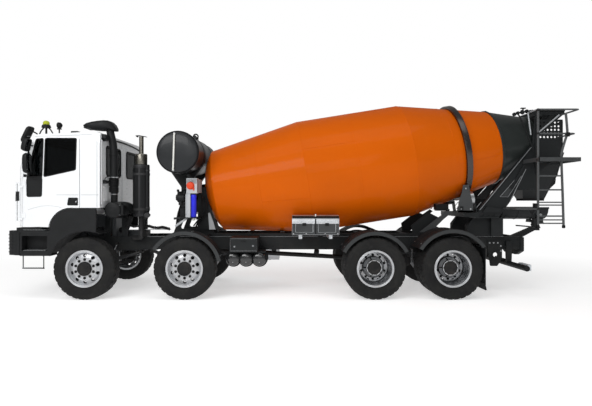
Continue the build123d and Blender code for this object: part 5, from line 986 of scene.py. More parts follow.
def interior():
    """What is behind the glass: the dashboard's face, dials, pedals and levers."""
    p = Piece("dash_trim", "cab", "cab_trim", TRIM, BLACK)
    p.use(TRIM)
    hood = [(-4.81, 2.10), (-4.79, 2.20), (-4.86, 2.25), (-4.95, 2.20), (-4.95, 2.10)]
    p.prism(hood, -0.82, -0.30, "y", 0.012)
    p.prism([(-4.81, 1.90), (-4.70, 1.92), (-4.68, 2.12), (-4.81, 2.17)], -0.16, 0.14, "y", 0.012)
    p.use(BLACK)
    dial = [(0, 0), (0.045, 0), (0.05, 0.006), (0.046, 0.012), (0.040, 0.004), (0, 0.004)]
    for y in (-0.68, -0.56, -0.44):
        p.lathe(dial, (-4.793, y, 2.165), (0.9, 0, 0.4), 20)
    for i in range(4):
        p.box((-4.684, -4.672), (-0.13 + 0.065 * i, -0.09 + 0.065 * i), (1.98, 2.01), 0.003)
    p.rod((-4.30, -0.22, 1.72), (-4.33, -0.24, 2.02), 0.012)
    knob = [(0, -0.03), (0.024, -0.02), (0.028, 0.0), (0.022, 0.022), (0, 0.028)]
    p.lathe(knob, (-4.333, -0.242, 2.03), UP, 16)
    for y in (-0.70, -0.56, -0.44):
        p.box((-4.90, -4.88), (y - 0.03, y + 0.03), (1.74, 1.82), 0.006)
    p.use(TRIM)
    p.box((-4.36, -3.75), (-0.27, -0.20), (1.712, 1.90), 0.02)
    p.box((-3.70, -3.60), (-1.10, 1.10), (1.715, 1.86), 0.012)
    p.done(40)


for side, out in SIDES:
    door_trim(side, out)
    mirrors(side, out)
    seat(side, out * 0.56)
cab_front()
roof_pieces()
cab_rear()
cab_sides()
interior()

# Behind the cab: exhaust, air intake, water tank and controls

def band(p, origin, axis, radius, width, rise, sides=40):
    """A flat band round a pipe."""
    soft = min(width, rise) * 0.25
    profile = [(radius - 0.002, 0), (radius + rise - soft, 0), (radius + rise, soft),
               (radius + rise, width - soft), (radius + rise - soft, width), (radius - 0.002, width)]
    p.lathe(profile, origin, axis, sides)


def exhaust():
    """The muffler with heat shields, clamps, tail pipe, rain flap and bracket, and a rippled air hose."""
    x, y = -2.950, -0.640
    p = Piece("exhaust_set", "chassis", "exhaust_steel", MUFFLER, TAIL_STEEL, BLACK, SOOT)
    body = [(0, 1.480), (0.118, 1.481), (0.140, 1.490), (0.150, 1.506), (0.150, 1.524), (0.1455, 1.528),
            (0.1455, 2.424), (0.150, 2.428), (0.150, 2.450), (0.142, 2.466), (0.112, 2.474), (0, 2.475)]
    p.use(MUFFLER).lathe(body, (x, y, 0), UP, 56)
    p.use(BLACK)
    for first, last in ((184, 262), (278, 352)):
        rows = []
        for k in range(23):
            row = []
            for i in range(15):
                a = math.radians(first + (last - first) * i / 14)
                pressed = i in (0, 1, 13, 14) or k in (0, 1, 21, 22) or i % 4 == 2
                r = 0.1585 if pressed else 0.155
                row.append((x + r * math.cos(a), y + r * math.sin(a), 1.545 + 0.862 * k / 22))
            rows.append(row)
        p.grid(rows)
    p.use(SOOT)
    for z in (1.60, 2.27):
        band(p, (x, y, z), UP, 0.1455, 0.045, 0.014)
        p.bolt((x + 0.02, y - 0.161, z + 0.022), (0, -1, 0), 0.009)
    p.use(TAIL_STEEL)
    neck = [
        (0.098, 2.470), (0.108, 2.476), (0.110, 2.484), (0.110, 2.668), (0.104, 2.680), (0.060, 2.684),
        (0.043, 2.686)
    ]
    p.lathe(neck, (x, y, 0), UP, 48)
    p.lathe([(0.042, 2.684), (0.042, 3.014), (0.038, 3.016), (0.037, 2.90)], (x, y, 0), UP, 32)
    p.use(SOOT)
    band(p, (x, y, 2.470), UP, 0.108, 0.012, 0.006)
    p.lathe([(0, 2.88), (0.037, 2.88)], (x, y, 0), UP, 24)
    flap = [
        (-0.098, 3.036), (-0.030, 3.040), (0.098, 3.016), (0.098, 3.008), (-0.03, 3.030), (-0.098, 3.026)
    ]
    p.prism([(x + dx, z) for dx, z in flap], y - 0.048, y + 0.048, "y", 0.003)
    p.rod((x - 0.080, y - 0.036, 3.018), (x - 0.080, y + 0.036, 3.018), 0.012)
    px, py = x + 0.132, y - 0.060
    p.use(BLACK).rod((px, py, 1.572), (px, py, 2.474), 0.044, 32, 0.3)
    p.use(SOOT)
    for z in (1.64, 2.35):
        band(p, (px, py, z), UP, 0.044, 0.026, 0.005, 28)
    p.box((x - 0.05, x + 0.05), (y - 0.015, -0.385), (1.424, 1.508), 0.008)
    bracket = [(-0.115, 1.50), (0.065, 1.50), (0.055, 1.30), (0.095, 1.10), (-0.085, 1.10), (-0.11, 1.26)]
    p.prism([(x + dx, z) for dx, z in bracket], -0.462, -0.448, "y", 0.003)
    p.box((x - 0.045, x + 0.045), (-0.440, -0.385), (1.09, 1.49), 0.006)
    p.bolts([(x + dx, -0.462, z) for z in (1.12, 1.17) for dx in (-0.05, 0.02)], (0, -1, 0), 0.010)
    bellows = [(0.057 if i % 2 else 0.050, 1.185 + 0.297 * i / 30) for i in range(31)]
    p.lathe(bellows, (x, y, 0), UP, 28)
    p.tube([(x, y, 1.20), (x, y, 1.13), (x - 0.05, y + 0.08, 1.08), (x - 0.20, y + 0.18, 1.06)], 0.050, 20)
    cap = [(0, 0), (0.046, 0), (0.052, 0.008), (0.052, 0.05), (0.046, 0.058), (0, 0.058)]
    p.lathe(cap, (px + 0.012, py - 0.026, 1.512), (0, -1, 0), 24)
    p.rod((px + 0.01, py, 1.512), (px + 0.01, y + 0.02, 1.512), 0.030)
    p.done(35, "exhaust")

    hose = Piece("air_hose_wavy", "chassis", "black_plastic", RUBBER, STEEL)
    points = [Vector(at) for at in (
        (-2.905, -0.60, 1.262), (-2.82, -0.60, 1.300), (-2.74, -0.60, 1.272), (-2.64, -0.60, 1.262),
        (-2.56, -0.60, 1.276), (-2.50, -0.59, 1.262), (-2.42, -0.56, 1.235))]
    hose.use(RUBBER).tube(points, 0.018, 12, 8)
    for start, end in zip(points, points[1:]):
        for k in range(3):
            at = start.lerp(end, (k + 0.5) / 3)
            band(hose, at - Vector((0.010, 0, 0)), (1, 0, 0), 0.018, 0.020, 0.011, 16)
    hose.use(STEEL)
    for at in (points[1], points[4]):
        hose.box(
            (at.x - 0.012, at.x + 0.012), (at.y + 0.005, at.y + 0.05), (at.z - 0.035, at.z + 0.018), 0.003
        )
    hose.box((-2.95, -2.40), (-0.570, -0.552), (1.222, 1.236), 0.002)
    hose.done(40)


INTAKE_X = -3.397
INTAKE_Y = -0.860
SNORKEL_HEAD = [
    # x, middle height, half height, half width
    (-3.9235, 3.170, 0.006, 0.100), (-3.905, 3.174, 0.026, 0.150), (-3.850, 3.179, 0.054, 0.180),
    (-3.760, 3.183, 0.074, 0.190), (-3.650, 3.187, 0.088, 0.192), (-3.550, 3.190, 0.094, 0.188),
    (-3.475, 3.188, 0.092, 0.172), (-3.420, 3.176, 0.084, 0.150), (-3.375, 3.152, 0.066, 0.124),
    (-3.340, 3.122, 0.036, 0.090), (-3.325, 3.104, 0.010, 0.050),
]


def snorkel():
    """The raised air intake: head with slats and seam, pipe, bellows, clamps and brackets on the cab."""
    y = INTAKE_Y
    p = Piece("snorkel_set", "cab", "black_plastic", BLACK, RUBBER, STEEL, DARK)
    form = bmesh.new()
    rings = []
    for x, mid, half, wide in SNORKEL_HEAD:
        line = []
        for k in range(36):
            c, s = math.cos(2 * math.pi * k / 36), math.sin(2 * math.pi * k / 36)
            line.append(form.verts.new((x, y + wide * squared(c, 0.55), mid + half * squared(s, 0.75))))
        rings.append(line)
    stitch(form, rings)
    form.faces.new(rings[0])
    form.faces.new(rings[-1][::-1])
    p.use(BLACK).take(form)
    p.use(RUBBER)
    for i in range(9):
        at = y - 0.144 + 0.036 * i
        p.box((-3.900, -3.845), (at - 0.003, at + 0.003), (3.128, 3.146 + 0.004 * (4 - abs(i - 4))), 0.001)
    p.use(BLACK)
    seam = []
    for i in range(12):
        turn = math.pi * min(1, 0.42 + 0.04 * i)
        seam.append((-3.88 + 0.036 * i, y - 0.188 * math.sin(turn) ** 0.4, 3.165))
    p.sweep(seam, 0.004, 6)
    pipe = ((-3.470, 3.135), (-3.458, 3.05), (-3.434, 2.95), (-3.412, 2.84), (-3.400, 2.70), (INTAKE_X, 2.50),
            (INTAKE_X, 2.30), (INTAKE_X, 2.190))
    p.tube([(x, y, z) for x, z in pipe], 0.070, 32, 5)
    p.lathe([(0.072, 0), (0.079, 0.006), (0.079, 0.034), (0.072, 0.04)], (INTAKE_X, y, 2.62), UP, 36)
    wave = [(0.070, 2.215)]
    for i in range(5):
        z = 2.205 - 0.030 * i
        wave += [(0.094, z), (0.096, z - 0.010), (0.084, z - 0.018), (0.084, z - 0.022)]
    wave += [(0.076, 2.052)]
    p.use(RUBBER).lathe(wave, (INTAKE_X, y, 0), UP, 36)
    p.use(STEEL)
    band(p, (INTAKE_X, y, 2.216), UP, 0.070, 0.014, 0.003, 32)
    p.box((-3.335, -3.310), (y - 0.045, y - 0.018), (2.213, 2.233), 0.003)
    p.use(DARK)
    p.box((-3.524, -3.455), (y - 0.255, y - 0.045), (2.930, 3.000), 0.010)
    p.box((-3.524, -3.450), (y - 0.20, y - 0.155), (2.880, 2.932), 0.006)
    p.box((-3.50, -3.42), (y - 0.075, y + 0.075), (2.925, 2.955), 0.004)
    p.prism(
        [(-3.524, 2.17), (-3.524, 2.10), (-3.470, 2.115), (-3.462, 2.155)], y - 0.205, y - 0.060, "y", 0.004
    )
    p.tube([(-3.505, y - 0.15, 2.12), (-3.485, y - 0.19, 2.20), (-3.455, y - 0.12, 2.235)], 0.008, 10)
    band(p, (INTAKE_X, y, 2.235), UP, 0.070, 0.022, 0.006, 32)
    p.done(40, "snorkel")


def air_filter():
    """The air filter's drum with cover clips and straps, its outlet, and the bellows up to the snorkel."""
    x, z, y = -3.358, 1.614, INTAKE_Y
    p = Piece("air_filter_set", "chassis", "black_plastic", BLACK, RUBBER, STEEL, DARK, IRON)
    p.use(BLACK)
    drum = [(0, -0.004), (0.118, -0.004), (0.126, 0.001), (0.134, 0.004), (0.146, 0.014), (0.152, 0.030),
            (0.152, 0.062), (0.1475, 0.066), (0.1475, 0.072), (0.151, 0.076), (0.151, 0.70),
            (0.140, 0.726), (0.110, 0.736), (0, 0.738)]
    p.lathe(drum, (x, -1.058, z), (0, 1, 0), 56)
    for radius in (0.060, 0.098):
        p.lathe(
            [(radius - 0.004, 0), (radius, 0.004), (radius + 0.004, 0)], (x, -1.0615, z), (0, -1, 0), 40
        )
    for at in (-0.85, -0.62, -0.46):
        band(p, (x, at, z), (0, 1, 0), 0.151, 0.018, 0.0045, 48)
    p.use(STEEL)
    for angle in (35, 145, 215, 325):
        c, s = math.cos(math.radians(angle)), math.sin(math.radians(angle))
        p.rod((x + 0.155 * c, -1.035, z + 0.155 * s), (x + 0.157 * c, -0.965, z + 0.157 * s), 0.0055, 8)
    p.use(BLACK)
    outlet = [
        (x + 0.10, -0.80, z + 0.06), (x + 0.16, -0.74, z + 0.075), (x + 0.20, -0.60, z + 0.03),
        (x + 0.202, -0.44, z - 0.06)
    ]
    p.tube(outlet, 0.075, 24)
    p.box((x + 0.02, x + 0.19), (-1.02, -0.72), (z - 0.09, z + 0.085), 0.045)
    p.lathe([(0.062, 1.70), (0.062, 1.92), (0.070, 1.935), (0.074, 1.945)], (-3.388, y, 0), UP, 32)
    wave = [(0.072, 1.940)]
    for i in range(3):
        h = 1.950 + 0.032 * i
        wave += [(0.086, h), (0.090, h + 0.012), (0.082, h + 0.022), (0.080, h + 0.026)]
    wave += [(0.076, 2.0495), (0.066, 2.0495), (0.062, 1.95)]
    p.use(RUBBER).lathe(wave, (INTAKE_X, y, 0), UP, 36)
    p.use(STEEL)
    band(p, (-3.390, y, 1.900), UP, 0.062, 0.014, 0.004, 28)
    p.use(DARK)
    p.box((x - 0.04, x + 0.08), (-0.76, -0.445), (z - 0.158, z - 0.147), 0.003)
    p.box((x - 0.04, x + 0.08), (-0.440, -0.385), (1.088, z - 0.10), 0.004)
    for at in (-0.70, -0.56):
        band(p, (x, at, z), (0, 1, 0), 0.1515, 0.030, 0.003, 48)
    p.rod((x - 0.005, -0.97, z - 0.150), (x + 0.005, -0.97, z - 0.30), 0.011)
    p.bolts([(x + 0.02, -0.440, h) for h in (1.15, 1.21, 1.32)], (0, -1, 0), 0.010)
    p.use(IRON)
    elbow = ((0.16, -0.50, 1.50), (0.10, -0.46, 1.36), (0.02, -0.36, 1.24), (-0.12, -0.24, 1.20))
    p.tube([(x + dx, y, z) for dx, y, z in elbow], 0.055, 18)
    p.done(38, "air_filter")


def water_tank():
    """The water tank with its end rims, bands, lifting lug, sight gauge, filler cap and outlet hose."""
    x, z = -2.155, 2.680
    radius, half_length, band_y = 0.3875, 1.100, 0.46
    p = Piece("water_tank_set", "chassis", "tank_paint", TANK, RUBBER, PALE, GREY, STEEL)
    end = [(0, 0.0), (0.16, -0.003), (0.28, -0.012), (0.348, -0.026), (0.366, -0.034), (0.372, -0.046),
           (0.3725, -0.058), (0.378, -0.062), (0.392, -0.050), (0.394, -0.056), (0.394, -0.076),
           (0.388, -0.082), (0.3875, -0.16)]
    half = [(a, half_length + b) for a, b in end] + [
        (radius, 0.36), (0.3905, 0.352), (0.3905, 0.345), (radius, 0.337)
    ]
    p.use(TANK).lathe(half + [(a, -b) for a, b in reversed(half)], (x, 0, z), (0, 1, 0), 88)
    for out in (-1, 1):
        p.use(RUBBER).lathe(
            [(0.374, 0), (0.381, 0.003), (0.388, 0.0)], (x, out * 1.048, z), (0, out, 0), 72
        )
        band(p, (x, out * band_y - 0.040, z), (0, 1, 0), radius, 0.080, 0.004, 72)
        p.use(TANK)
        band(p, (x, out * band_y - 0.032, z), (0, 1, 0), 0.390, 0.064, 0.006, 72)
    lug_y = -0.70
    lug = [
        (-1.985, 2.955), (-1.885, 2.885), (-1.868, 2.900), (-1.862, 2.990), (-1.89, 3.030), (-1.93, 3.030)
    ]
    p.use(TANK).prism(lug, lug_y - 0.008, lug_y + 0.008, "y", 0.002)
    turns = [2 * math.pi * i / 10 for i in range(10)]
    eye = [(0.044 + 0.014 * math.cos(a), 0.014 * math.sin(a)) for a in turns]
    p.use(RUBBER).lathe(eye, (-1.893, lug_y, 3.010), (0, 1, 0), 28, closed=True)
    gauge = [Vector(at) for at in ((-2.203, -1.112, 3.012), (-2.207, -1.116, 2.90), (-2.214, -1.116, 2.66),
                                   (-2.222, -1.116, 2.42), (-2.225, -1.112, 2.342))]
    p.use(PALE).tube(gauge, 0.0155, 14)
    p.use(STEEL)
    for at in (gauge[0], gauge[-1]):
        p.rod(at + Vector((0, 0.050, 0)), at + Vector((0, -0.004, 0)), 0.020)
    p.use(RUBBER)
    for at in gauge[1:-1]:
        p.box((at.x - 0.022, at.x + 0.022), (-1.108, -1.094), (at.z - 0.010, at.z + 0.010), 0.003)
    filler = [(0.110, 3.04), (0.110, 3.096), (0.118, 3.098), (0.118, 3.108), (0.108, 3.113), (0, 3.114)]
    p.use(TANK).lathe(filler, (x, 0.300, 0), UP, 36)
    p.use(STEEL).rod((x - 0.115, 0.26, 3.104), (x - 0.115, 0.34, 3.104), 0.010)
    p.box((x + 0.098, x + 0.122), (0.285, 0.315), (3.075, 3.110), 0.003)
    p.use(GREY).rod((x + 0.02, -0.20, 3.062), (x + 0.02, -0.20, 3.105), 0.035, 20)
    p.use(TANK).rod((x + 0.10, -0.62, 2.300), (x + 0.14, -0.62, 2.225), 0.045, 20)
    outlet = [
        (x + 0.13, -0.62, 2.25), (x + 0.16, -0.64, 2.14), (x + 0.12, -0.72, 2.02), (x + 0.02, -0.80, 1.94)
    ]
    p.use(RUBBER).tube(outlet, 0.030, 16)
    p.done(30, "water_tank")


def controls():
    """The control box with its knob, pump and valves on their tray, and the blue filter tube."""
    p = Piece(
        "control_set", "chassis", "control_grey", GREY, DARK, KNOB_RED, BLACK, STEEL, LIGHT)
    y = -0.97
    p.use(DARK)
    p.box((-2.226, -1.804), (-1.056, -0.505), (1.462, 1.478), 0.003)
    for x in (-2.220, -1.810):
        p.box((x - 0.006, x + 0.006), (-1.056, -0.505), (1.440, 1.466), 0.003)
    p.box((-2.21, -2.10), (-0.618, -0.502), (1.442, 1.638), 0.006)
    p.use(LIGHT)
    p.box((-1.993, -1.798), (-1.058, -0.925), (1.922, 2.198), 0.012)
    p.box((-1.988, -1.803), (-0.925, -0.56), (1.935, 2.188), 0.010)
    p.prism(
        [(-2.004, 1.470), (-1.926, 1.470), (-1.926, 1.924), (-2.004, 1.924)], -1.038, -0.962, "y", 0.008
    )
    p.box((-2.012, -1.995), (-1.045, -0.955), (1.470, 1.90), 0.003)
    p.use(GREY)
    p.box((-1.985, -1.806), (-1.0615, -1.056), (2.10, 2.188), 0.002)
    p.box((-1.80, -1.7965), (-1.05, -0.93), (1.94, 2.18), 0.001)
    p.use(STEEL)
    p.rod((-1.905, -1.062, 2.150), (-1.905, -1.095, 2.150), 0.013)
    p.tube([(-1.905, -1.09, 2.150), (-1.895, -1.10, 2.165), (-1.872, -1.104, 2.176)], 0.007, 10)
    p.bolts([(x, -1.058, z) for x in (-1.980, -1.812) for z in (2.185, 1.935)], (0, -1, 0), 0.005)
    p.use(KNOB_RED)
    knob = [
        (0, 0.046), (0.030, 0.046), (0.058, 0.038), (0.067, 0.020), (0.066, 0.006), (0.052, 0.0), (0, 0.0)
    ]
    p.lathe(knob, (-1.918, -1.059, 2.062), (0, -1, 0), 10)
    p.lathe([(0, 0.010), (0.072, 0.010), (0.072, 0.0), (0, 0)], (-1.918, -1.058, 2.062), (0, -1, 0), 32)
    p.box((-1.870, -1.846), (-1.072, -1.058), (1.975, 2.03), 0.003)
    p.use(BLACK)
    p.rod((-2.165, y, 1.840), (-2.045, y, 1.840), 0.075, 24)
    p.rod((-2.198, y, 1.845), (-2.150, y, 1.845), 0.058, 20)
    p.rod((-2.140, y, 1.90), (-2.168, -0.975, 1.975), 0.022)
    p.rod((-2.185, -0.98, 1.975), (-2.145, -0.98, 1.975), 0.022)
    p.rod((-2.070, y, 1.88), (-2.035, y, 1.965), 0.026)
    p.rod((-2.120, y, 1.79), (-2.115, y, 1.705), 0.040)
    p.box((-2.10, -1.96), (-1.0, -0.95), (1.80, 1.87), 0.006)
    for x in (-2.17, -2.09, -2.05):
        band(p, (x, y, 1.840), (1, 0, 0), 0.072, 0.012, 0.008, 24)
    p.use(STEEL).bolts(round_axis((-2.199, y, 1.845), (-1, 0, 0), 0.042, 6), (-1, 0, 0), 0.007)
    p.use(DARK).box((-1.93, -1.82), (-1.03, -0.97), (1.875, 1.925), 0.006)
    brace = [(-2.222, 1.330), (-2.20, 1.300), (-1.985, 1.452), (-2.005, 1.480)]
    p.use(LIGHT).prism(brace, -1.010, -0.960, "y", 0.004)
    p.done(35, "control_panel")

    tube = Piece("filter_tube", "chassis", "control_grey", BLUE, PALE)
    glass = [(0, 1.4805), (0.040, 1.4805), (0.046, 1.490), (0.048, 1.50), (0.048, 1.84), (0.052, 1.842),
             (0.052, 1.888), (0.046, 1.898), (0, 1.900)]
    tube.use(BLUE).lathe(glass, (-1.870, -1.0, 0), UP, 40)
    foot = [
        (0, 1.420), (0.016, 1.420), (0.026, 1.428), (0.032, 1.444), (0.032, 1.468), (0.024, 1.480),
        (0, 1.480)
    ]
    tube.use(PALE).lathe(foot, (-1.870, -1.0, 0), UP, 28)
    tube.done(35)


def pedestal_struts():
    """The braces at the front stand, the gearbox's bolts, and the hoses on the gearbox and its motor."""
    p = Piece("pedestal_braces", "chassis", "control_grey", LIGHT, DARK, RUBBER, STEEL)
    wedge = [(-1.690, 1.545), (-1.655, 1.555), (-1.585, 1.37), (-1.545, 1.225), (-1.665, 1.225)]
    p.use(LIGHT).prism(wedge, -0.520, -0.508, "y", 0.003)
    p.use(DARK)
    p.prism([(-1.705, 1.70), (-1.665, 1.71), (-1.46, 1.20), (-1.50, 1.18)], -0.545, -0.505, "y", 0.003)
    side_plate = [(-1.90, 2.05), (-1.70, 2.05), (-1.62, 1.55), (-1.66, 1.22), (-1.90, 1.22)]
    p.prism(side_plate, -0.470, -0.455, "y", 0.003)
    p.use(RUBBER)
    for i, (y, z) in enumerate(((-0.36, 1.90), (-0.30, 1.83), (-0.24, 1.76))):
        hose = [
            (-1.98, y, z), (-2.16, y - 0.02, z - 0.03), (-2.30, y - 0.01, 1.55 - 0.03 * i),
            (-2.36, -0.30 + 0.05 * i, 1.22)
        ]
        p.tube(hose, 0.020, 12)
    supply = [(-1.75, -0.60, 1.86), (-1.70, -0.66, 1.70), (-1.74, -0.64, 1.52), (-1.86, -0.58, 1.38),
              (-1.95, -0.50, 1.24)]
    p.tube(supply, 0.018, 12)
    drain = [(-1.80, -0.62, 1.90), (-1.77, -0.70, 1.72), (-1.80, -0.72, 1.50), (-1.95, -0.62, 1.30)]
    p.tube(drain, 0.014, 12)
    p.use(STEEL).bolts([on_drum(-1.47, 0.205, 30 * k) for k in range(12)], -DRUM_AXIS, 0.013)
    p.done(35)


exhaust()
snorkel()
air_filter()
water_tank()
controls()
pedestal_struts()

# Drum: seams, manhole, the black neck with its blades, and the track ring


def shell_radius(s):
    """The drum shell's radius at a distance along its axis."""
    table = [
        (-1.128, 0.814), (0.635, 1.130), (2.660, 1.130), (4.410, 0.742), (5.060, 0.550), (5.250, 0.500)
    ]
    for (s0, r0), (s1, r1) in zip(table, table[1:]):
        if s <= s1:
            return r0 + (r1 - r0) * (s - s0) / (s1 - s0)
    return 0.5


def drum_trim():
    """The shell's weld seams and manhole cover, then the neck with its mouth, blades and track ring."""
    p = Piece("drum_seams", "drum", "drum_orange", ORANGE, STEEL)
    p.use(ORANGE)
    for s in (-1.118, -0.26, 0.637, 1.62, 2.658, 3.45, 4.385):
        r = shell_radius(s)
        weld = [
            (r - 0.002, -0.007), (r + 0.0015, -0.004), (r + 0.0022, 0), (r + 0.0015, 0.004),
            (r - 0.002, 0.007)
        ]
        p.lathe(weld, DRUM_FOOT + DRUM_AXIS * s, DRUM_AXIS, 120)
    courses = ((-1.10, -0.27), (-0.25, 0.62), (0.65, 1.61), (1.63, 2.65), (2.67, 3.44), (3.46, 4.38))
    for i, (s0, s1) in enumerate(courses):
        for angle in (20 + 47 * i, 200 + 47 * i):
            stations = [s0 + (s1 - s0) * k / 6 for k in range(7)]
            p.sweep([on_drum(s, shell_radius(s) + 0.0006, angle) for s in stations], 0.003, 6)

    def patch(s0, s1, a0, a1, lift, power=0.7, count=28):
        """A raised cover with rounded corners that follows the shell."""
        mid_s, half_s, mid_a, half_a = (s0 + s1) / 2, (s1 - s0) / 2, (a0 + a1) / 2, (a1 - a0) / 2
        rows = []
        for share, rise in ((0.0, lift), (0.55, lift), (0.93, lift), (1.0, lift * 0.7), (1.0, -0.004)):
            row = []
            for k in range(count + 1):
                t = 2 * math.pi * k / count
                s = mid_s + half_s * share * squared(math.cos(t), power)
                a = mid_a + half_a * share * squared(math.sin(t), power)
                row.append(on_drum(s, shell_radius(s) + rise, a))
            rows.append(row)
        p.grid(rows)

    patch(1.25, 1.85, 62, 88, 0.010)
    patch(1.31, 1.79, 64.5, 85.5, 0.026)
    p.use(STEEL)
    for k in range(12):
        t = 2 * math.pi * k / 12
        s, a = 1.55 + 0.268 * math.cos(t), 75 + 11.6 * math.sin(t)
        at = on_drum(s, 1.141, a)
        p.bolt(at, at - on_drum(s, 1.0, a), 0.012)
    p.bolts([on_drum(-1.385, 0.150, 30 * k) for k in range(12)], -DRUM_AXIS, 0.014)
    p.use(ORANGE)
    for s in (1.43, 1.67):
        handle = ((1.15, 70), (1.195, 71), (1.195, 79), (1.15, 80))
        p.tube([on_drum(s, radius, a) for radius, a in handle], 0.008, 10)
    p.done(30)

    neck = Piece("drum_neck_set", "drum", "dark_paint", NECK, RING_STEEL, STEEL)
    profile = [(0.742, 4.410), (0.752, 4.411), (0.756, 4.417), (0.756, 4.440), (0.752, 4.448),
               (0.731, 4.460), (0.640, 4.755), (0.550, 5.060), (0.5035, 5.226), (0.512, 5.230),
               (0.514, 5.236), (0.514, 5.246), (0.510, 5.250), (0.490, 5.250), (0.488, 5.246),
               (0.538, 5.058), (0.628, 4.752), (0.730, 4.412)]
    neck.use(NECK).lathe(profile, DRUM_FOOT, DRUM_AXIS, 128, closed=True)
    low, high = shell_radius(3.635) + 0.0003, shell_radius(3.745) + 0.0003
    track = [(low, 3.635), (0.962, 3.635), (0.9685, 3.638), (0.970, 3.643), (0.970, 3.737), (0.9685, 3.742),
             (0.962, 3.745), (high, 3.745)]
    neck.use(RING_STEEL).lathe(track, DRUM_FOOT, DRUM_AXIS, 144, closed=True)
    neck.use(NECK)
    for first in (0, 180):
        inner, outer = [], []
        for k in range(57):
            t = k / 56
            s = 5.225 - 1.15 * t
            wall = shell_radius(s) - 0.016
            depth = 0.19 * min(1.0, 0.25 + t * 3)
            angle = first + 330 * t
            outer.append(on_drum(s, wall, angle))
            inner.append(on_drum(s - 0.03, wall - depth, angle))
        neck.grid([outer, inner])
        neck.sweep(inner, 0.008, 6)
    for k in range(24):
        at = on_drum(4.4425, 0.7555, 15 * k)
        neck.bolt(at, at - on_drum(4.4425, 0.6, 15 * k), 0.008)
    neck.done(30, "drum_neck")


# Rear stand, hoppers, ladder and chute

def rear_stand():
    """On the rear stand's side plates: painted highlights along the flange edges and round the opening,
    gussets, roller brackets, bolts and cross pieces.
    """
    p = Piece("rear_stand_trim", "chassis", "dark_paint", DARK, PLATE, EDGE_HIGHLIGHT_AND_TREAD, RUBBER, STEEL, BLACK)
    edges = (
        ((3.560, 1.606), (4.565, 2.832)), ((4.150, 1.757), (4.466, 2.400)), ((3.500, 1.655), (3.585, 1.76))
    )
    opening = ((3.965, 1.865), (4.340, 2.292), (4.378, 2.266), (4.118, 1.857), (3.965, 1.865))
    gusset = [(3.93, 1.83), (4.30, 2.22), (4.36, 2.30), (4.42, 2.27), (4.15, 1.82)]
    bracket = [
        (3.10, 1.565), (3.39, 1.565), (3.385, 1.72), (3.33, 1.95), (3.31, 2.085), (3.20, 2.085),
        (3.17, 1.93), (3.11, 1.75)
    ]
    bracket_foot = [(3.10, 1.565), (3.39, 1.565), (3.39, 1.600), (3.10, 1.600)]
    stay = [(2.40, 1.18), (2.78, 1.475), (2.955, 1.60), (3.02, 1.555), (2.86, 1.42), (2.62, 1.18)]
    # Dark plates: outline, near and far distance from the truck's middle, and bevel
    plates = (
        ([(3.62, 1.56), (3.95, 1.56), (3.99, 1.63), (3.70, 1.68)], 0.590, 0.626, 0.004),
        ([(3.80, 1.095), (3.80, 1.455), (4.03, 1.455), (4.03, 1.10)], 0.562, 0.578, 0.003),
        ([(4.15, 2.02), (4.19, 2.02), (4.45, 2.48), (4.42, 2.50)], 0.5905, 0.615, 0.003),
        ([(4.62, 2.55), (4.70, 2.55), (4.70, 3.42), (4.66, 3.42)], 0.5905, 0.604, 0.003),
    )
    for out in (-1, 1):
        face = out * 0.592
        # Light lines along the flanges and round the opening: painted highlights where these edges catch the
        # light.
        p.use(EDGE_HIGHLIGHT_AND_TREAD)
        for (x0, z0), (x1, z1) in edges:
            y = face + out * 0.030 if x0 < 4 else face
            p.sweep(line_of((x0, y, z0), ((x1 - x0) / 4, 0, (z1 - z0) / 4), 5), 0.0065, 6)
        p.sweep([(x, face, z) for x, z in opening], 0.0045, 6)
        p.use(PLATE)
        p.prism(gusset, out * 0.548, out * 0.556, "y", 0.002)
        p.prism(bracket, out * 0.728, out * 0.738, "y", 0.003)
        p.prism(bracket_foot, out * 0.600, out * 0.738, "y", 0.004)
        p.prism(stay, out * 0.596, out * 0.606, "y", 0.003)
        p.use(RUBBER).box((2.720, 2.965), across(out, 0.60, 0.46), (1.612, 1.722), 0.018)
        p.use(BLACK).box((3.14, 3.20), across(out, 0.745, 0.60), (1.60, 1.68), 0.010)
        bracket_bolts = [(x, out * 0.738, z) for x, z in ((3.16, 1.63), (3.34, 1.63), (3.25, 2.02))]
        p.use(STEEL).bolts(bracket_bolts, (0, out, 0), 0.012)
        p.use(DARK).bolts([(x, out * 0.630, 1.50) for x in (3.56, 3.66, 3.76, 3.86)], (0, out, 0), 0.012)
        for outline, near, far, bevel in plates:
            p.prism(outline, out * near, out * far, "y", bevel)
    for z in (1.58, 1.72):
        p.box((3.84, 3.98), (-0.56, 0.56), (z - 0.006, z + 0.006), 0.002)
    p.rod((4.60, -0.56, 2.515), (4.60, 0.56, 2.515), 0.030, 16)
    p.done(35)


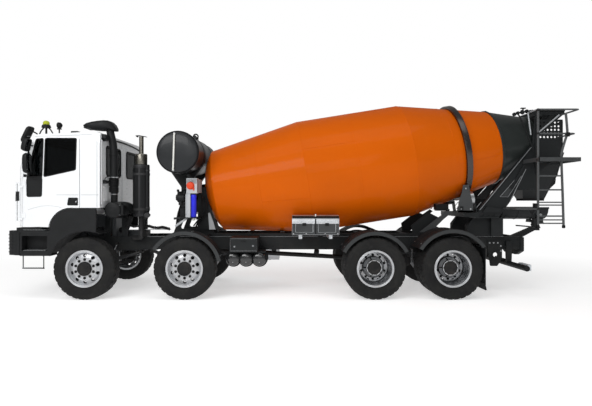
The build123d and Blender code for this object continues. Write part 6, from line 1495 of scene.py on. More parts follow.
def hoppers():
    """Stiffeners, rims, water pipe and wear strips on both hoppers and their guard plates, with painted
    highlights along their top edges.
    """
    p = Piece("hopper_trim", "chassis", "dark_paint", DARK, EDGE_HIGHLIGHT_AND_TREAD, RUBBER, BLACK, LIGHT)
    p.use(DARK)
    rim = [(4.76, 3.485), (5.268, 3.485), (5.27, 3.465), (4.76, 3.465)]
    for y in (-0.482, 0.482):
        p.prism(rim, y - 0.012, y + 0.012, "y", 0.003)
    for x in (4.86, 5.00, 5.14):
        for out in (-1, 1):
            p.rod((x, out * 0.470, 3.475), (4.80 + (x - 4.745) * 0.40, out * 0.250, 3.215), 0.010, 8)
    for y in (-0.30, 0.0, 0.30):
        p.rod((5.272, y, 3.50), (5.00, y * 0.42, 3.18), 0.012, 8)
    # A light line along the hopper's top edge: a painted highlight.
    p.use(EDGE_HIGHLIGHT_AND_TREAD).sweep([(4.735, -0.502, 3.558), (5.27, -0.502, 3.558)], 0.006, 6)
    p.use(RUBBER).rod((4.748, -0.495, 3.548), (5.27, -0.495, 3.548), 0.016, 12)
    p.use(BLACK)
    pipe = [
        (4.235, -0.60, 3.452), (4.30, -0.60, 3.478), (4.40, -0.58, 3.498), (4.50, -0.55, 3.520),
        (4.64, -0.50, 3.545)
    ]
    p.tube(pipe, 0.018, 12)
    for at, radius in zip(pipe, (0.034, 0.030, 0.046, 0.036)):
        at = Vector(at)
        p.rod(at - Vector((0.030, 0, 0.010)), at + Vector((0.030, 0, 0.012)), radius, 16, 0.4)
    p.rod((4.40, -0.58, 3.50), (4.42, -0.58, 3.575), 0.014)
    p.box((4.37, 4.46), (-0.60, -0.56), (3.566, 3.584), 0.005)
    down_pipe = [(4.30, -0.60, 3.47), (4.33, -0.64, 3.38), (4.40, -0.66, 3.20), (4.50, -0.655, 2.95),
                 (4.60, -0.65, 2.72)]
    p.tube(down_pipe, 0.014, 10)
    p.use(LIGHT).rod((4.500, -0.604, 3.470), (4.552, -0.604, 3.055), 0.013, 12)
    skirt = [(4.625, 1.838), (5.055, 1.838), (5.048, 1.785), (4.632, 1.785)]
    cone_ribs = (((4.71, 0.512, 2.70), (4.57, 0.398, 2.34)), ((5.225, 0.512, 2.70), (5.18, 0.398, 2.34)),
                 ((4.565, 0.396, 2.32), (4.565, 0.266, 2.01)), ((5.185, 0.396, 2.32), (5.085, 0.262, 2.01)))
    for out in (-1, 1):
        p.use(DARK)
        for z in (2.62, 2.94):
            p.box((4.68, 5.18), across(out, 0.568, 0.556), (z - 0.010, z + 0.010), 0.002)
        p.box((5.172, 5.190), across(out, 0.572, 0.554), (2.62, 3.34), 0.002)
        for (x0, y0, z0), (x1, y1, z1) in cone_ribs:
            p.rod((x0, out * y0, z0), (x1, out * y1, z1), 0.012, 8)
        p.box((4.715, 5.165), across(out, 0.512, 0.519), (2.705, 2.985), 0.002)
        # A light line along the guard plate's edge: a painted highlight.
        p.use(EDGE_HIGHLIGHT_AND_TREAD).sweep([(4.71, out * 0.524, 2.722), (5.24, out * 0.524, 2.722)], 0.006, 6)
        p.bolts([(x, out * 0.519, 2.69) for x in (4.72, 4.86, 5.0, 5.12)], (0, out, 0), 0.010)
        p.use(RUBBER).prism(skirt, out * 0.146, out * 0.152, "y", 0.001)
    apron = [(5.06, 2.34), (5.190, 2.32), (5.228, 2.22), (5.215, 2.13), (5.10, 2.02), (4.98, 2.10)]
    p.prism(apron, -0.262, 0.262, "y", 0.008)
    p.use(DARK)
    guard = [
        (5.176, -0.560), (5.236, -0.46), (5.268, -0.30), (5.277, 0.0), (5.268, 0.30), (5.236, 0.46),
        (5.176, 0.560)
    ]
    outer = [(x + 0.006, y) for x, y in guard]
    for low, high in ((2.63, 2.985), (3.315, 3.35)):
        p.prism(guard + outer[::-1], low, high, "z", 0.0)
    for z in (2.64, 2.98, 3.335):
        p.sweep([(x, y, z) for x, y in outer], 0.009, 8)
    p.done(35)


def ladder():
    """The ladder's rails, rungs, feet, hand rails and hose, and the platform with its grating."""
    y = LADDER_Y
    p = Piece("ladder_set", "chassis", "dark_paint", RUNG, PLATE, LIGHT, RUBBER, BLACK)
    p.use(RUNG)
    p.rod((4.420, y, 1.322), (4.420, y, 3.466), 0.021, 20, 0.3)
    rear = ((4.885, 1.332), (4.866, 1.95), (4.846, 2.50), (4.850, 2.66), (4.905, 2.86), (4.950, 3.01),
            (4.947, 3.14), (4.925, 3.380))
    p.tube([(x, y, z) for x, z in rear], 0.021, 20, 5)
    rungs = (
        (1.375, 0.012), (1.438, 0.012), (1.507, 0.014), (1.707, 0.012), (1.758, 0.012), (1.985, 0.014),
        (2.240, 0.014)
    )
    for z, radius in rungs:
        p.rod((4.425, y, z), (4.876 - 0.033 * (z - 1.33), y, z), radius, 14)
    for x, z, end in ((5.160, 3.450, -0.462), (5.090, 3.010, -0.566)):
        bend = [(4.425, y), (4.7, y), (x - 0.07, y), (x - 0.02, y + 0.02), (x, y + 0.07), (x, end)]
        p.tube([(a, b, z) for a, b in bend], 0.0155, 14, 5)
    front_bend = [
        (4.420, y), (4.20, y), (4.10, y), (4.055, y + 0.02), (4.040, y + 0.07), (4.040, -0.80),
        (4.040, -0.592)
    ]
    p.tube([(a, b, 1.640) for a, b in front_bend], 0.0175, 14, 4)
    p.use(LIGHT)
    p.rod((4.425, y + 0.01, 3.458), (4.505, -0.600, 3.486), 0.0125, 12)
    p.rod((4.432, y + 0.006, 3.030), (5.098, -0.600, 3.440), 0.0125, 12)
    p.use(RUBBER)
    foot = [(0, 1.285), (0.020, 1.287), (0.028, 1.298), (0.029, 1.330), (0.023, 1.345)]
    for x in (4.420, 4.8855):
        p.lathe(foot, (x, y, 0), UP, 20)
    p.use(BLACK)
    p.box((4.925, 4.985), (y - 0.03, y + 0.03), (2.955, 3.03), 0.010)
    for z in (1.64, 2.53, 3.01, 3.43):
        band(p, (4.420, y, z - 0.016), UP, 0.021, 0.032, 0.006, 20)
    hose = [(4.030, -1.095, 1.336), (4.20, -1.10, 1.322), (4.36, -1.10, 1.306), (4.47, -1.105, 1.298)]
    p.tube(hose, 0.012, 10)
    p.box((4.335, 4.405), (-1.13, -1.06), (1.345, 1.46), 0.012)
    p.rod((4.37, -1.09, 1.44), (4.31, -1.08, 1.60), 0.020)
    p.rod((4.33, -1.10, 1.55), (4.41, -1.10, 1.68), 0.016)
    p.box((4.36, 4.405), (-1.14, -1.05), (1.66, 1.74), 0.008)
    p.rod((4.30, -1.11, 1.36), (4.42, -1.11, 1.255), 0.016)
    p.use(PLATE)
    p.box((4.402, 5.158), (-1.198, -1.186), (2.500, 2.573), 0.003)
    p.box((4.402, 5.158), (-0.603, -0.593), (2.535, 2.573), 0.003)
    for x in (4.408, 5.152):
        p.box((x - 0.006, x + 0.006), (-1.198, -0.593), (2.500, 2.573), 0.003)
    for x in (4.6375, 4.9075):
        p.box((x - 0.0075, x + 0.0075), (-1.19, -0.60), (2.505, 2.545), 0.002)
    for i in range(34):
        x = 4.425 + 0.0216 * i
        p.box((x, x + 0.004), (-1.186, -0.603), (2.546, 2.570), 0.0)
    for k in range(13):
        at = -1.172 + 0.0465 * k
        p.rod((4.414, at, 2.566), (5.146, at, 2.566), 0.0032, 6)
    p.bolts([(x, -1.198, 2.535) for x in (4.50, 4.75, 5.0)], (0, -1, 0), 0.008)
    p.done(35, "ladder_platform")


def chute_trim():
    """Painted highlights along the chute's top edges, bands and handles on the chute, and the swivel's pins,
    plates and greaser.
    """
    p = Piece("chute_trim", "chute", "dark_paint", DARK, EDGE_HIGHLIGHT_AND_TREAD, RUBBER, STEEL)
    for out in (-1, 1):
        # Light lines along the chute's top edges: painted highlights.
        p.use(EDGE_HIGHLIGHT_AND_TREAD).sweep([(4.185, out * 0.255, 1.652), (5.09, out * 0.255, 1.652)], 0.007, 8)
        handle = ((4.30, 0.262, 1.635), (4.30, 0.31, 1.625), (4.46, 0.31, 1.625), (4.46, 0.262, 1.635))
        p.use(STEEL).tube([(x, out * y, z) for x, y, z in handle], 0.010, 10)
    p.use(DARK)
    for x in (4.19, 4.50, 4.80):
        turns = [math.radians(a) for a in range(180, 361, 15)]
        p.sweep([(x, 0.2405 * math.cos(a), 1.65 + 0.2405 * math.sin(a)) for a in turns], 0.008, 8)
    p.done(35)
    q = Piece("chute_swivel_trim", "chute_swivel", "dark_paint", DARK, RUBBER, STEEL)
    plate = [(4.885, 1.36), (4.975, 1.36), (4.975, 1.385), (4.885, 1.385)]
    for out in (-1, 1):
        q.use(STEEL).bolt((4.93, out * 0.2425, 1.50), (0, out, 0), 0.022)
        q.use(DARK).prism(plate, out * 0.10, out * 0.226, "y", 0.003)
    q.use(RUBBER).rod((4.988, 0, 1.285), (5.030, 0, 1.285), 0.012)
    q.done(35)


drum_trim()
rear_stand()
hoppers()
ladder()
chute_trim()

# Chassis: guards, frame, axles, tanks, boxes, bumper and rear lamps

def arc_band(p, x, radii, angles, y, steps=40):
    """A flat band with square section, bent round a wheel's centre."""
    form = bmesh.new()
    rings = []
    for k in range(steps + 1):
        a = math.radians(angles[0] + (angles[1] - angles[0]) * k / steps)
        rings.append([form.verts.new((x + r * math.cos(a), w, TYRE_R + r * math.sin(a)))
                      for r, w in ((radii[0], y[0]), (radii[1], y[0]), (radii[1], y[1]), (radii[0], y[1]))])
    stitch(form, rings)
    form.faces.new(rings[0][::-1])
    form.faces.new(rings[-1])
    p.take(form, 0.002, 1)


def guards():
    """The mudguards' lips, ribs and bolts, and the rubber flaps that hang from them."""
    p = Piece("guard_trim", "chassis", "black_plastic", LIP, GUARD, RUBBER, STEEL)
    # Each guard's axle, radius, first and last angle, and inner edge
    shapes = ((2, 0.672, 12, 148, 0.90), (3, 0.668, 28, 152, 0.60), (4, 0.708, 35, 149, 0.60))
    for number, radius, a0, a1, inner in shapes:
        x = AXLE_X[number]
        for out in (-1, 1):
            p.use(LIP)
            lip = (out * 1.238, out * 1.2515)
            arc_band(p, x, (radius - 0.062, radius + 0.001), (a0 + 0.4, a1 - 0.4), lip)
            p.use(GUARD)
            turns = [math.radians(a0 + (a1 - a0) * k / 40) for k in range(41)]
            edge = radius + 0.002
            line = [(x + edge * math.cos(a), out * 1.243, TYRE_R + edge * math.sin(a)) for a in turns]
            p.sweep(line, 0.009, 8)
            for y in (inner + 0.02, (inner + 1.25) / 2):
                rib = (out * (y - 0.012), out * (y + 0.012))
                arc_band(p, x, (radius - 0.002, radius + 0.006), (a0 + 1, a1 - 1), rib, 32)
            p.use(STEEL)
            for angle in (a0 + 8, (a0 + a1) / 2, a1 - 8):
                away = Vector((math.cos(math.radians(angle)), 0, math.sin(math.radians(angle))))
                for y in (inner + 0.10, 1.14):
                    p.bolt(Vector((x, out * y, TYRE_R)) + away * (radius + 0.001), away, 0.010)
    front_flap = [(-2.562, 0.93), (-2.572, 0.93), (-2.614, 0.868), (-2.604, 0.864)]
    rear_lip = [(3.402, 0.30), (3.412, 0.30), (3.438, 0.188), (3.428, 0.180)]
    for out in (-1, 1):
        p.use(GUARD).box((3.402, 3.412), across(out, 0.63, 1.24), (0.925, 0.962), 0.003)
        p.use(STEEL)
        for x, way in ((3.402, -1), (3.420, 1)):
            p.bolts([(x, out * (0.67 + 0.108 * k), 0.944) for k in range(6)], (way, 0, 0), 0.009)
        p.use(RUBBER)
        for k in range(9):
            at = out * (0.64 + 0.073 * k)
            p.box((3.419, 3.424), ordered(at, at + out * 0.012), (0.20, 0.90), 0.001)
        low, high = across(out, 0.94, 1.248)
        p.prism(front_flap, low, high, "y", 0.002)
        p.prism(rear_lip, low, high, "y", 0.002)
    p.done(35)


def frame_trim():
    """Bolts, a painted highlight along each rail's top flange, pipes and valves on the frame."""
    p = Piece("frame_trim", "chassis", "dark_paint", FRAME, EDGE_HIGHLIGHT_AND_TREAD, STEEL, BLACK, IRON)
    for out in (-1, 1):
        y = out * RAIL_Y
        # A light line along the rail's top flange: a painted highlight.
        p.use(EDGE_HIGHLIGHT_AND_TREAD).sweep(line_of((-2.9, y + out * 0.0005, 1.084), (0.5, 0, 0), 15), 0.004, 6)
        p.use(FRAME).box((-2.38, 3.83), ordered(y, y + out * 0.006), (1.092, 1.102), 0.001)
        for i in range(31):
            x = -4.62 + 0.30 * i
            behind_tanks = -1.24 < x < -0.70 or -0.36 < x < 0.80
            if not behind_tanks:
                p.bolts([(x, y, z) for z in (0.895, 1.020)], (0, out, 0), 0.011)
        for x in (-2.30, -0.9, 0.5, 1.7, 3.5):
            p.box((x - 0.045, x + 0.045), ordered(y, y + out * 0.012), (1.00, 1.16), 0.004)
            p.bolts([(x, y + out * 0.012, z) for z in (1.03, 1.12)], (0, out, 0), 0.012)
        p.use(BLACK)
        stations = (-4.2, -2.5, -0.5, 1.4, 3.6)
        for radius, heights in (
            (0.012, (1.03, 1.035, 1.03, 1.03, 1.03)), (0.008, (0.99, 0.985, 0.99, 0.985, 0.99))
        ):
            p.tube([(x, out * 0.352, z) for x, z in zip(stations, heights)], radius, 8, 3)
    p.use(IRON)
    for x in (0.1, 1.0, 2.4):
        p.box((x - 0.06, x + 0.06), (-0.10, 0.10), (0.965, 1.06), 0.012)
        for k in (-1, 1):
            p.rod((x + 0.035 * k, -0.05, 0.95), (x + 0.035 * k, -0.05, 0.90), 0.012, 10)
    band(p, (4.495, 0, 0.89), (1, 0, 0), 0.062, 0.022, 0.014, 40)
    p.use(STEEL).bolts(round_axis((4.495, 0, 0.89), (1, 0, 0), 0.115, 8, 22), (1, 0, 0), 0.013)
    plate_bolts = ((3.82, 0.96), (3.90, 0.96), (3.98, 0.96), (4.04, 0.90), (4.04, 0.80))
    for out in (-1, 1):
        p.use(FRAME)
        band(p, (3.925, out * 0.455, 0.729), (0, out, 0), 0.046, 0.014, 0.006, 32)
        p.use(STEEL).bolts([(x, out * 0.455, z) for x, z in plate_bolts], (0, out, 0), 0.011)
    p.done(35)


def axle_trim():
    """U-bolts, leaf lines, dampers and brake chambers on the axles and springs."""
    p = Piece("axle_trim", "chassis", "axle_iron", IRON, STEEL, LEAF, BLACK)

    def chamber(at, axis):
        """A brake chamber with its push rod and air line."""
        at, axis = Vector(at), Vector(axis).normalized()
        can = [(0, 0), (0.058, 0.004), (0.072, 0.030), (0.074, 0.060), (0.082, 0.062), (0.082, 0.076),
               (0.074, 0.078), (0.070, 0.110), (0.055, 0.132), (0, 0.136)]
        p.use(IRON).lathe(can, at, axis, 28)
        p.use(STEEL).rod(at, at - axis * 0.10, 0.010, 10)
        line = [
            at + axis * along + Vector((0, 0, up)) for along,
            up in ((0.11, 0.06), (0.13, 0.18), (0.06, 0.36))
        ]
        p.use(BLACK).tube(line, 0.007, 8)

    for out in (-1, 1):
        for number in (1, 2):
            x = AXLE_X[number]
            for k in range(-3, 4):
                reach = 0.775 - 0.10 * max(0, 1 - k) * 0.6
                leaf = []
                for t in range(-10, 11):
                    along = reach * t / 10
                    rise = 0.156 * (along / 0.78) ** 2 + 0.0085 * k * (1.6 - abs(t) / 10)
                    leaf.append((x + along, out * 0.4385, 0.629 + rise))
                p.use(LEAF if k % 2 else IRON).sweep(leaf, 0.0035, 6)
            p.use(LEAF)
            p.prism([(x - 0.09, 0.665), (x + 0.09, 0.665), (x + 0.09, 0.690), (x - 0.09, 0.690)],
                    out * 0.350, out * 0.450, "y", 0.004)
            p.use(STEEL)
            for at in (x - 0.068, x + 0.068):
                loop = ((0.447, 0.50), (0.447, 0.69), (0.440, 0.706), (0.400, 0.712), (0.360, 0.706),
                        (0.353, 0.69), (0.353, 0.50))
                p.tube([(at, out * y, z) for y, z in loop], 0.009, 8, 4)
                p.bolts([(at, out * y, 0.520) for y in (0.447, 0.353)], (0, 0, -1), 0.014)
            damper = out * 0.475
            p.use(BLACK).rod((x + 0.14, damper, 0.545), (x + 0.25, damper, 0.79), 0.030, 18)
            p.use(STEEL).rod((x + 0.24, damper, 0.77), (x + 0.32, damper, 0.95), 0.011, 10)
            p.use(IRON).rod((x + 0.14, out * 0.44, 0.545), (x + 0.14, out * 0.51, 0.545), 0.026, 16)
            p.rod((x + 0.32, out * 0.44, 0.95), (x + 0.32, out * 0.51, 0.95), 0.024, 16)
            p.box((x + 0.06, x + 0.16), across(out, 0.44, 0.48), (0.50, 0.545), 0.008)
            for eye in (x - 0.775, x + 0.775):
                p.rod((eye, out * 0.345, 0.790), (eye, out * 0.455, 0.790), 0.030, 18)
            chamber((x - 0.14, out * 0.60, 0.66), (0, -out, 0.15))
        mid = (AXLE_X[3] + AXLE_X[4]) / 2
        for k in range(-4, 5):
            reach = 0.77 - 0.06 * (k + 4) * 0.6
            leaf = []
            for t in range(-8, 9):
                along = reach * t / 8
                rise = 0.0115 * k * (1.25 - abs(t) / 8 * 0.75) - 0.025 * (along / 0.7875) ** 2
                leaf.append((mid + along, out * 0.5455, 0.745 + rise))
            p.use(LEAF if k % 2 else IRON).sweep(leaf, 0.004, 6)
        p.use(IRON)
        p.box((mid - 0.16, mid + 0.16), across(out, 0.445, 0.56), (0.800, 0.83), 0.008)
        p.rod((mid, out * 0.44, 0.62), (mid, out * 0.60, 0.62), 0.095, 28)
        pivot_cap = [(0.095, 0.0), (0.080, 0.016), (0.030, 0.022), (0, 0.022)]
        p.lathe(pivot_cap, (mid, out * 0.60, 0.62), (0, out, 0), 28)
        p.use(STEEL)
        for at in (mid - 0.13, mid + 0.13):
            loop = ((0.553, 0.58), (0.553, 0.82), (0.545, 0.838), (0.50, 0.842), (0.462, 0.838),
                    (0.453, 0.82), (0.453, 0.58))
            p.tube([(at, out * y, z) for y, z in loop], 0.011, 8, 4)
        for number, lean in ((3, 0.10), (4, -0.10)):
            x = AXLE_X[number]
            chamber((x + 0.14, out * 0.58, 0.50), (0, -out, 0))
            p.use(IRON).rod((x - 0.05, out * 0.25, 0.80), (mid + lean, out * 0.30, 0.90), 0.024, 14)
            p.rod((x, out * 0.685, TYRE_R), (x, out * 0.70, TYRE_R), 0.20, 40)
            inner_bolts = round_axis((x, out * 0.685, TYRE_R), (0, out, 0), 0.10, 10)
            p.use(STEEL).bolts(inner_bolts, (0, -out, 0), 0.010)
    for number in (3, 4):
        x = AXLE_X[number]
        p.use(STEEL).bolts(round_axis((x + 0.150, 0, TYRE_R), (1, 0, 0), 0.150, 12), (1, 0, 0), 0.009)
        nose = [(0.16, 0), (0.13, 0.03), (0.06, 0.05), (0, 0.052)]
        p.use(IRON).lathe(nose, (x + 0.148, 0, TYRE_R), (1, 0, 0), 32)
        p.rod((x - 0.350, 0, TYRE_R + 0.06), (x - 0.325, 0, TYRE_R + 0.06), 0.080, 24)
    joint = [(0.046, -0.05), (0.062, -0.035), (0.066, 0.0), (0.062, 0.035), (0.046, 0.05)]
    for x, z in ((-0.42, 0.81), (0.45, 0.73), (1.02, 0.65)):
        p.lathe(joint, (x, 0, z), (0.992, 0, -0.125), 20)
    p.done(35)


def side_tanks():
    """Air tank ends and straps, the battery box's handle with a painted highlight round its edge, and the
    fuel tank's cap and straps.
    """
    p = Piece("side_tank_trim", "chassis", "dark_paint", GLOSS, EDGE_HIGHLIGHT_AND_TREAD, STEEL, BLACK, ALLOY)
    tank_end = [(0.1285, -0.055), (0.1285, -0.03), (0.122, -0.008), (0.104, 0.010), (0.070, 0.022),
                (0.030, 0.027), (0, 0.028)]
    for x in (-1.153, -0.911, -0.664):
        p.use(GLOSS).lathe(tank_end, (x, -0.992, 0.705), (0, -1, 0), 40)
        p.use(BLACK)
        for y in (-0.86, -0.62):
            band(p, (x, y - 0.014, 0.705), (0, 1, 0), 0.128, 0.005, 0.028, 40)
        p.use(STEEL).bolt((x + 0.004, -1.010, 0.655), (0, -1, 0), 0.010)
        p.rod((x, -0.75, 0.58), (x, -0.75, 0.560), 0.012, 10)
    # A light line round the battery box's edge: a painted highlight, with its two bolts in the same light
    # grey.
    p.use(EDGE_HIGHLIGHT_AND_TREAD)
    x0, x1, z0, z1 = -1.19, -0.704, 0.866, 1.090
    p.sweep([(a, -1.061, b) for a, b in ((x0, z0), (x0, z1), (x1, z1), (x1, z0), (x0, z0))], 0.0028, 6)
    p.bolts([(-1.113, -1.060, 0.944), (-0.772, -1.060, 0.957)], (0, -1, 0), 0.012)
    p.use(BLACK).box((-1.0, -0.90), (-1.072, -1.060), (1.030, 1.058), 0.004)
    p.use(STEEL)
    cap_x, cap_y = -0.470, 0.800
    cap = [(0, 0), (0.054, 0), (0.056, 0.008), (0.056, 0.040), (0.050, 0.048), (0, 0.050)]
    p.lathe(cap, (cap_x, cap_y, 1.085), UP, 32)
    for k in range(4):
        a = math.radians(90 * k + 20)
        x, y = cap_x + 0.05 * math.cos(a), cap_y + 0.05 * math.sin(a)
        p.box((x - 0.010, x + 0.010), (y - 0.01, y + 0.01), (1.09, 1.13), 0.003)
    p.bolts([(x, 1.098, z) for x in (-1.04, -0.54) for z in (0.62, 0.93)], (0, 1, 0), 0.012)
    turns = [math.radians(a) for a in range(0, 361, 8)]
    seam = [
        (0.78 + 0.27 * squared(math.cos(a), 0.5), 0.775 + 0.24 * squared(math.sin(a), 0.5)) for a in turns
    ]
    for x, way in ((-1.247, -1), (-0.333, 1)):
        p.use(ALLOY).sweep([(x, y, z) for y, z in seam], 0.005, 6)
        p.use(STEEL).bolt((x + way * 0.002, 0.90, 0.60), (way, 0, 0), 0.014)
    p.done(35)


def plate_box():
    """The chequer-plate box: dark grey sheets over its front and two recessed panels as a painted dark
    reflection, a bright lid edge and latches.
    """
    p = Piece("chequer_box_trim", "chassis", "alloy", CHEQUER, PLATE, BLACK, STEEL, PALE)

    def face(z):
        """The box's front at a height: upright, then rounded over towards the lid."""
        return -1.2 if z <= 1.41 else -1.2 + 0.11 - math.sqrt(max(0.0, 0.11 ** 2 - (z - 1.41) ** 2))

    def strip(x0, x1, z0, z1, lift, steps=6):
        """A sheet that lies on the front and bends over it, its rim turned in."""
        rows = []
        for k in range(steps + 1):
            z = z0 + (z1 - z0) * k / steps
            back, front = face(z) + 0.004, face(z) - lift
            section = ((x0, back), (x0, front), (x1, front), (x1, back))
            rows.append([Vector((x, y, z)) for x, y in section])
        turned = Vector((0, lift + 0.006, 0))
        p.grid([[v + turned for v in rows[0]]] + rows + [[v + turned for v in rows[-1]]])

    # Dark grey sheets over the plate's front and recessed panels: painted dark reflection of the surroundings
    # in the bright metal.
    p.use(PLATE)
    strip(-0.052, 0.792, 1.174, 1.215, 0.003, 1)
    for x0, x1 in ((-0.052, 0.005), (0.325, 0.415), (0.735, 0.792)):
        strip(x0, x1, 1.215, 1.372, 0.003, 1)
    for x0, x1 in ((0.012, 0.318), (0.422, 0.728)):
        p.box((x0, x1), (-1.1965, -1.190), (1.220, 1.368), 0.003)
    p.use(CHEQUER)
    strip(-0.054, 0.360, 1.374, 1.462, 0.004)
    strip(0.378, 0.794, 1.374, 1.462, 0.004)
    p.use(BLACK)
    strip(-0.054, 0.794, 1.466, 1.512, 0.004)
    p.box((0.357, 0.381), (-1.207, -1.195), (1.18, 1.46), 0.003)
    for x in (0.165, 0.575):
        p.box((x - 0.035, x + 0.035), (-1.214, -1.200), (1.335, 1.385), 0.005)
        p.box((x - 0.02, x + 0.02), (-1.224, -1.212), (1.345, 1.365), 0.004)
    p.use(PALE).box((0.360, 0.378), (-1.192, -1.15), (1.505, 1.545), 0.004)
    p.use(STEEL).bolts([(x, -1.203, 1.193) for x in (-0.03, 0.20, 0.54, 0.77)], (0, -1, 0), 0.008)
    p.done(35)


def bow_x(y):
    """The bumper's front face at a distance from the middle."""
    return -5.275 + 0.085 * y ** 2


def bumper_trim():
    """The bumper's ribbed corner caps, step treads, bolts, lamp surrounds and the grille with its plate."""
    p = Piece("bumper_trim", "chassis", "black_plastic", GUARD, EDGE_HIGHLIGHT_AND_TREAD, BLACK, STEEL, AMBER_LENS, PALE)
    cap = [(-5.03, 1.192), (-5.11, 1.192), (-5.165, 1.172), (-5.196, 1.135), (-5.210, 1.080),
           (-5.215, 1.02), (-5.15, 1.0), (-5.03, 1.0)]
    rib = ((-5.10, 1.194), (-5.165, 1.174), (-5.199, 1.137), (-5.213, 1.080))
    recess = ((0.796, 0.936), (0.796, 1.124), (1.084, 1.124), (1.084, 0.936), (0.796, 0.936))
    bezel = [(0.052, -0.004), (0.058, 0.0), (0.058, 0.006), (0.052, 0.008), (0.045, 0.002)]
    inner_bezel = [(0.038, 0.0), (0.042, 0.004), (0.036, 0.007), (0.030, 0.003)]
    for out in (-1, 1):
        p.use(GUARD).prism([(x, out * y) for x, y in cap], 0.806, 1.243, "z", 0.016)
        for k in range(6):
            p.sweep([(x, out * y, 0.86 + 0.062 * k) for x, y in rib], 0.009, 6)
        p.box((-5.035, -4.595), across(out, 0.98, 1.185), (1.215, 1.300), 0.006)
        near = out * 1.190
        p.use(EDGE_HIGHLIGHT_AND_TREAD)
        for z in (1.258, 0.886):
            for k in range(14):
                x = -4.906 + 0.0285 * k
                p.box((x, x + 0.016), ordered(near, near - out * 0.20), (z - 0.002, z + 0.008), 0.002)
        for k in range(12):
            x = -4.935 + 0.0305 * k
            tread = [(x, 0.566), (x + 0.010, 0.582), (x + 0.020, 0.582), (x + 0.030, 0.566)]
            p.prism(tread, near, near - out * 0.020, "y", 0.001)
        p.use(BLACK)
        p.bolts([(x, near, z) for x in (-4.97, -4.46) for z in (1.20, 0.82)], (0, out, 0), 0.009)
        pts = [Vector((bow_x(y) - 0.002, out * y, z)) for y, z in recess]
        p.sweep([a.lerp(b, t / 6) for a, b in zip(pts, pts[1:]) for t in range(6)] + [pts[0]], 0.007, 8)
        for y in (0.866, 0.998):
            at = (bow_x(y) + 0.003, out * y, 1.040)
            p.use(STEEL).lathe(bezel, at, (-1, 0, 0), 36, closed=True)
            p.use(BLACK).lathe(inner_bezel, at, (-1, 0, 0), 32, closed=True)
        marker = bow_x(0.94)
        p.use(AMBER_LENS).box(
            (marker - 0.002, marker + 0.02), across(out, 0.82, 1.06), (0.950, 0.966), 0.003
        )
    p.use(BLACK)
    p.box((-5.215, -5.205), (-0.54, 0.54), (0.87, 1.02), 0.002)
    for k in range(6):
        z = 0.892 + 0.021 * k
        p.box((-5.242, -5.214), (-0.52, 0.52), (z, z + 0.006), 0.001)
    p.box((-5.284, -5.266), (-0.275, 0.275), (1.068, 1.182), 0.004)
    p.use(PALE).box((-5.2855, -5.282), (-0.262, 0.262), (1.078, 1.172), 0.001)
    p.done(35)


def rear_lamps():
    """Lenses and surrounds of the rear lamps, a side reflector on each side and the blank number plate."""
    p = Piece("rear_lamp_set", "chassis", "lens", BLACK, RED_LENS, AMBER_LENS, CLEAR_LENS, PALE)
    lenses = (
        (RED_LENS, 0.775, 0.885), (RED_LENS, 0.89, 0.955), (AMBER_LENS, 0.96, 1.04),
        (CLEAR_LENS, 1.045, 1.115)
    )
    for out in (-1, 1):
        for colour, y0, y1 in lenses:
            p.use(colour).box((4.292, 4.304), across(out, y0, y1), (0.513, 0.607), 0.005)
        p.use(BLACK).box((4.288, 4.298), across(out, 0.765, 1.125), (0.505, 0.615), 0.003)
        p.rod((4.185, out * 1.20, 0.56), (4.185, out * 1.207, 0.56), 0.050, 24)
        reflector = [(0, 0), (0.030, 0), (0.030, 0.006), (0, 0.008)]
        p.use(RED_LENS).lathe(reflector, (4.236, out * 0.62, 0.56), (1, 0, 0), 24)
    p.use(BLACK).box((4.232, 4.240), (-0.27, 0.27), (0.498, 0.622), 0.004)
    p.use(PALE).box((4.239, 4.2425), (-0.26, 0.26), (0.506, 0.614), 0.002)
    p.done(35)


guards()
frame_trim()
axle_trim()
side_tanks()
plate_box()
bumper_trim()
rear_lamps()

# Camera, floor and light

# The photo's focal length and its centre's offset are in its own pixels
PHOTO_WIDTH = 592
FOCAL = 474
SHIFT = (5, -3)
SENSOR = 36
CAMERA_AT = (-0.075, -9.75, 1.8)
FLOOR_RADIUS = 150
FLOOR_GLOW = 0.5
AMBIENT = 0.30


def camera_and_view(scene):
    """The camera, placed and aimed so that the picture lies over the photo."""
    camera = bpy.data.objects.new("camera", bpy.data.cameras.new("camera"))
    scene.collection.objects.link(camera)
    camera.location = CAMERA_AT
    camera.rotation_euler = (math.radians(90), 0, 0)
    camera.data.sensor_fit = "HORIZONTAL"
    camera.data.sensor_width = SENSOR
    camera.data.lens = FOCAL / PHOTO_WIDTH * SENSOR
    camera.data.shift_x = SHIFT[0] / PHOTO_WIDTH
    camera.data.shift_y = SHIFT[1] / PHOTO_WIDTH
    scene.camera = camera
    scene.view_settings.view_transform = "Standard"


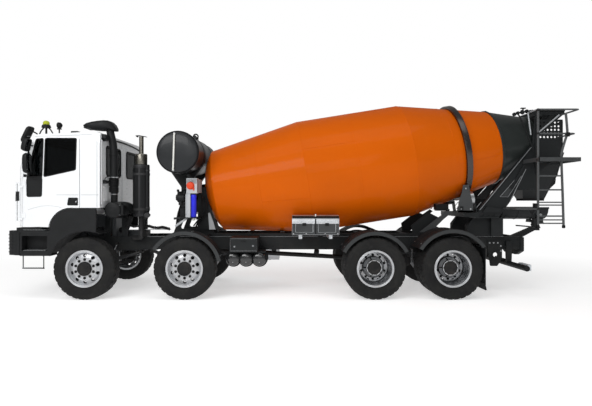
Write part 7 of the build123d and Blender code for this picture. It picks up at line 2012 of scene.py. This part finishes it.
def white_floor(scene):
    """A round floor that takes the truck's shadow and fades into the white ground further out."""
    floor_mesh = bpy.data.meshes.new("floor")
    turns = [math.radians(a) for a in range(0, 360, 6)]
    rim = [(FLOOR_RADIUS * math.cos(a), FLOOR_RADIUS * math.sin(a), 0) for a in turns]
    floor_mesh.from_pydata(rim, [], [tuple(range(len(rim)))])
    floor = bpy.data.objects.new("floor", floor_mesh)
    scene.collection.objects.link(floor)
    m = Nodes("floor")
    m.shader.inputs["Roughness"].default_value = 0.9
    m.shader.inputs["Emission Color"].default_value = (1, 1, 1, 1)
    m.shader.inputs["Emission Strength"].default_value = FLOOR_GLOW
    m.base(m.blend(m.spread(m.noise(0.8), 0.3, 0.7), linear(232, 232, 232), linear(238, 238, 238)))
    flat = m.add("VectorMath", operation="MULTIPLY")
    m.link(m.coords, flat.inputs[0])
    flat.inputs[1].default_value = (0.7, 1.0, 0.0)
    length = m.add("VectorMath", operation="LENGTH")
    m.link(flat.outputs[0], length.inputs[0])
    away = m.spread(length.outputs["Value"], 3.5, 8.0)
    glow = m.add("Emission", Color=(1, 1, 1, 1), Strength=1.0)
    mix = m.tree.nodes.new("ShaderNodeMixShader")
    m.link(away, mix.inputs[0])
    m.link(m.shader.outputs[0], mix.inputs[1])
    m.link(glow.outputs[0], mix.inputs[2])
    m.link(mix.outputs[0], m.tree.nodes["Material Output"].inputs["Surface"])
    floor_mesh.materials.append(m.material)


def white_world(scene):
    """A ground that the camera sees white, straight and through glass, and that lights the truck dimly."""
    world = bpy.data.worlds.new("world")
    scene.world = world
    world.use_nodes = True
    tree = world.node_tree
    back = tree.nodes["Background"]
    back.inputs["Color"].default_value = (1, 1, 1, 1)
    path = tree.nodes.new("ShaderNodeLightPath")
    seen = tree.nodes.new("ShaderNodeMath")
    seen.operation = "MAXIMUM"
    tree.links.new(path.outputs["Is Camera Ray"], seen.inputs[0])
    tree.links.new(path.outputs["Is Transmission Ray"], seen.inputs[1])
    strength = tree.nodes.new("ShaderNodeMapRange")
    strength.inputs["To Min"].default_value = AMBIENT
    strength.inputs["To Max"].default_value = 1.0
    tree.links.new(seen.outputs[0], strength.inputs["Value"])
    tree.links.new(strength.outputs[0], back.inputs["Strength"])


def area_light(scene, name, at, target, size, power):
    """A rectangular studio light, aimed at a place."""
    light = bpy.data.lights.new(name, "AREA")
    light.shape = "RECTANGLE"
    light.size, light.size_y = size
    light.energy = power
    obj = bpy.data.objects.new(name, light)
    scene.collection.objects.link(obj)
    obj.location = at
    obj.rotation_euler = (Vector(target) - Vector(at)).to_track_quat("-Z", "Y").to_euler()


scene = bpy.context.scene
camera_and_view(scene)
white_floor(scene)
white_world(scene)
area_light(scene, "key", (-6, -11, 7.5), (0, 0, 1.6), (9, 4), 740)
area_light(scene, "fill", (0, -13, 5), (1, 0, 1.6), (7, 4), 150)
area_light(scene, "top", (0, -5, 11), (0, 0, 0), (14, 5), 330)
area_light(scene, "behind", (-3, 10, 8), (0, 0, 1.5), (10, 5), 60)
